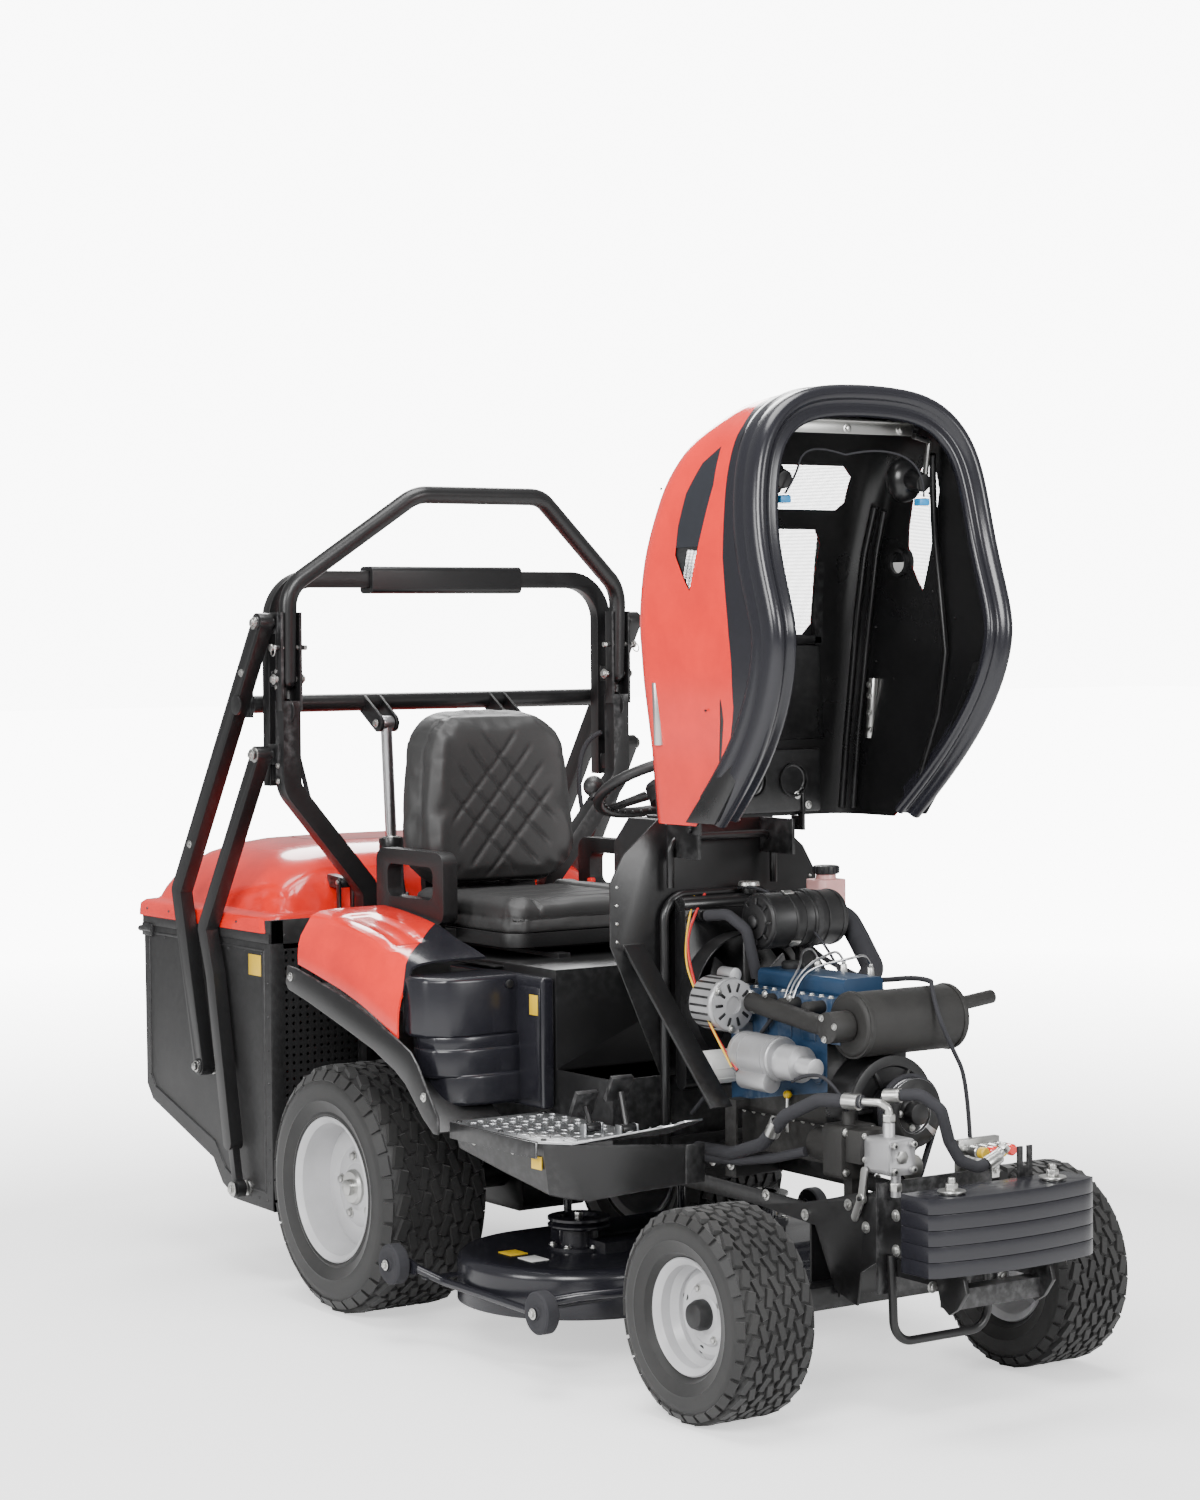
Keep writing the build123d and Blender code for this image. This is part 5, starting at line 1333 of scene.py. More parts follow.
# ------------------------------------------------------------------ collector
@dataclass
class Collector:
    """The black grass box with its perforated front wall, handle and red lid."""

    half: float = 540.0
    front: float = -389.0
    rear: float = -1115.0
    top: float = 940.0
    hole: float = 4.6
    pitch: float = 20.5
    lid_top: float = 1120.0

    def outline(self) -> list[Flat]:
        """The side wall's outline, from the rear top corner round the bottom."""
        return [(self.rear, 900), (self.rear + 6, 440), (self.rear + 40, 400), (-720, 285), (-668, 225), (-590, 192),
                (self.front, 188), (self.front, self.top)]

    def walls(self) -> None:
        """Builds the two sides, the floor and rear strip and the rims."""
        shape, line = Shape(), self.outline()
        for side in (-1, 1):
            shape.prism(line, side * self.half - 2, side * self.half + 2, "y", 1.2)
            inset = [(self.rear + 30, 860), (self.rear + 34, 470), (self.rear + 60, 436), (-706, 330), (-650, 268),
                     (-580, 238), (self.front - 36, 234), (self.front - 36, 860)]
            edge = side * (self.half + 3)
            for a, b in zip(inset, inset[1:] + inset[:1]):
                shape.rod((a[0], edge - side * 3.5, a[1]), (b[0], edge - side * 3.5, b[1]), 5, sides=10)
            shape.prism([(self.rear, 880), (self.rear, 905), (self.front, 905), (self.front, 880)], side * (self.half - 1),
                        side * (self.half + 7), "y", 2)
            dots = [(x, side * (self.half + 2), 851) for x in range(-1080, -400, 92)]
            dots += [(x, side * (self.half + 2), 214) for x in range(-560, -400, 48)]
            dots += [(self.front - 14, side * (self.half + 2), z) for z in range(260, 860, 86)]
            shape.rivets(dots, (0, side, 0), 4)
            shape.bolt((-707, side * (self.half + 4), 535), (0, side, 0), 17, 1.5, slot=1)
            shape.rod((-523, side * (self.half - 1), 233), (-523, side * (self.half + 8), 233), 20, sides=28, slot=1)
        floor = [(self.rear, 884), (self.rear + 6, 440), (self.rear + 40, 400), (-720, 285), (-668, 225), (-590, 192),
                 (self.front, 188)]
        for (xa, za), (xb, zb) in zip(floor, floor[1:]):
            run = math.hypot(xb - xa, zb - za)
            nx, nz = (zb - za) / run * 3.5, -(xb - xa) / run * 3.5
            shape.prism([(xa, za), (xb, zb), (xb - nx, zb - nz), (xa - nx, za - nz)], -self.half + 1, self.half - 1, "y", 0.6)
        for y in range(-480, 481, 120):
            shape.prism([(self.rear + 7, 460), (self.rear + 7, 840), (self.rear - 1, 830), (self.rear - 1, 470)], y - 9, y + 9, "y", 2)
        shape.piece("collector_walls", "collector", BOX_BLACK, ZINC, replaces=["collector_box"])

    def screen(self) -> None:
        """Builds the front wall as real perforated sheet with an opening for the duct."""
        shape, bm = Shape(), bmesh.new()
        left, low, high = -self.half + 34, 250.0, 880.0
        columns, rows = int((2 * self.half - 68) / self.pitch), int((high - low) / self.pitch)
        octagon = [(self.hole * math.cos(math.tau * (k + 0.5) / 8), self.hole * math.sin(math.tau * (k + 0.5) / 8)) for k in range(8)]
        h = self.pitch / 2
        square = [(h, 0), (h, h), (0, h), (-h, h), (-h, 0), (-h, -h), (0, -h), (h, -h)]
        ring = [octagon[(k + 7) % 8] for k in range(8)]
        for i in range(columns):
            for j in range(rows):
                cy, cz = left + self.pitch * (i + 0.5), low + self.pitch * (j + 0.5)
                if abs(cy) < 186 and cz < 436:
                    continue
                solid = abs(abs(cy) - 260) < 12 or abs(cy) < 12 and cz > 436
                corner = [bm.verts.new((self.front, cy + a, cz + b)) for a, b in square]
                if solid:
                    bm.faces.new(corner)
                    continue
                inner = [bm.verts.new((self.front, cy + a, cz + b)) for a, b in ring]
                for k in range(8):
                    bm.faces.new((corner[k], corner[(k + 1) % 8], inner[(k + 1) % 8], inner[k]))
        bmesh.ops.remove_doubles(bm, verts=bm.verts, dist=0.05)
        for vert in bm.verts:
            swell = max(0.0, 1 - (vert.co.y / self.half) ** 2) * max(0.0, math.sin(math.pi * (vert.co.z - low) / (high - low)))
            vert.co.x -= 2.0 * swell
        bmesh.ops.solidify(bm, geom=bm.faces, thickness=2.0)
        shape._join(bm, 0)
        w = self.half
        for y0, y1, z0, z1 in ((-w, w, 186, 252), (-w, w, 878, 941), (-w, -w + 37, 188, 940), (w - 37, w, 188, 940),
                               (-190, -168, 225, 436), (168, 190, 225, 436), (-190, 190, 418, 438)):
            shape.box((self.front - 4, y0, z0), (self.front + 1, y1, z1), 1.5)
        for y in (-260, 0, 260):
            shape.box((self.front - 3, y - 12, 252 if y else 440), (self.front + 4, y + 12, 880), 2)
        shape.rivets([(self.front + 1, y, z) for y in range(-500, 501, 100) for z in (232, 900)], (1, 0, 0), 4)
        shape.piece("collector_screen", "collector", BOX_BLACK)

    def fittings(self) -> None:
        """Builds the tipping handle, lid hinge ears and labels."""
        shape, w, x = Shape(), self.half, self.rear - 36
        shape.tube([(self.rear + 60, -w - 6, 868), (x + 22, -w - 6, 868), (x, -w + 18, 868), (x, 0, 868),
                    (x, w - 18, 868), (x + 22, w + 6, 868), (self.rear + 60, w + 6, 868)], 8)
        for side in (-1, 1):
            shape.box((self.rear + 4, side * w - 6 + side * 6, 850), (self.rear + 64, side * w + 6 + side * 6, 886), 4)
            for y in (300, 340):
                ear = [(self.front - 2, 900), (self.front + 12, 900), (self.front + 12, 1032), (self.front + 4, 1040), (self.front - 6, 1030)]
                shape.prism(ear, side * y - 3, side * y + 3, "y", 1)
            shape.rod((self.front + 4, side * 296 - side * 4, 1028), (self.front + 4, side * 348, 1028), 5, sides=16, slot=1)
        shape.box((-506, -w - 3, 792), (-440, -w - 1.4, 846), 0.3, slot=2)
        shape.piece("collector_fittings", "collector", SATIN_BLACK, ZINC, YELLOW)

    @staticmethod
    def ring(z: float, rear: float, front: float, half: float, corner: float, bow: float = 0.0) -> list[Point]:
        """One level ring of the lid, a rounded rectangle.

        Args:
            z: Its height.
            rear: Its rear edge.
            front: Its front edge.
            half: Its half width.
            corner: Its corner radius.
            bow: How far its long sides swell.

        Returns:
            The points.
        """
        out = []
        for cx, cy, start in ((front - corner, half - corner, 0), (rear + corner, half - corner, 1),
                              (rear + corner, -half + corner, 2), (front - corner, -half + corner, 3)):
            for k in range(7):
                turn = math.pi / 2 * (start + k / 6)
                out.append((cx + corner * math.cos(turn), cy + corner * math.sin(turn), z))
        middle = (front + rear) / 2
        return [(x - bow * 0.4 * (1 - (y / half) ** 2) * (1 if x < middle else 0), y, z) for x, y, z in out]

    def lid(self) -> None:
        """Builds the red crowned lid with its lip."""
        rear, f, w = self.rear - 44, self.front - 8, self.half + 9
        rows = [(905, rear, f, w, 40), (916, rear - 1, f, w, 42), (938, rear + 2, f - 1, w - 1, 44), (947, rear + 12, f - 6, w - 8, 50),
                (951, rear + 34, f - 15, w - 30, 60), (958, rear + 42, f - 20, w - 36, 64), (985, rear + 54, f - 34, w - 44, 74),
                (1018, rear + 70, f - 50, w - 60, 90), (1052, rear + 92, f - 74, w - 86, 112), (1080, rear + 118, f - 104, w - 122, 130),
                (1101, rear + 156, f - 146, w - 170, 140), (1114, rear + 205, f - 190, w - 230, 130), (1120, rear + 262, f - 240, w - 310, 100)]
        outer = [self.ring(*row) for row in rows]
        inner = [self.ring(z - 3, r + 4, g - 4, h - 4, c - 3) for z, r, g, h, c in rows[1:]]
        shape = Shape().loft([self.ring(905, rear + 4, f - 4, w - 4, 37)] + outer, caps=False)
        cap = [shape.bm.verts.new(p) for p in self.ring(1120.4, rear + 266, f - 244, w - 314, 98)]
        shape.bm.faces.new(cap)
        bmesh.ops.remove_doubles(shape.bm, verts=shape.bm.verts, dist=0.5)
        lining = Shape().loft(inner, caps=False)
        under = [lining.bm.verts.new(p) for p in inner[-1]]
        lining.bm.faces.new(under)
        bmesh.ops.reverse_faces(lining.bm, faces=lining.bm.faces)
        shape._join(lining.bm, 0)
        for side in (-1, 1):
            shape.prism([(f - 62, 1012), (self.front + 8, 1014), (self.front + 14, 1028), (self.front + 6, 1040), (f - 62, 1046)],
                        side * 320 - 14, side * 320 + 14, "y", 2, slot=1)
            shape.rivets([(f - 40, side * 334.5, z) for z in (1024, 1036)], (0, 1, 0), 4, slot=1)
        for side in (-1, 1):
            shape.rivets([(x, side * w, 926) for x in range(-1080, -430, 130)], (0, side, 0), 4, slot=1)
        shape.piece("collector_lid_crown", "lid", RED, SATIN_BLACK, replaces=["collector_lid"], smooth=0.7)

    def build(self) -> None:
        """Builds the whole collector."""
        self.walls()
        self.screen()
        self.fittings()
        self.lid()


# ------------------------------------------------------------------ bodywork
@dataclass
class Bodywork:
    """The red wing covers, black guards, side covers, floor and the dash."""

    outer: float = 600.0
    inner: float = 342.0

    def covers(self) -> None:
        """Builds the smooth red wing covers with a recessed panel."""
        rows = [(-152, 843, 985), (-90, 831, 981), (-20, 816, 973), (60, 799, 962), (140, 777, 946), (200, 757, 926), (270, 731, 910),
                (329, 706, 893)]
        for side in (-1, 1):
            rings = []
            for x, low, high in smooth_rows(rows, 3):
                y, z = self.outer - 8, low + 8
                lean = (high - low) / 142
                outer = [(y, z), (y + 0.5, z + 22 * lean), (y - 2, z + 50 * lean), (y - 9, z + 72 * lean), (y - 22, z + 92 * lean),
                         (y - 40, high - 14), (y - 64, high - 5), (y - 100, high - 1), (442, high), (400, high), (self.inner, high)]
                inner = [(self.inner, high - 5), (400, high - 5), (442, high - 5), (y - 102, high - 6), (y - 66, high - 10),
                         (y - 44, high - 19), (y - 27, z + 88 * lean), (y - 14, z + 70 * lean), (y - 7, z + 48 * lean),
                         (y - 5, z + 22 * lean), (y - 5, z)]
                rings.append([(x, side * a, b) for a, b in outer + inner])
            shape = Shape().loft(rings, caps=True)
            for x0, x1, y0, y1 in ((-60, 210, 430, 520),):
                def press(p: Vector) -> Vector:
                    """Presses the shallow recess into the top."""
                    u = min(p.x - x0, x1 - p.x)
                    v = min(abs(p.y) - y0, y1 - abs(p.y))
                    depth = max(0.0, min(1.0, min(u, v) / 14))
                    return Vector((p.x, p.y, p.z - 5 * depth * depth * (3 - 2 * depth)))
                bmesh.ops.subdivide_edges(shape.bm, edges=[e for e in shape.bm.edges if x0 - 30 < e.verts[0].co.x < x1 + 30
                                                           and e.verts[0].co.z > 860 and abs(e.verts[0].co.y) > 400], cuts=2,
                                          use_grid_fill=True)
                shape.push(press)
            shape.split(lambda p: p.x - 96 - (abs(p.y) - 342) * 1.0, 1, lambda c: True)
            name = "left" if side > 0 else "right"
            shape.piece(f"wing_cover_{name}", "chassis", RED, GLOSS_BLACK, replaces=["fender_covers"] if side > 0 else (), smooth=0.9)

    def guards(self) -> None:
        """Builds the black bands that run down to the footplates and the skirts under them."""
        top = [(-206, 800), (-196, 846), (-150, 842), (-60, 824), (60, 798), (150, 777), (240, 746), (329, 718), (400, 690), (432, 662),
               (470, 612), (500, 574), (522, 548), (522, 508), (500, 508), (452, 540), (376, 610), (330, 636), (227, 676), (120, 706),
               (0, 738), (-100, 764), (-190, 784)]
        for side in (-1, 1):
            name = "left" if side > 0 else "right"
            shape = Shape().prism(top, side * (self.outer - 8), side * self.outer, "y", 4)
            arch = [(-203, 787), (-100, 764), (0, 739), (120, 708), (227, 679), (330, 640), (376, 613), (452, 543), (516, 510),
                    (520, 514), (456, 549), (379, 619), (332, 646), (228, 685), (121, 714), (0, 745), (-100, 770), (-203, 793)]
            shape.prism(arch, side * 402, side * (self.outer - 5), "y", 1.2)
            shape.bolt((-176, side * self.outer, 818), (0, side, 0), 7, slot=1)
            shape.bolt((462, side * self.outer, 590), (0, side, 0), 7, slot=1)
            self.skirt(shape, side)
            shape.piece(f"guard_{name}", "chassis", SATIN_BLACK, ZINC, YELLOW, replaces=["mudguards"] if side > 0 else ())

    def skirt(self, shape: Shape, side: int) -> None:
        """Adds the skirt below a footplate.

        Args:
            shape: The guard's shape.
            side: 1 left, -1 right.
        """
        plan = [(522, 560, 470), (700, 557, 440), (890, 554, 412), (918, 526, 406), (952, 492, 402), (1020, 396, 424), (1088, 300, 442)]
        rings = []
        for x, y, low in plan:
            rings.append([(x, side * y, 531), (x, side * (y - 6), 520), (x, side * (y - 20), low + 4), (x, side * (y - 25), low),
                          (x, side * (y - 30), low + 2), (x, side * (y - 12), 518), (x, side * (y - 7), 531)])
        shape.loft(rings, caps=True)
        shape.box((fx(-317), side * 246 if side > 0 else -298, 442), (fx(-312), 298 if side > 0 else side * 246, 531), 2)
        for x, y in ((600, 552), (760, 549)):
            shape.bolt((x, side * (y - 2), 500), (0, side, -0.2), 6, slot=1)
        shape.box((840, side * 546 - 2, 470), (880, side * 546 + 2, 500), 1.0, slot=2)

    def side_covers(self) -> None:
        """Builds the ribbed covers below the seat and the flat panels under the wings."""
        for side in (-1, 1):
            line = [(140, 706), (140, 858), (558, 858), (558, 547), (347, 547), (302, 622), (227, 684)]
            shape = Shape().prism(line, side * 294, side * 330, "y", 8, segments=4)
            upper = [(300, 300), (300, 560), (352, 571), (400, 556), (436, 518), (448, 470), (448, 300)]
            lower = [(330, 300), (330, 548), (372, 556), (416, 540), (446, 500), (456, 450), (456, 300)]
            shape.prism([(x, side * y) for x, y in upper], 716, 860, "z", 12, segments=4)
            shape.prism([(x, side * y) for x, y in lower], 690, 720, "z", 4)
            shape.prism([(x + 3, side * (y + 3)) for x, y in lower], 622, 694, "z", 10, segments=4)
            shape.prism([(x + 12, side * (y - 16)) for x, y in lower], 556, 632, "z", 10, segments=4)
            shape.prism([(466, 566), (466, 836), (552, 836), (552, 566)], side * 326, side * 338, "y", 5)
            shape.rod((448, side * 352, 838), (455, side * 352, 838), 10, sides=24, slot=1)
            shape.box((516, side * 338 - 1, 770), (550, side * 338 + 1.6, 818), 0.4, slot=2)
            name = "left" if side > 0 else "right"
            shape.piece(f"side_cover_{name}", "chassis", GLOSS_BLACK, SATIN_BLACK, YELLOW,
                        replaces=["side_covers"] if side > 0 else ())

    def floor(self) -> None:
        """Lays raised tread bars and screws on the footplates."""
        refine("footplates", "chassis", TREAD, 0.8, extra=(SATIN_BLACK,),
               choose=lambda p, n: 1 if p.z < 536 and abs(n.z) < 0.5 and p.x < 880 else 0)
        shape = Shape()
        for side in (-1, 1):
            for i in range(15):
                for j in range(9):
                    x, y = 542 + 27 * i + 13.5 * (j % 2), 312 + 27.5 * j
                    limit = 552 if x < 884 else 552 - (x - 884) * 0.95
                    if x < 944 and y < limit:
                        turn = Matrix.Rotation(0.7 if (i + j) % 2 else -0.7, 4, "Z")
                        spot = Matrix.Translation((x, side * y, 537.2)) @ turn
                        bmesh.ops.create_icosphere(shape.bm, subdivisions=1, radius=1.0,
                                                          matrix=spot @ Matrix.Diagonal((10.5, 2.4, 1.5, 1.0)))
            slope = math.atan2(50, fx(-310) - fx(-511) - 60)
            for i in range(5):
                for j in range(8):
                    x, y = 962 + 25 * i, 268 + 26 * j + 13 * (i % 2)
                    if y < 484 - (x - 950) * 1.35 and x < 1078:
                        z = 537.4 + (x - 950) * math.tan(slope)
                        spot = Matrix.Translation((x, side * y, z)) @ Matrix.Rotation(-slope, 4, "Y")
                        spot = spot @ Matrix.Rotation(0.7 if (i + j) % 2 else -0.7, 4, "Z")
                        bmesh.ops.create_icosphere(shape.bm, subdivisions=1, radius=1.0,
                                                   matrix=spot @ Matrix.Diagonal((9.5, 2.6, 1.6, 1.0)))
            for x, y in ((540, 552), (540, 316), (880, 540), (900, 316), (720, 552)):
                shape.rod((x, side * y, 536.5), (x, side * y, 540.5), 7.5, 6, sides=18, slot=1)
        shape.piece("tread_bars", "chassis", TREAD, SATIN_BLACK, smooth=1.2)

    def dash(self) -> None:
        """Builds the dash, the steering boot, the shield and the switches."""
        refine("dash_cowl", "chassis", SATIN_BLACK, 2.0)
        refine("seat_platform", "chassis", SATIN_BLACK, 1.6)
        refine("bulkhead_frame", "chassis", SATIN_BLACK, 0.8)
        shape = Shape()
        hub, tilt = Vector((600, 0, 1305)), Matrix.Rotation(math.radians(-26), 4, "Y")
        for k in range(6):
            at = hub + tilt @ Vector((0, 0, -62 - 20 * k))
            shape.rod(tuple(at), tuple(at + tilt @ Vector((0, 0, -9))), 37 + 2.2 * k, 39 + 2.2 * k, sides=36)
        shape.box((690, -120, 1236), (780, 120, 1243), 3, slot=1)
        for y in (-86, -52, 52, 86):
            shape.rod((735, y, 1240), (735, y, 1252), 10, 8, sides=20, slot=1)
        shape.lathe([(0, 0), (36, 0), (38, 2), (38, 6), (34, 7), (33, 3), (0, 3)], (735, 0, 1242), (0, 0, 1), 36, slot=2)
        shape.tube([(640, 150, 1120), (640, 190, 1124), (632, 236, 1140)], 6, slot=2)
        shape.ball((632, 240, 1141), 15, slot=1)
        shape.rivets([(803, y, z) for y in (-282, 282) for z in range(960, 1090, 42)], (1, 0, 0), 4, slot=2)
        shape.rivets([(803, y, 1228) for y in (-140, -70, 70, 140)], (1, 0, 0), 4, slot=2)
        shape.piece("dash_details", "chassis", HOSE, SATIN_BLACK, ZINC)

    def build(self) -> None:
        """Builds all the bodywork."""
        self.covers()
        self.guards()
        self.side_covers()
        self.floor()
        self.dash()


def fx(offset: float) -> float:
    """Station given from the front axle."""
    return 1401.0 + offset


# ------------------------------------------------------------------ seat
@dataclass
class Seat:
    """The padded seat: swollen cushions with seams, shell, grips and belt."""

    half: float = 258.0
    lean: float = -4.0
    voxel: float = 5.0
    pressure: float = 4.0
    movement: float = 14.0

    def swell(self, node: str, hold: Callable[[Vector], bool]) -> bmesh.types.BMesh:
        """Swells a cushion's block under pressure.

        Args:
            node: The CAD node it is made from.
            hold: Whether a point, in datum millimetres, is held still.

        Returns:
            The swollen mesh in metres.
        """
        copy = bpy.data.objects.new(node + "_sim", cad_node(node).data.copy())
        bpy.context.scene.collection.objects.link(copy)
        remesh = copy.modifiers.new("remesh", "REMESH")
        remesh.mode, remesh.voxel_size = "VOXEL", self.voxel * MM * 2
        graph = bpy.context.evaluated_depsgraph_get()
        mesh = bpy.data.meshes.new_from_object(copy.evaluated_get(graph))
        copy.modifiers.clear()
        copy.data = mesh
        start = [v.co.copy() for v in mesh.vertices]
        self.simulate(copy, hold)
        graph = bpy.context.evaluated_depsgraph_get()
        mesh = bpy.data.meshes.new_from_object(copy.evaluated_get(graph))
        for vert, was in zip(mesh.vertices, start):
            step = vert.co - was
            if step.length > self.movement * MM:
                vert.co = was + step.normalized() * self.movement * MM
        bm = bmesh.new()
        bm.from_mesh(mesh)
        bpy.data.objects.remove(copy)
        bpy.context.scene.frame_set(1)
        return bm

    def simulate(self, copy: bpy.types.Object, hold: Callable[[Vector], bool]) -> None:
        """Runs the short cloth simulation.

        Args:
            copy: The object to swell.
            hold: Whether a point is held still.
        """
        group = copy.vertex_groups.new(name="held")
        group.add([v.index for v in copy.data.vertices if hold((v.co - Datum.origin) / MM)], 1.0, "REPLACE")
        cloth = copy.modifiers.new("cloth", "CLOTH")
        cloth.settings.use_pressure, cloth.settings.uniform_pressure_force = True, self.pressure
        cloth.settings.effector_weights.gravity = 0
        cloth.settings.vertex_group_mass = group.name
        cloth.settings.shrink_min = -0.015
        cloth.settings.quality = 4
        cloth.point_cache.frame_start, cloth.point_cache.frame_end = 1, 20
        for frame in range(1, 21):
            bpy.context.scene.frame_set(frame)
            bpy.context.evaluated_depsgraph_get()

    def finish(self, bm: bmesh.types.BMesh, name: str, node: str, limit: tuple[Vector, Vector],
               dent: Callable[[Vector], Vector], fill: float) -> None:
        """Rounds, seams and stores a swollen cushion.

        Args:
            bm: The swollen mesh in metres.
            name: The piece's name.
            node: The CAD node it replaces.
            limit: The lowest and highest corner it may fill, in datum millimetres.
            dent: Moves a point in datum millimetres for the seams.
            fill: Not used.
        """
        bmesh.ops.smooth_vert(bm, verts=bm.verts, factor=0.5, use_axis_x=True, use_axis_y=True, use_axis_z=True)
        bmesh.ops.smooth_vert(bm, verts=bm.verts, factor=0.5, use_axis_x=True, use_axis_y=True, use_axis_z=True)
        bmesh.ops.subdivide_edges(bm, edges=bm.edges, cuts=1, use_grid_fill=True, smooth=0.6)
        low, high = limit
        for vert in bm.verts:
            spot = dent((vert.co - Datum.origin) / MM)
            spot = Vector(tuple(max(a, min(b, c)) for a, c, b in zip(low, spot, high)))
            vert.co = Datum.at(spot)
        for face in bm.faces:
            face.smooth = True
        mesh = bpy.data.meshes.new(name)
        bm.to_mesh(mesh)
        bm.free()
        thing = place_piece(mesh, name, "seat", (VINYL,), (node,))

    def backrest(self) -> None:
        """Builds the backrest with its diagonal double channels and side bolsters."""
        turn = Matrix.Rotation(math.radians(self.lean), 3, "Y")
        centre = Vector((-172, 0, 1020))

        def held(p: Vector) -> bool:
            """Holds the rear face."""
            return (turn.inverted() @ (p - centre)).x < -48

        def dent(p: Vector) -> Vector:
            """Presses the channels and raises the bolsters."""
            q = turn.inverted() @ (p - centre)
            v, w = q.z, abs(q.y)
            narrow = 1.0 - 0.16 * max(0.0, (v - 140) / 300) ** 1.6 - 0.07 * max(0.0, (110 - v) / 110) ** 2
            if q.x > 10:
                middle = math.hypot(q.y / 1.0, (v - 205) / 1.25)
                fade = max(0.0, min(1.0, (168 - middle) / 26))
                deep = 0.0
                for offset in (-87, -29, 29, 87):
                    for mirror in (-1, 1):
                        line = (v - 205) * 0.68 - mirror * q.y * 0.73 + offset
                        deep += 7.0 * math.exp(-(line / 5.5) ** 2)
                hollow = 13 * (1 - min(1.0, (w / 200) ** 2)) * min(1.0, max(0.0, (400 - v) / 120))
                q.x += -hollow - min(deep, 9) * fade + 5 * math.exp(-((w - 196) / 22) ** 2)
            q.x -= 26 * max(0.0, (v - 330) / 122) ** 2
            q.y *= narrow
            seam = 3.0 * math.exp(-((q.x - 22) / 3.0) ** 2)
            if seam > 0.1 and w > 170:
                q.y -= math.copysign(seam, q.y)
            if seam > 0.1 and v > 400:
                q.z -= seam
            return centre + turn @ q

        low, high = Vector((-262, -262, 1008)), Vector((-60, 262, 1484))
        self.finish(self.swell("seat_backrest", held), "seat_backrest_pad", "seat_backrest", (low, high), dent, 0.8)

    def cushion(self) -> None:
        """Builds the seat cushion with its rolled front and bolsters."""

        def held(p: Vector) -> bool:
            """Holds the underside."""
            return p.z < 950

        def dent(p: Vector) -> Vector:
            """Rolls the front edge and presses the channels."""
            w = abs(p.y)
            if p.z > 985:
                share = min(1.0, max(0.0, (w - 168) / 30))
                deep = 13 * (1 - share) * min(1.0, max(0.0, (p.x + 190) / 60)) * min(1.0, max(0.0, (300 - p.x) / 40))
                deep += 8 * math.exp(-((w - 168) / 6.0) ** 2)
                for x in (-60, 40, 140, 232):
                    deep += 7 * math.exp(-((p.x - x) / 5.0) ** 2) * (1 if w < 168 else 0)
                p.z -= deep
            p.z -= 3.0 * math.exp(-((p.z - 980) / 3.5) ** 2)
            if p.x > 240:
                p.z -= ((p.x - 240) / 82) ** 2 * 14 * (1 if p.z > 975 else 0)
            if abs(p.z - 972) < 9:
                tuck = 3.5 * math.exp(-((p.z - 972) / 3.0) ** 2)
                p.x -= tuck if p.x > 250 else 0
                p.y -= math.copysign(tuck, p.y) if w > 200 else 0
            return p

        low, high = Vector((-204, -266, 938)), Vector((330, 266, 1024))
        self.finish(self.swell("seat_cushion", held), "seat_cushion_pad", "seat_cushion", (low, high), dent, 0.8)

    def fittings(self) -> None:
        """Builds the pan, the side grip, the rail lever and the buckle."""
        refine("seat_frame", "seat", PLASTIC, 3.0, segments=3)
        shape = Shape()
        shape.tube([(-170, -262, 1010), (-150, -280, 985), (-60, -292, 962), (60, -286, 955)], 5, slot=1)
        shape.box((-150, 272, 948), (-128, 300, 1010), 5, slot=1)
        shape.box((-146, 276, 1004), (-131, 296, 1024), 4, slot=2)
        shape.tube([(250, 120, 900), (330, 122, 896), (350, 170, 898)], 6, slot=0)
        shape.ball((350, 176, 898), 11, slot=0)
        shape.piece("seat_fittings", "seat", PLASTIC, SATIN_BLACK, RED)
    def build(self) -> None:
        """Builds the whole seat."""
        self.fittings()
        self.backrest()
        self.cushion()


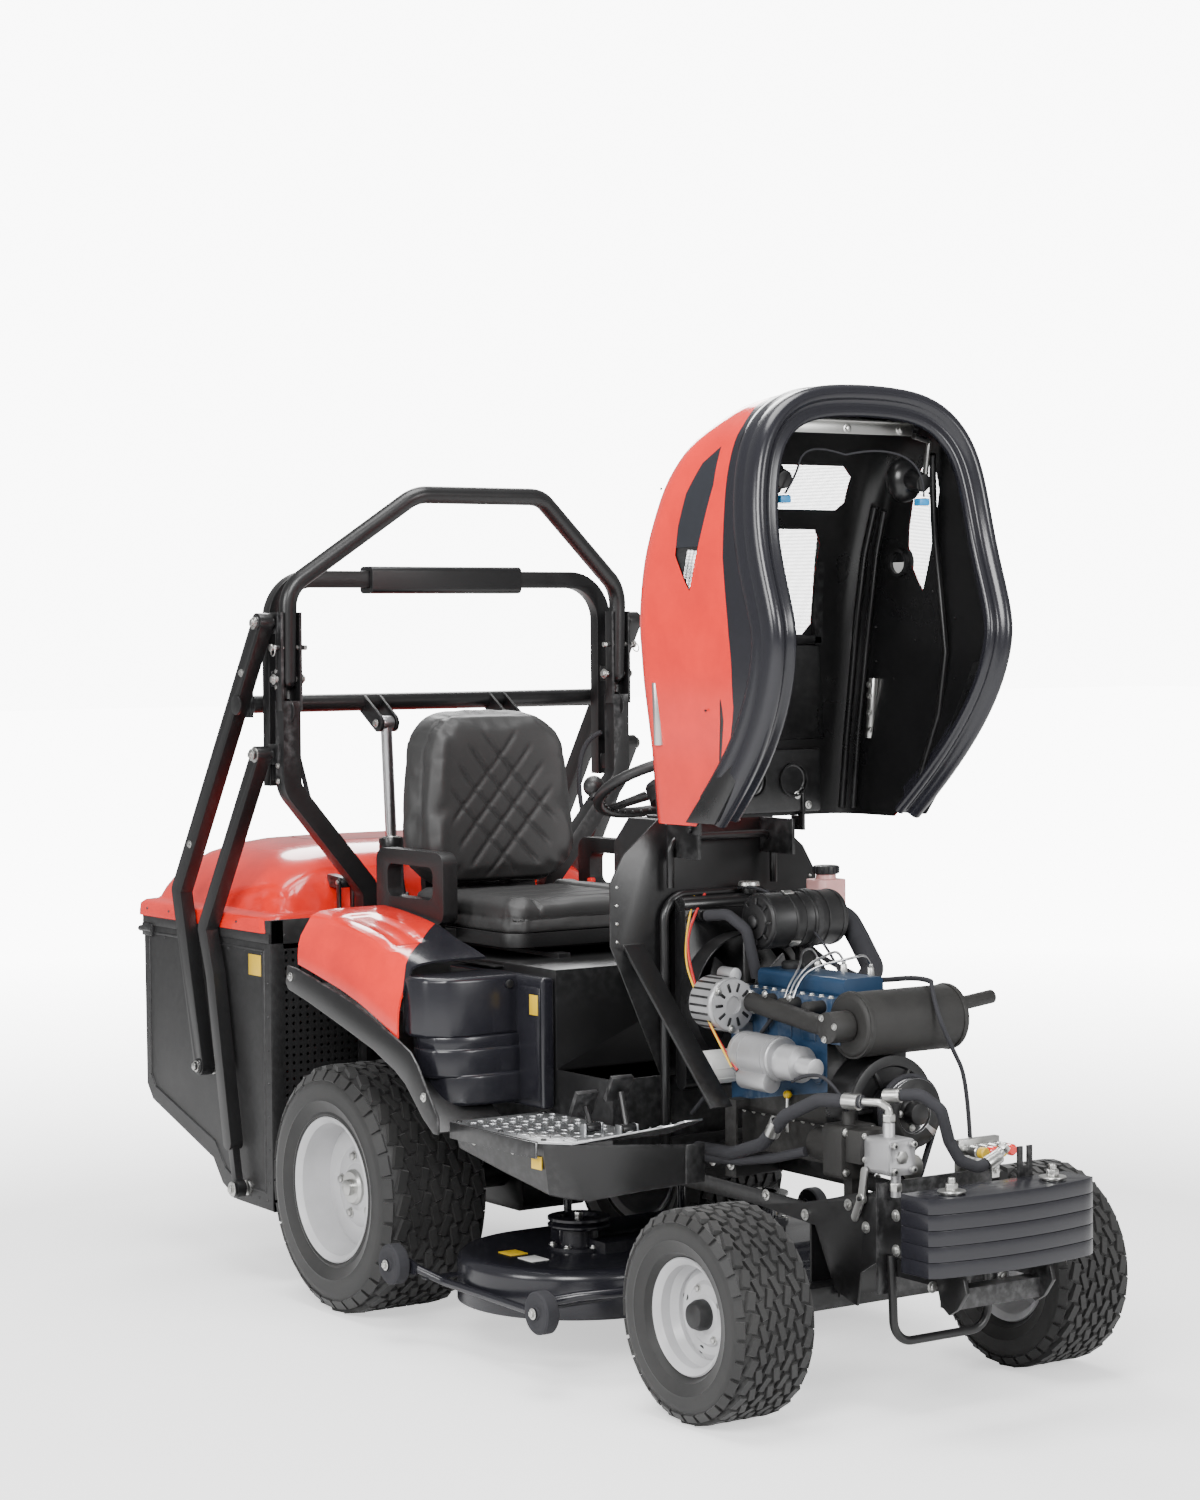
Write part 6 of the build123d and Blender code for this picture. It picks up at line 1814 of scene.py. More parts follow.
# ------------------------------------------------------------------ roll-over frame and lift
@dataclass
class Lift:
    """The roll-over frame, arch, lift arms, links and cylinders."""

    rops: tuple[float, float] = (-338.0, 510.0)
    arm_y: float = 571.0

    def frame(self) -> None:
        """Refines the tubes and adds their bolts, pins and clips."""
        for node in ("rops_posts", "rops_hoop"):
            refine(node, body_of(node), SATIN_BLACK, 1.4, segments=3)
        refine("rear_arch", "chassis", SATIN_BLACK, 2.0, segments=3)
        shape, (x, y) = Shape(), self.rops
        for side in (-1, 1):
            out = side * (y + 40)
            shape.rod((x, side * (y - 44), 1560), (x, side * (y + 44), 1560), 8, sides=24, slot=1)
            shape.bolt((x, out, 1560), (0, side, 0), 9, 1.5, slot=1)
            shape.bolt((x, side * (y - 40), 1560), (0, -side, 0), 9, 1.5, slot=1)
            shape.rod((x + 10, side * (y - 50), 1640), (x + 10, side * (y + 52), 1640), 6.5, sides=20, slot=1)
            shape.rod((x + 10, side * (y + 50), 1640), (x + 10, side * (y + 55), 1640), 10, sides=20, slot=1)
            for z in (1300, 1340, 1540, 1580):
                shape.bolt((x - 6, side * (y + 27), z), (0, side, 0), 6, 1.4, slot=1)
            for z in (1702, 1372):
                shape.bolt((x - 17 if z > 1500 else x - 34, side * (self.arm_y + 27), z - (0 if z > 1500 else 4)), (0, side, 0), 9, 1.7, slot=1)
            shape.rod((x, side * (y - 2), 1476), (x, side * (y + 2), 1476), 34, sides=28)
        for y0 in (-190, 0, 190):
            shape.rod((-447, y0, 1814), (-444, y0, 1814), 10, sides=20, slot=2)
        shape.piece("rops_hardware", "chassis", SATIN_BLACK, ZINC, PLASTIC)
        for side in (-1, 1):
            name = "left" if side > 0 else "right"
            wire(f"pin_clip_{name}", "chassis", [(x + 10, side * (y + 48), 1648), (x + 34, side * (y + 52), 1640),
                                                (x + 30, side * (y + 54), 1618), (x + 8, side * (y + 52), 1622),
                                                (x + 6, side * (y + 50), 1634)], 1.6, ZINC)
            wire(f"lift_hose_{name}", "chassis", [(x - 26, side * (y - 34), 1400), (x - 70, side * (y - 62), 1380),
                                                 (x - 62, side * (y - 90), 1260), (x - 10, side * (y - 96), 1120),
                                                 (x + 4, side * (y - 250), 1010), (x + 2, side * 236, 780)], 6.5, HOSE)

    def arms(self) -> None:
        """Refines the arms, links and cylinders and adds their bolts."""
        refine("lift_arms", "arms", SATIN_BLACK, 1.6, segments=3)
        refine("lower_links", "links", SATIN_BLACK, 1.6, segments=3)
        refine("lift_cylinders", "cylinders", SATIN_BLACK, 0.8)
        refine("lift_rods", "rods", STEEL, 0.6)
        arm = Shape()
        for side in (-1, 1):
            face = side * (self.arm_y + 18)
            for x, z, r in ((-355, 1704, 19), (-707, 535, 20)):
                arm.rod((x, face, z), (x, face + side * 6, z), r, r - 2, sides=30)
                arm.bolt((x, face + side * 6, z), (0, side, 0), 11, 1.4, slot=1)
            for t in (0.18, 0.82):
                x, z = -355 + (-826 + 355) * t, 1704 + (993 - 1704) * t
                arm.bolt((x, face, z), (0, side, 0), 7, 1.5, slot=1)
            arm.rod((-466, face - side * 2, 1494), (-466, face + side * 4, 1494), 26, sides=28)
            for dy in (-30, 30):
                arm.bolt((-381, side * 195 + dy, 1440), (0, 1 if dy > 0 else -1, 0), 8, 1.4, slot=1)
        arm.piece("lift_arm_hardware", "arms", SATIN_BLACK, ZINC)
        link = Shape()
        for side in (-1, 1):
            face = side * (self.arm_y + 18)
            for x, z in ((-372, 1368), (-523, 233)):
                link.bolt((x, face, z), (0, side, 0), 11, 1.8, slot=1)
        link.piece("lower_link_hardware", "links", SATIN_BLACK, ZINC)
        barrel = Shape()
        direction = (Vector((-381, 0, 1440)) - Vector((-322, 0, 560))).normalized()
        for side in (-1, 1):
            foot = Vector((-322, side * 195, 560))
            end = foot + direction * 582
            barrel.rod(tuple(end - direction * 34), tuple(end - direction * 1), 33, sides=32)
            barrel.rod(tuple(end - direction * 1), tuple(end + direction * 3), 24, 22, sides=32, slot=1)
            port = foot + direction * 70
            barrel.rod(tuple(port), tuple(port + Vector((36, 0, 0))), 9, sides=16, slot=1)
            barrel.bolt((-322, side * 231, 560), (0, side, 0), 8, 1.4, slot=1)
            barrel.tube([tuple(port + Vector((34, 0, 0))), (-268, side * 195, 640), (-262, side * 195, 700), (-276, side * 195, 900),
                         tuple(foot + direction * 520 + Vector((34, 0, 0)))], 7, slot=2)
        barrel.piece("lift_cylinder_hardware", "cylinders", SATIN_BLACK, ZINC, HOSE)

    def build(self) -> None:
        """Builds the frame and the lift."""
        self.frame()
        self.arms()


# ------------------------------------------------------------------ engine bay
@dataclass
class EngineBay:
    """The blue engine with its auxiliaries, hoses and wiring."""

    pulley: tuple[float, float] = (104.0, 626.0)

    def block(self) -> None:
        """Refines the block and adds bolts, fins, covers and the flywheel housing rim."""
        def pick(p: Vector, n: Vector) -> int:
            """White for the oil filter, black for the gear housing, dark for the sump."""
            if p.y < -113 and (p.x - fx(-386)) ** 2 + (p.z - 686) ** 2 < 40 ** 2:
                return 1
            if p.x > fx(-41):
                return 2
            return 3 if p.z < 640 else 0

        refine("engine_block", "chassis", BLUE, 2.4, extra=(WHITE, LINER_BLACK, MUFFLER), segments=3, choose=pick)
        s = Shape()
        for k in range(10):
            for side in (-1, 1):
                s.bolt((fx(-364 + 34 * k), side * 86, 866), (0, 0, 1), 6, 1.5, slot=1)
        for k in range(9):
            for side in (-1, 1):
                s.bolt((fx(-362 + 36 * k), side * 97, 592 - 6), (0, side, 0), 5, 1.3, slot=1)
        for k in range(4):
            s.rod((fx(-330 + 86 * k), -113, 700), (fx(-330 + 86 * k), -117, 700), 22, 20, sides=28)
            s.bolt((fx(-330 + 86 * k), -117, 700), (0, -1, 0), 6, 1.4, slot=1)
            s.box((fx(-334 + 86 * k), 108, 640), (fx(-324 + 86 * k), 116, 800), 3)
            s.box((fx(-300 + 86 * k), -116, 770), (fx(-250 + 86 * k), -108, 812), 4)
        for k in range(12):
            turn = math.tau * k / 12
            s.bolt((fx(36), 106 * math.cos(turn), 626 + 106 * math.sin(turn)), (1, 0, 0), 6, 1.3, slot=1)
        s.lathe([(60, 0), (118, 0), (118, 9), (112, 11), (96, 11), (92, 5), (60, 3)], (fx(36), 0, 626), (1, 0, 0), 64, slot=2)
        for k in range(6):
            turn = math.tau * k / 6
            s.box((-4, 56, -3), (4, 96, 9), 2, slot=2, turn=Matrix.Translation((fx(40), 0, 626)) @ Matrix.Rotation(turn, 4, "X")
                  @ Matrix.Rotation(math.pi / 2, 4, "Y"))
        for k in range(3):
            x = fx(-310 + 96 * k)
            s.rod((x, 75, 884), (x, 75, 918), 10, 8, sides=6, slot=1)
            s.rod((x, 75, 918), (x, 75, 926), 5, sides=14, slot=1)
        s.lathe([(0, 0), (24, 0), (26, 3), (26, 14), (22, 18), (0, 19)], (fx(-310), 4, 904), (0, 0, 1), 28, slot=2)
        s.rod((fx(-170), -122, 560), (fx(-170), -122, 640), 5, sides=12, slot=1)
        s.ball((fx(-170), -122, 644), 10, slot=4)
        for k in range(9):
            a = 686 + 0 * k
            turn = math.tau * k / 9
            s.rod((fx(-386) + 37 * math.cos(turn), -186, a + 37 * math.sin(turn)),
                  (fx(-386) + 37 * math.cos(turn), -122, a + 37 * math.sin(turn)), 2.4, sides=8, slot=3)
        s.piece("engine_details", "chassis", BLUE, ZINC, PLASTIC, WHITE, YELLOW)
        for k in range(3):
            x = fx(-310 + 96 * k)
            wire(f"injector_pipe_{k}", "chassis", [(x, 75, 922), (x + 4, 60, 950), (x + 22, 10, 946), (fx(-200 + 14 * k), -60, 922),
                                                  (fx(-196 + 14 * k), -108, 870), (fx(-190 + 14 * k), -124, 812)], 3.0, STEEL)

    def auxiliaries(self) -> None:
        """Refines the exhaust, alternator, starter, filter, pumps, belt and expansion tank and adds their details."""
        for node, finish, width in (("exhaust", MUFFLER, 1.4), ("alternator", ALLOY, 1.6), ("starter_motor", ALLOY, 1.6),
                                    ("air_filter", PLASTIC, 1.6), ("hydro_pump", MUFFLER, 2.0), ("gear_pump", ALLOY, 2.0),
                                    ("drive_belt", HOSE, 0.5), ("expansion_tank", TANK, 2.4)):
            extra, choose = (), None
            if node == "expansion_tank":
                extra, choose = (PLASTIC, RAW), (lambda p, n: 1 if p.z > 1099 else 2 if p.z < 1020.2 else 0)
            if node == "drive_belt":
                extra, choose = (ZINC,), (lambda p, n: 1 if abs(p.y) < 32 and 440 < p.z < 538 and (p.x < fx(97.5) or p.x > fx(110.5)) else 0)
            refine(node, "chassis", finish, width, extra=extra, choose=choose)
        s = Shape()
        for k in range(20):
            turn = math.tau * k / 20
            y, z = -188 + 61.2 * math.cos(turn), 838 + 61.2 * math.sin(turn)
            s.box((-34, -2.6, -1.4), (30, 2.6, 1.4), 0.8, slot=2, turn=Matrix.Translation((fx(-328), y, z)) @ Matrix.Rotation(turn - math.pi / 2, 4, "X"))
        s.lathe([(20, 0), (58, 0), (58, 4), (20, 6)], (fx(-284), -188, 838), (1, 0, 0), 40)
        for k in range(10):
            turn = math.tau * k / 10
            s.box((-1, 24, -4), (5.5, 50, 4), 1, slot=2, turn=Matrix.Translation((fx(-284), -188, 838)) @ Matrix.Rotation(turn, 4, "X"))
        for k in range(3):
            turn = math.tau * k / 3 + 0.4
            s.bolt((fx(-279), -188 + 54 * math.cos(turn), 838 + 54 * math.sin(turn)), (1, 0, 0), 6, slot=1)
        for x in (-250, -226, -142, -126):
            s.lathe([(44, 0), (49.5, 0), (49.5, 5), (44, 5)], (fx(x), -176, 733), (1, 0, 0), 40)
        for k in range(4):
            turn = math.tau * k / 4 + 0.6
            s.bolt((fx(-262), -176 + 34 * math.cos(turn), 733 + 34 * math.sin(turn)), (-1, 0, 0), 5, slot=1)
        s.rod((fx(-232), -196, 682), (fx(-248), -196, 682), 8, 6, sides=16, slot=4)
        s.rod((fx(-232), -208, 690), (fx(-244), -208, 690), 5, sides=12, slot=1)
        self.filter_details(s)
        self.pump_details(s)
        for k in range(5):
            s.bolt((fx(-258 + 44 * k), -148, 866 if k % 2 else 826), (-0.2, -1, 0), 7, 1.3, slot=1)
        s.lathe([(66, -2), (73, -2), (74, 4), (73, 10), (66, 10)], (fx(34), -104, 817), (0, 1, 0), 48, slot=3)
        s.lathe([(66, -2), (73, -2), (74, 4), (73, 10), (66, 10)], (fx(34), 160, 817), (0, 1, 0), 48, slot=3)
        for k in range(3):
            turn = math.tau * k / 3 + 0.2
            s.bolt((fx(34) + 27 * math.cos(turn), -172, 816 + 27 * math.sin(turn)), (0, -1, 0), 6, 1.3, slot=1)
        s.piece("auxiliary_details", "chassis", ALLOY, ZINC, LINER_BLACK, MUFFLER, YELLOW, RED, WHITE, PLASTIC)

    @staticmethod
    def filter_details(s: Shape) -> None:
        """Adds the ribs, clips and boss of the air filter.

        Args:
            s: The details' shape.
        """
        for y in (-30, 60, 126, 168):
            s.lathe([(62, 0), (65.5, 0), (65.5, 3), (62, 3)], (fx(-391), y, 1008), (0, 1, 0), 48, slot=7)
        for k in range(8):
            turn = math.tau * k / 8
            s.box((-3, 0, 8), (3, 6, 54), 1.5, slot=7, turn=Matrix.Translation((fx(-391), -42, 1008)) @ Matrix.Rotation(turn, 4, "Y"))
        s.lathe([(0, 0), (16, 0), (15, 9), (10, 12), (0, 12)], (fx(-391), -42, 1008), (0, -1, 0), 24, slot=7)
        for turn in (0.3, 2.4, 4.5):
            spot = Matrix.Translation((fx(-391), 36, 1008)) @ Matrix.Rotation(turn, 4, "Y")
            s.box((-8, -12, 65), (8, 16, 70), 1.5, slot=1, turn=spot)
        s.lathe([(66, 0), (69.5, 0), (69.5, 14), (66, 14)], (fx(-391), 91, 1008), (0, 1, 0), 48, slot=7)

    @staticmethod
    def pump_details(s: Shape) -> None:
        """Adds cap screws, ports and quick couplers.

        Args:
            s: The details' shape.
        """
        for y in (-176, -102):
            for z in (512, 598):
                s.bolt((fx(102), y, z), (1, 0, 0), 7, 1.3, slot=1)
        for y in (-164, -106):
            for z in (546, 596):
                s.bolt((fx(150), y, z), (1, 0, 0), 5, 1.3, slot=1)
        for y in (-152, -100):
            for z in (530, 584):
                s.rod((fx(233.5), y, z), (fx(242), y, z), 8, 7, sides=18, slot=1)
                s.rod((fx(242), y, z), (fx(242.4), y, z), 4, sides=6, slot=2)
        s.rod((fx(228), -126, 557), (fx(234), -126, 557), 15, sides=6, slot=1)
        for i in range(4):
            y = 116 + 26 * i
            s.rod((fx(156), y, 540), (fx(168), y, 540), 12.6, sides=6, slot=1)
            s.lathe([(8, 0), (13, 0), (13, 22), (11.5, 24), (8, 24)], (fx(176), y, 540), (1, 0, 0), 28, slot=1)
            s.lathe([(0, 0), (12.4, 0), (12.8, 14), (10, 18), (0, 18)], (fx(205), y, 540), (1, 0, 0), 24, slot=5 if i % 2 else 4)
        for y in (104, 204):
            s.bolt((fx(156), y, 484), (1, 0, 0), 6, 1.3, slot=1)

    def cooling(self) -> None:
        """Refines the radiator and fan and adds fins and the cap."""
        refine("radiator", "chassis", LINER_BLACK, 1.0)
        refine("cooling_fan", "fan", PLASTIC, 1.0)
        refine("crank_pulley", "crank", STEEL, 0.8, extra=(SATIN_BLACK,),
               choose=lambda p, n: 1 if math.hypot(p.y, p.z - 626) < 30 and p.x > fx(111) else 0)
        s = Shape()
        for k in range(44):
            s.box((fx(-572), -134, 652 + 8.4 * k), (fx(-569), 134, 653.6 + 8.4 * k), 0.2)
        s.rod((fx(-548), 60, 1058), (fx(-548), 60, 1076), 17, sides=28, slot=1)
        s.rod((fx(-548), 60, 1076), (fx(-548), 60, 1086), 26, 24, sides=28, slot=2)
        s.piece("radiator_details", "chassis", ALLOY, SATIN_BLACK, ZINC)
        cap = Shape()
        for k in range(16):
            turn = math.tau * k / 16
            cap.box((28.5, -2.2, 1102), (32.2, 2.2, 1118), 0.8, turn=Matrix.Translation((fx(-471), 229, 0)) @ Matrix.Rotation(turn, 4, "Z"))
        cap.tube([(fx(-471), 187, 1040), (fx(-471), 172, 1040), (fx(-480), 150, 1030), (fx(-520), 132, 1042)], 6)
        cap.piece("tank_details", "chassis", HOSE)
        pulley = Shape()
        for k in range(4):
            turn = math.tau * k / 4
            pulley.bolt((fx(112), 33 * math.cos(turn), 626 + 33 * math.sin(turn)), (1, 0, 0), 6, 1.3, slot=0)
        pulley.piece("pulley_bolts", "crank", ZINC)

    def hoses(self) -> None:
        """Refines the hoses and adds clamps, ferrules and wiring."""
        def pick(p: Vector, n: Vector) -> int:
            """Metal for the coupler block and the steel elbow."""
            if p.x > fx(139) and p.y > 95:
                return 1
            if fx(141) < p.x < fx(200) and p.z > 624 and p.y < -112:
                return 1
            return 0
        refine("engine_hoses", "chassis", HOSE, 0.8, extra=(ZINC,), choose=pick)
        s = Shape()
        for at, axis, r in (((fx(-391), 190, 1008), (0, 1, 0), 29), ((fx(-280), 122, 852), (0, 1, 0.1), 29)):
            s.lathe([(r - 3, -7), (r, -7), (r, 7), (r - 3, 7)], at, axis, 32)
            s.box((at[0] - 8, at[1] - 8, at[2] + r - 3), (at[0] + 8, at[1] + 8, at[2] + r + 6), 2)
        for at, axis, r in (((fx(118), -170, 667), (1, 0.3, 0), 17.5), ((fx(-90), -220, 590), (0.6, -0.05, 0.8), 17),
                            ((fx(160), -92, 677), (1, 0.5, 0.1), 15.5), ((fx(262), 100, 533), (0, 1, 0.4), 15.5)):
            s.lathe([(r - 4, -20), (r, -20), (r + 0.6, -10), (r, 0), (r + 0.6, 10), (r, 18), (r - 4, 18)], at, axis, 28)
        s.rod((fx(262), 124, 553), (fx(264), 132, 561), 15, sides=6)
        s.rod((fx(186), -126, 628), (fx(186), -126, 644), 15, sides=6)
        s.rod((fx(208), -126, 482), (fx(208), -126, 500), 14, sides=6)
        s.piece("hose_fittings", "chassis", ZINC)
        loom = [("loom_red", WIRE_RED, 3.4, [(fx(-560), -60, 1062), (fx(-500), -150, 1000), (fx(-420), -214, 930), (fx(-300), -238, 780),
                                            (fx(-232), -214, 700)]),
                ("loom_yellow", WIRE_YELLOW, 2.4, [(fx(-560), -90, 1058), (fx(-460), -200, 960), (fx(-340), -252, 860), (fx(-240), -224, 706)]),
                ("loom_black_a", HOSE, 6, [(fx(-560), 120, 1060), (fx(-440), 150, 930), (fx(-300), 130, 900), (fx(-160), 110, 880),
                                          (fx(0), 120, 905), (fx(60), 100, 900)]),
                ("loom_black_b", HOSE, 5, [(fx(60), 100, 900), (fx(120), 60, 850), (fx(130), 100, 760), (fx(120), 150, 690), (fx(130), 150, 560)]),
                ("fuel_pipe", HOSE, 5, [(fx(-520), -130, 560), (fx(-420), -140, 640), (fx(-330), -132, 700), (fx(-240), -128, 790),
                                       (fx(-190), -110, 850)]),
                ("pump_lead", HOSE, 4, [(fx(80), -150, 640), (fx(60), -172, 700), (fx(0), -190, 720), (fx(-70), -186, 690)]),
                ("stop_cable", HOSE, 3.4, [(fx(-565), 40, 1070), (fx(-480), 44, 1090), (fx(-300), 100, 960), (fx(-230), 84, 880)])]
        for name, finish, radius, points in loom:
            wire(name, "chassis", points, radius, finish)

    def build(self) -> None:
        """Builds the whole engine bay."""
        self.block()
        self.auxiliaries()
        self.cooling()
        self.hoses()


# ------------------------------------------------------------------ deck
@dataclass
class Deck:
    """The mid-mounted mower deck with its rollers and blades."""

    spindle: tuple[float, float] = (610.0, 266.0)
    rollers: tuple[Flat, Flat] = ((366.0, 186.0), (1001.0, 181.0))

    def build(self) -> None:
        """Builds the deck."""
        refine("deck_shell", "deck", GLOSS_BLACK, 1.2, segments=3)
        for side in ("left", "right"):
            refine(f"blade_{side}", f"blade_{side[0]}", STEEL, 0.8)
        shape, (x, y) = Shape(), self.spindle
        for side in (-1, 1):
            for k in range(6):
                turn = math.tau * k / 6
                shape.bolt((x + 62 * math.cos(turn), side * y + 62 * math.sin(turn), 230), (0, 0, 1), 7, 1.5, slot=1)
            shape.lathe([(12, 0), (70, 0), (74, 4), (74, 8), (62, 13), (74, 19), (74, 25), (46, 26), (40, 18), (12, 18)],
                        (x, side * y, 272), (0, 0, 1), 56)
            shape.rod((x, side * y, 290), (x, side * y, 306), 11, sides=6, slot=1)
            for spot, z in self.rollers:
                for k in (-1, 1):
                    shape.bolt((spot, side * 628 + k * (17 if k * side > 0 else 17) + (7 * k), z), (0, k, 0), 8, 1.6, slot=1)
            shape.box((x - 60, side * 430 - 24, 221), (x - 6, side * 430 + 24, 223.6), 0.4, slot=2)
            shape.box((x + 24, side * 430 - 24, 221), (x + 84, side * 430 + 24, 223.6), 0.4, slot=3)
            shape.rod((x - 190, side * 170, 222), (x - 190, side * 170, 330), 10, sides=20)
            shape.rod((x + 170, side * 170, 222), (x + 170, side * 170, 300), 10, sides=20)
            for dx in (-190, 170):
                shape.box((x + dx - 14, side * 170 - 20, 218), (x + dx + 14, side * 170 + 20, 228), 3)
        shape.tube([(1001 - 60, -560, 188), (1001 - 20, -520, 200), (1001 + 24, -420, 206), (1001 + 28, -300, 204), (1001 + 28, 300, 204),
                    (1001 + 24, 420, 206), (1001 - 20, 520, 200), (1001 - 60, 560, 188)], 11)
        shape.piece("deck_details", "deck", GLOSS_BLACK, ZINC, YELLOW, WHITE)
        for name in ("front", "rear"):
            spot, z = self.rollers[1 if name == "front" else 0]
            wheels = Shape()
            for side in (-1, 1):
                profile = [(7.2, -20), (14, -20), (16, -16), (30, -16), (34, -18), (44, -17), (47.6, -13), (48, 0), (47.6, 13), (44, 17),
                           (34, 18), (30, 16), (16, 16), (14, 20), (7.2, 20)]
                wheels.lathe(profile, (spot, side * 628, z), (0, 1, 0), 56)
            wheels.piece(f"deck_rollers_{name}_treads", f"rollers_{name}", HOSE, replaces=[f"deck_rollers_{name}"])


# ------------------------------------------------------------------ running gear and front end
@dataclass
class Running:
    """The frame, axles, ballast plates, tow hooks and guard."""

    front: float = 328.0

    def frame(self) -> None:
        """Refines the frame, axles and knuckles."""
        for node in ("main_frame", "rear_axle", "front_axle_beam", "knuckle_left", "knuckle_right", "tie_rod"):
            refine(node, body_of(node), SATIN_BLACK, 1.0)
        shape = Shape()
        for side in (-1, 1):
            y = side * 160
            for x, z in ((300, 460), (360, 460), (fx(-600), 470), (fx(-540), 470), (fx(-400), 470), (fx(-330), 470), (fx(90), 440),
                         (fx(150), 400), (fx(-60), 396), (fx(-200), 420), (fx(250), 440), (fx(250), 366), (fx(290), 440), (fx(290), 366)):
                shape.bolt((x, y, z), (0, side, 0), 8, 1.6, slot=1)
            shape.bolt((fx(-40), side * 60, 272), (-1, 0, 0), 7, slot=1)
            for z in (190, 228, 266):
                shape.bolt((fx(10), side * 352, z), (0, side, 0), 6, 1.4, slot=1)
            shape.rod((fx(0), side * 318, 278), (fx(0), side * 318, 286), 15, sides=6, slot=1)
            shape.rod((fx(-112), side * 318, 206), (fx(-112), side * 318, 198), 12, sides=6, slot=1)
            for k in range(6):
                turn = math.tau * k / 6
                shape.bolt((76 * math.cos(turn) * 0.7, side * 388, 306 + 76 * math.sin(turn) * 0.7), (0, side, 0), 7, 1.3, slot=1)
        shape.box((-60, -60, 372), (60, 60, 392), 6)
        for k in range(4):
            shape.bolt((-90 + 60 * k, 0, 381), (0, 0, 1), 7, slot=1)
        shape.piece("frame_hardware", "chassis", SATIN_BLACK, ZINC)

    def ballast(self) -> None:
        """Builds the chamfered ballast plates with their bolts, the hooks and the guard."""
        refine("front_weights", "chassis", GLOSS_BLACK, 4.5, extra=(ZINC,), segments=3,
               choose=lambda p, n: 1 if p.z > 508.1 else 0)
        refine("front_carrier", "chassis", SATIN_BLACK, 1.8, segments=3)
        shape = Shape()
        for y in (-146, 134):
            shape.lathe([(9, 0), (29, 0), (30, 2), (29, 4), (9, 4)], (fx(412), y, 512), (0, 0, 1), 40)
            shape.rod((fx(412), y, 516), (fx(412), y, 530), 14, sides=6)
            shape.rod((fx(412), y, 530), (fx(412), y, 542), 8.4, 7.6, sides=20)
        for y in (-135, -60, 60, 135):
            for z in (300, 480):
                shape.bolt((fx(336), y, z), (1, 0, 0), 8, 1.6)
        shape.piece("ballast_bolts", "chassis", ZINC)

    def controls(self) -> None:
        """Refines the steering wheel, knob and pedals and adds the wheel's hub, spokes and grips and the pedal ribs."""
        refine("steering_wheel", "steering", PLASTIC, 1.6, segments=3)
        refine("steering_knob", "spinner", PLASTIC, 0.6, segments=3)
        for node in ("drive_pedal", "brake_pedal"):
            refine(node, body_of(node), SATIN_BLACK, 1.0)
        wheel, tilt = Shape(), Matrix.Translation((600, 0, 1305)) @ Matrix.Rotation(math.radians(-26), 4, "Y")
        wheel.lathe([(0, 8), (40, 8), (44, 5), (46, 0), (46, -4), (47.5, -4), (47.5, 3), (44, 9), (38, 12), (0, 13)],
                    tuple(tilt @ Vector((0, 0, 0))), tuple(tilt.to_3x3() @ Vector((0, 0, 1))), 48)
        for k in range(3):
            turn = math.radians((90, 210, 330)[k])
            inner, outer = Vector((50 * math.cos(turn), 50 * math.sin(turn), -1)), Vector((150 * math.cos(turn), 150 * math.sin(turn), 3))
            across_dir = Vector((-math.sin(turn), math.cos(turn), 0))
            for off in (-9, 9):
                wheel.rod(tuple(tilt @ (inner + across_dir * off)), tuple(tilt @ (outer + across_dir * off * 0.8)), 4, 3.4, sides=12)
        for k in range(40):
            turn = math.tau * k / 40
            wheel.ball(tuple(tilt @ Vector((151.5 * math.cos(turn), 151.5 * math.sin(turn), -4))), 4.2, sides=8)
        wheel.piece("steering_wheel_details", "steering", PLASTIC)
        for node, x, y, z in (("drive_pedal", fx(-571), -398, 602), ("brake_pedal", fx(-505), -346, 640)):
            pad = Shape()
            turn = Matrix.Translation((x, y, z)) @ Matrix.Rotation(math.radians(28), 4, "Y")
            for k in range(5):
                pad.box((-8.6, -26, -27 + 12 * k), (-5, 26, -21 + 12 * k), 1.2, turn=turn)
            pad.piece(f"{node}_ribs", body_of(node), HOSE)

    def build(self) -> None:
        """Builds the running gear and front end."""
        self.frame()
        self.ballast()
        self.controls()


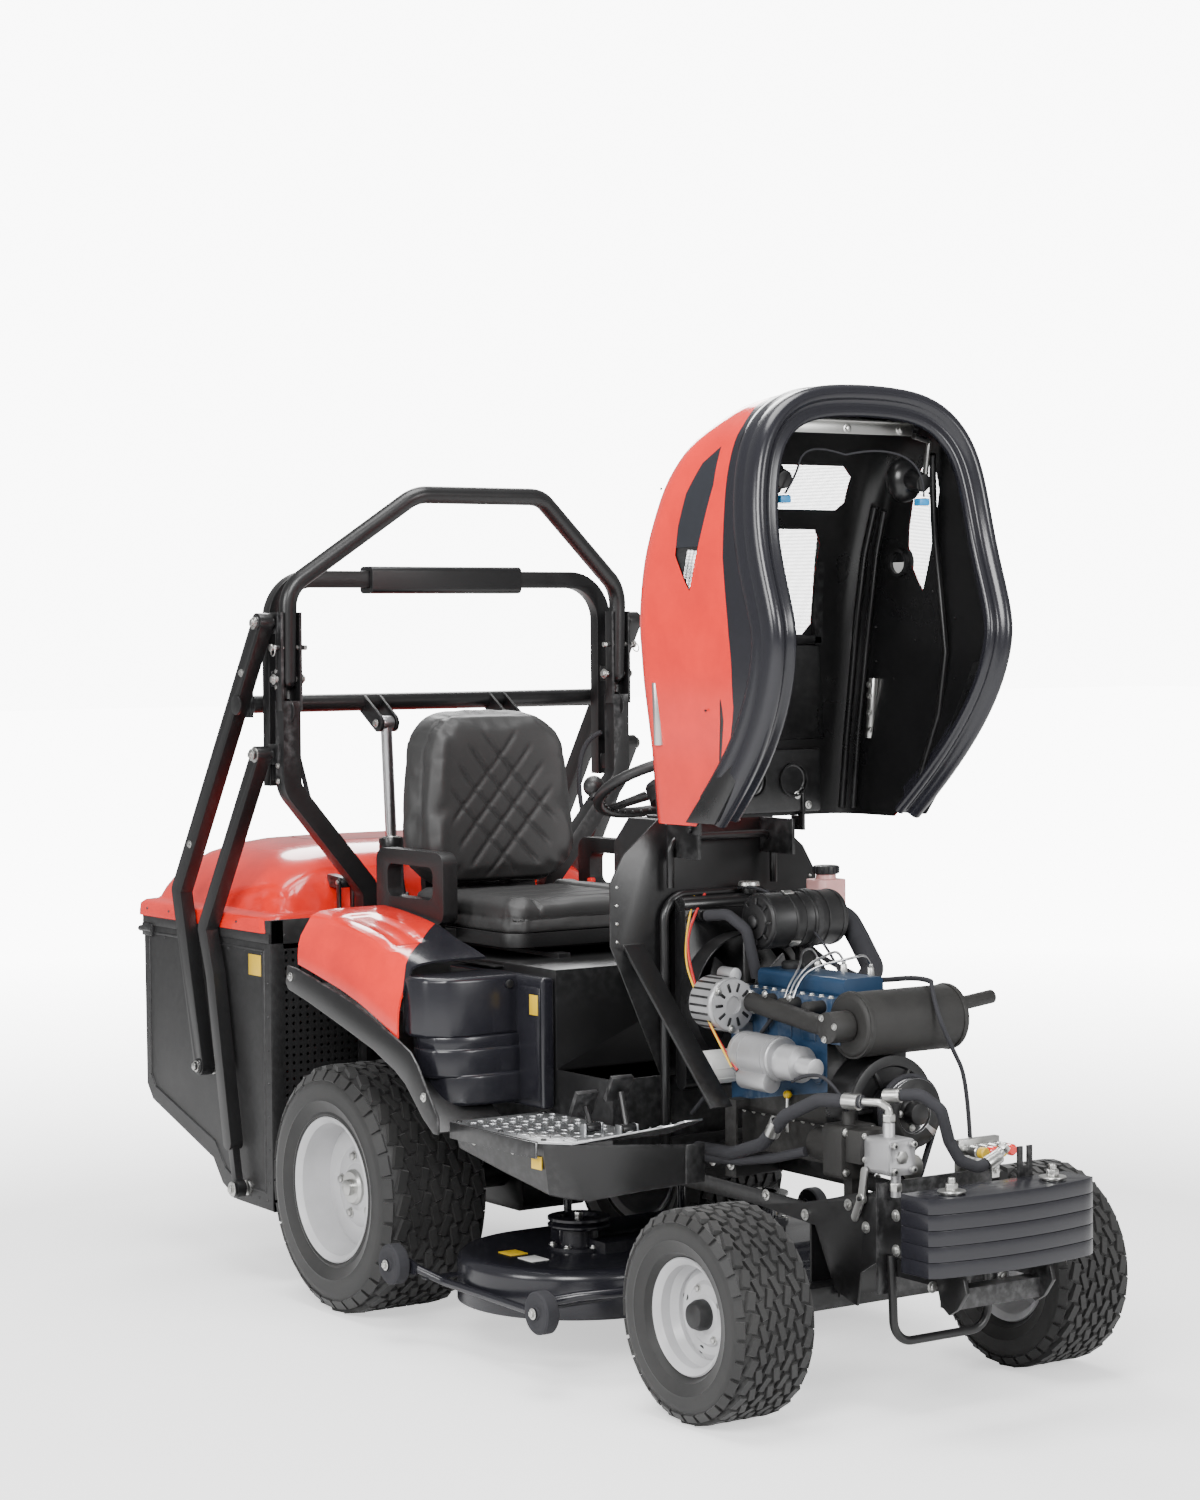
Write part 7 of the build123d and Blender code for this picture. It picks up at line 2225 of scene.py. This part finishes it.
# ------------------------------------------------------------------ stage
@dataclass
class Stage:
    """The pale floor, soft light and camera."""

    azimuth: float = 55.64
    pitch: float = 2.14
    roll: float = 0.46
    place: Point = (6741.94, -4386.65, 1672.64)
    lens: float = 75.55
    fill: float = 0.42
    sky: float = 9.0
    glow: float = 0.9

    def floor(self) -> None:
        """Lays a large pale floor that brightens with distance until it meets the surround."""
        bm = bmesh.new()
        bmesh.ops.create_grid(bm, x_segments=1, y_segments=1, size=60)
        mesh = bpy.data.meshes.new("floor")
        bm.to_mesh(mesh)
        bm.free()
        look = bpy.data.materials.new("pale_floor")
        look.use_nodes = True
        nodes = Nodes(look.node_tree)
        nodes.tree.nodes.clear()
        matt, glow, both, out = (nodes.add(kind) for kind in ("BsdfDiffuse", "Emission", "AddShader", "OutputMaterial"))
        nodes.feed(matt, "Color", (0.82, 0.82, 0.82, 1.0))
        reach = nodes.add("VectorMath", operation="LENGTH")
        nodes.feed(reach, 0, nodes.add("TexCoord").outputs["Object"])
        near = nodes.ramp(reach.outputs["Value"], 2.2, 9.0)
        seen = nodes.add("LightPath").outputs["Is Camera Ray"]
        nodes.feed(glow, "Strength", nodes.math("MULTIPLY", seen, nodes.math("ADD", self.glow, nodes.math("MULTIPLY", near, self.sky))))
        nodes.tree.links.new(matt.outputs[0], both.inputs[0])
        nodes.tree.links.new(glow.outputs[0], both.inputs[1])
        nodes.tree.links.new(both.outputs[0], out.inputs[0])
        mesh.materials.append(look)
        thing = bpy.data.objects.new("floor", mesh)
        thing.location = (0, 0, -0.001)
        bpy.context.scene.collection.objects.link(thing)

    def lights(self) -> None:
        """Adds broad area lights and an even surround that looks white to the camera."""
        world = bpy.data.worlds.new("surround")
        world.use_nodes = True
        nodes = Nodes(world.node_tree)
        seen = nodes.add("LightPath").outputs["Is Camera Ray"]
        back = nodes.tree.nodes["Background"]
        nodes.feed(back, "Color", (1.0, 1.0, 1.0, 1.0))
        nodes.feed(back, "Strength", nodes.math("ADD", self.fill, nodes.math("MULTIPLY", seen, self.sky)))
        bpy.context.scene.world = world
        for name, spot, power, size in (("key", (5.0, -5.0, 4.6), 520, 3.0), ("side", (0.5, -7.0, 3.0), 260, 2.6),
                                        ("front", (7.5, 1.5, 3.2), 300, 2.6), ("rim", (-5.0, 2.5, 5.0), 320, 3.0),
                                        ("top", (0.3, -0.6, 6.2), 420, 4.0)):
            data = bpy.data.lights.new(name, "AREA")
            data.energy, data.shape, data.size = power, "DISK", size
            lamp = bpy.data.objects.new(name, data)
            lamp.location = spot
            lamp.rotation_euler = (Vector((0, 0, 0.9)) - Vector(spot)).to_track_quat("-Z", "Y").to_euler()
            bpy.context.scene.collection.objects.link(lamp)

    def camera(self) -> None:
        """Places the main camera."""
        a, p, q = (math.radians(v) for v in (self.azimuth, self.pitch, self.roll))
        right = Vector((math.cos(a), math.sin(a), 0))
        ahead = Vector((-math.sin(a) * math.cos(p), math.cos(a) * math.cos(p), -math.sin(p)))
        up = Vector((-math.sin(a) * math.sin(p), math.cos(a) * math.sin(p), math.cos(p)))
        rolled, raised = right * math.cos(q) - up * math.sin(q), up * math.cos(q) + right * math.sin(q)
        data = bpy.data.cameras.new("main_camera")
        data.lens, data.sensor_width, data.clip_end = self.lens, 36, 100
        camera = bpy.data.objects.new("main_camera", data)
        camera.matrix_world = Matrix.Translation(Datum.at(self.place)) @ Matrix((rolled, raised, -ahead)).transposed().to_4x4()
        bpy.context.scene.collection.objects.link(camera)
        bpy.context.scene.camera = camera

    def build(self) -> None:
        """Builds the whole stage."""
        self.floor()
        self.lights()
        self.camera()


def main() -> None:
    """Builds every sub-assembly in order, then the stage."""
    logging.basicConfig(level=logging.INFO, format="%(name)s %(message)s")
    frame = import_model()
    FRAME.update(frame)
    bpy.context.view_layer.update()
    Datum.read()
    blocks = (44.0, 17.0, 7.0), (58.0, 21.0, 8.0)
    for side in ("left", "right"):
        TurfWheel(side, "front", 1401, 228, 446, 228, 204, 126, 82, 7, 30, blocks[0]).tyre()
        TurfWheel(side, "front", 1401, 228, 446, 228, 204, 126, 82, 7, 30, blocks[0]).rim()
        TurfWheel(side, "rear", 0, 306, 457, 306, 296, 180, 137, 8, 32, blocks[1]).tyre()
        TurfWheel(side, "rear", 0, 306, 457, 306, 296, 180, 137, 8, 32, blocks[1]).rim()
    for builder in (Running(), EngineBay(), Bodywork(), Deck(), Lift(), Collector(), Bonnet(), Seat(), Stage()):
        builder.build()
    bpy.context.view_layer.update()


if __name__ == "__main__":
    main()
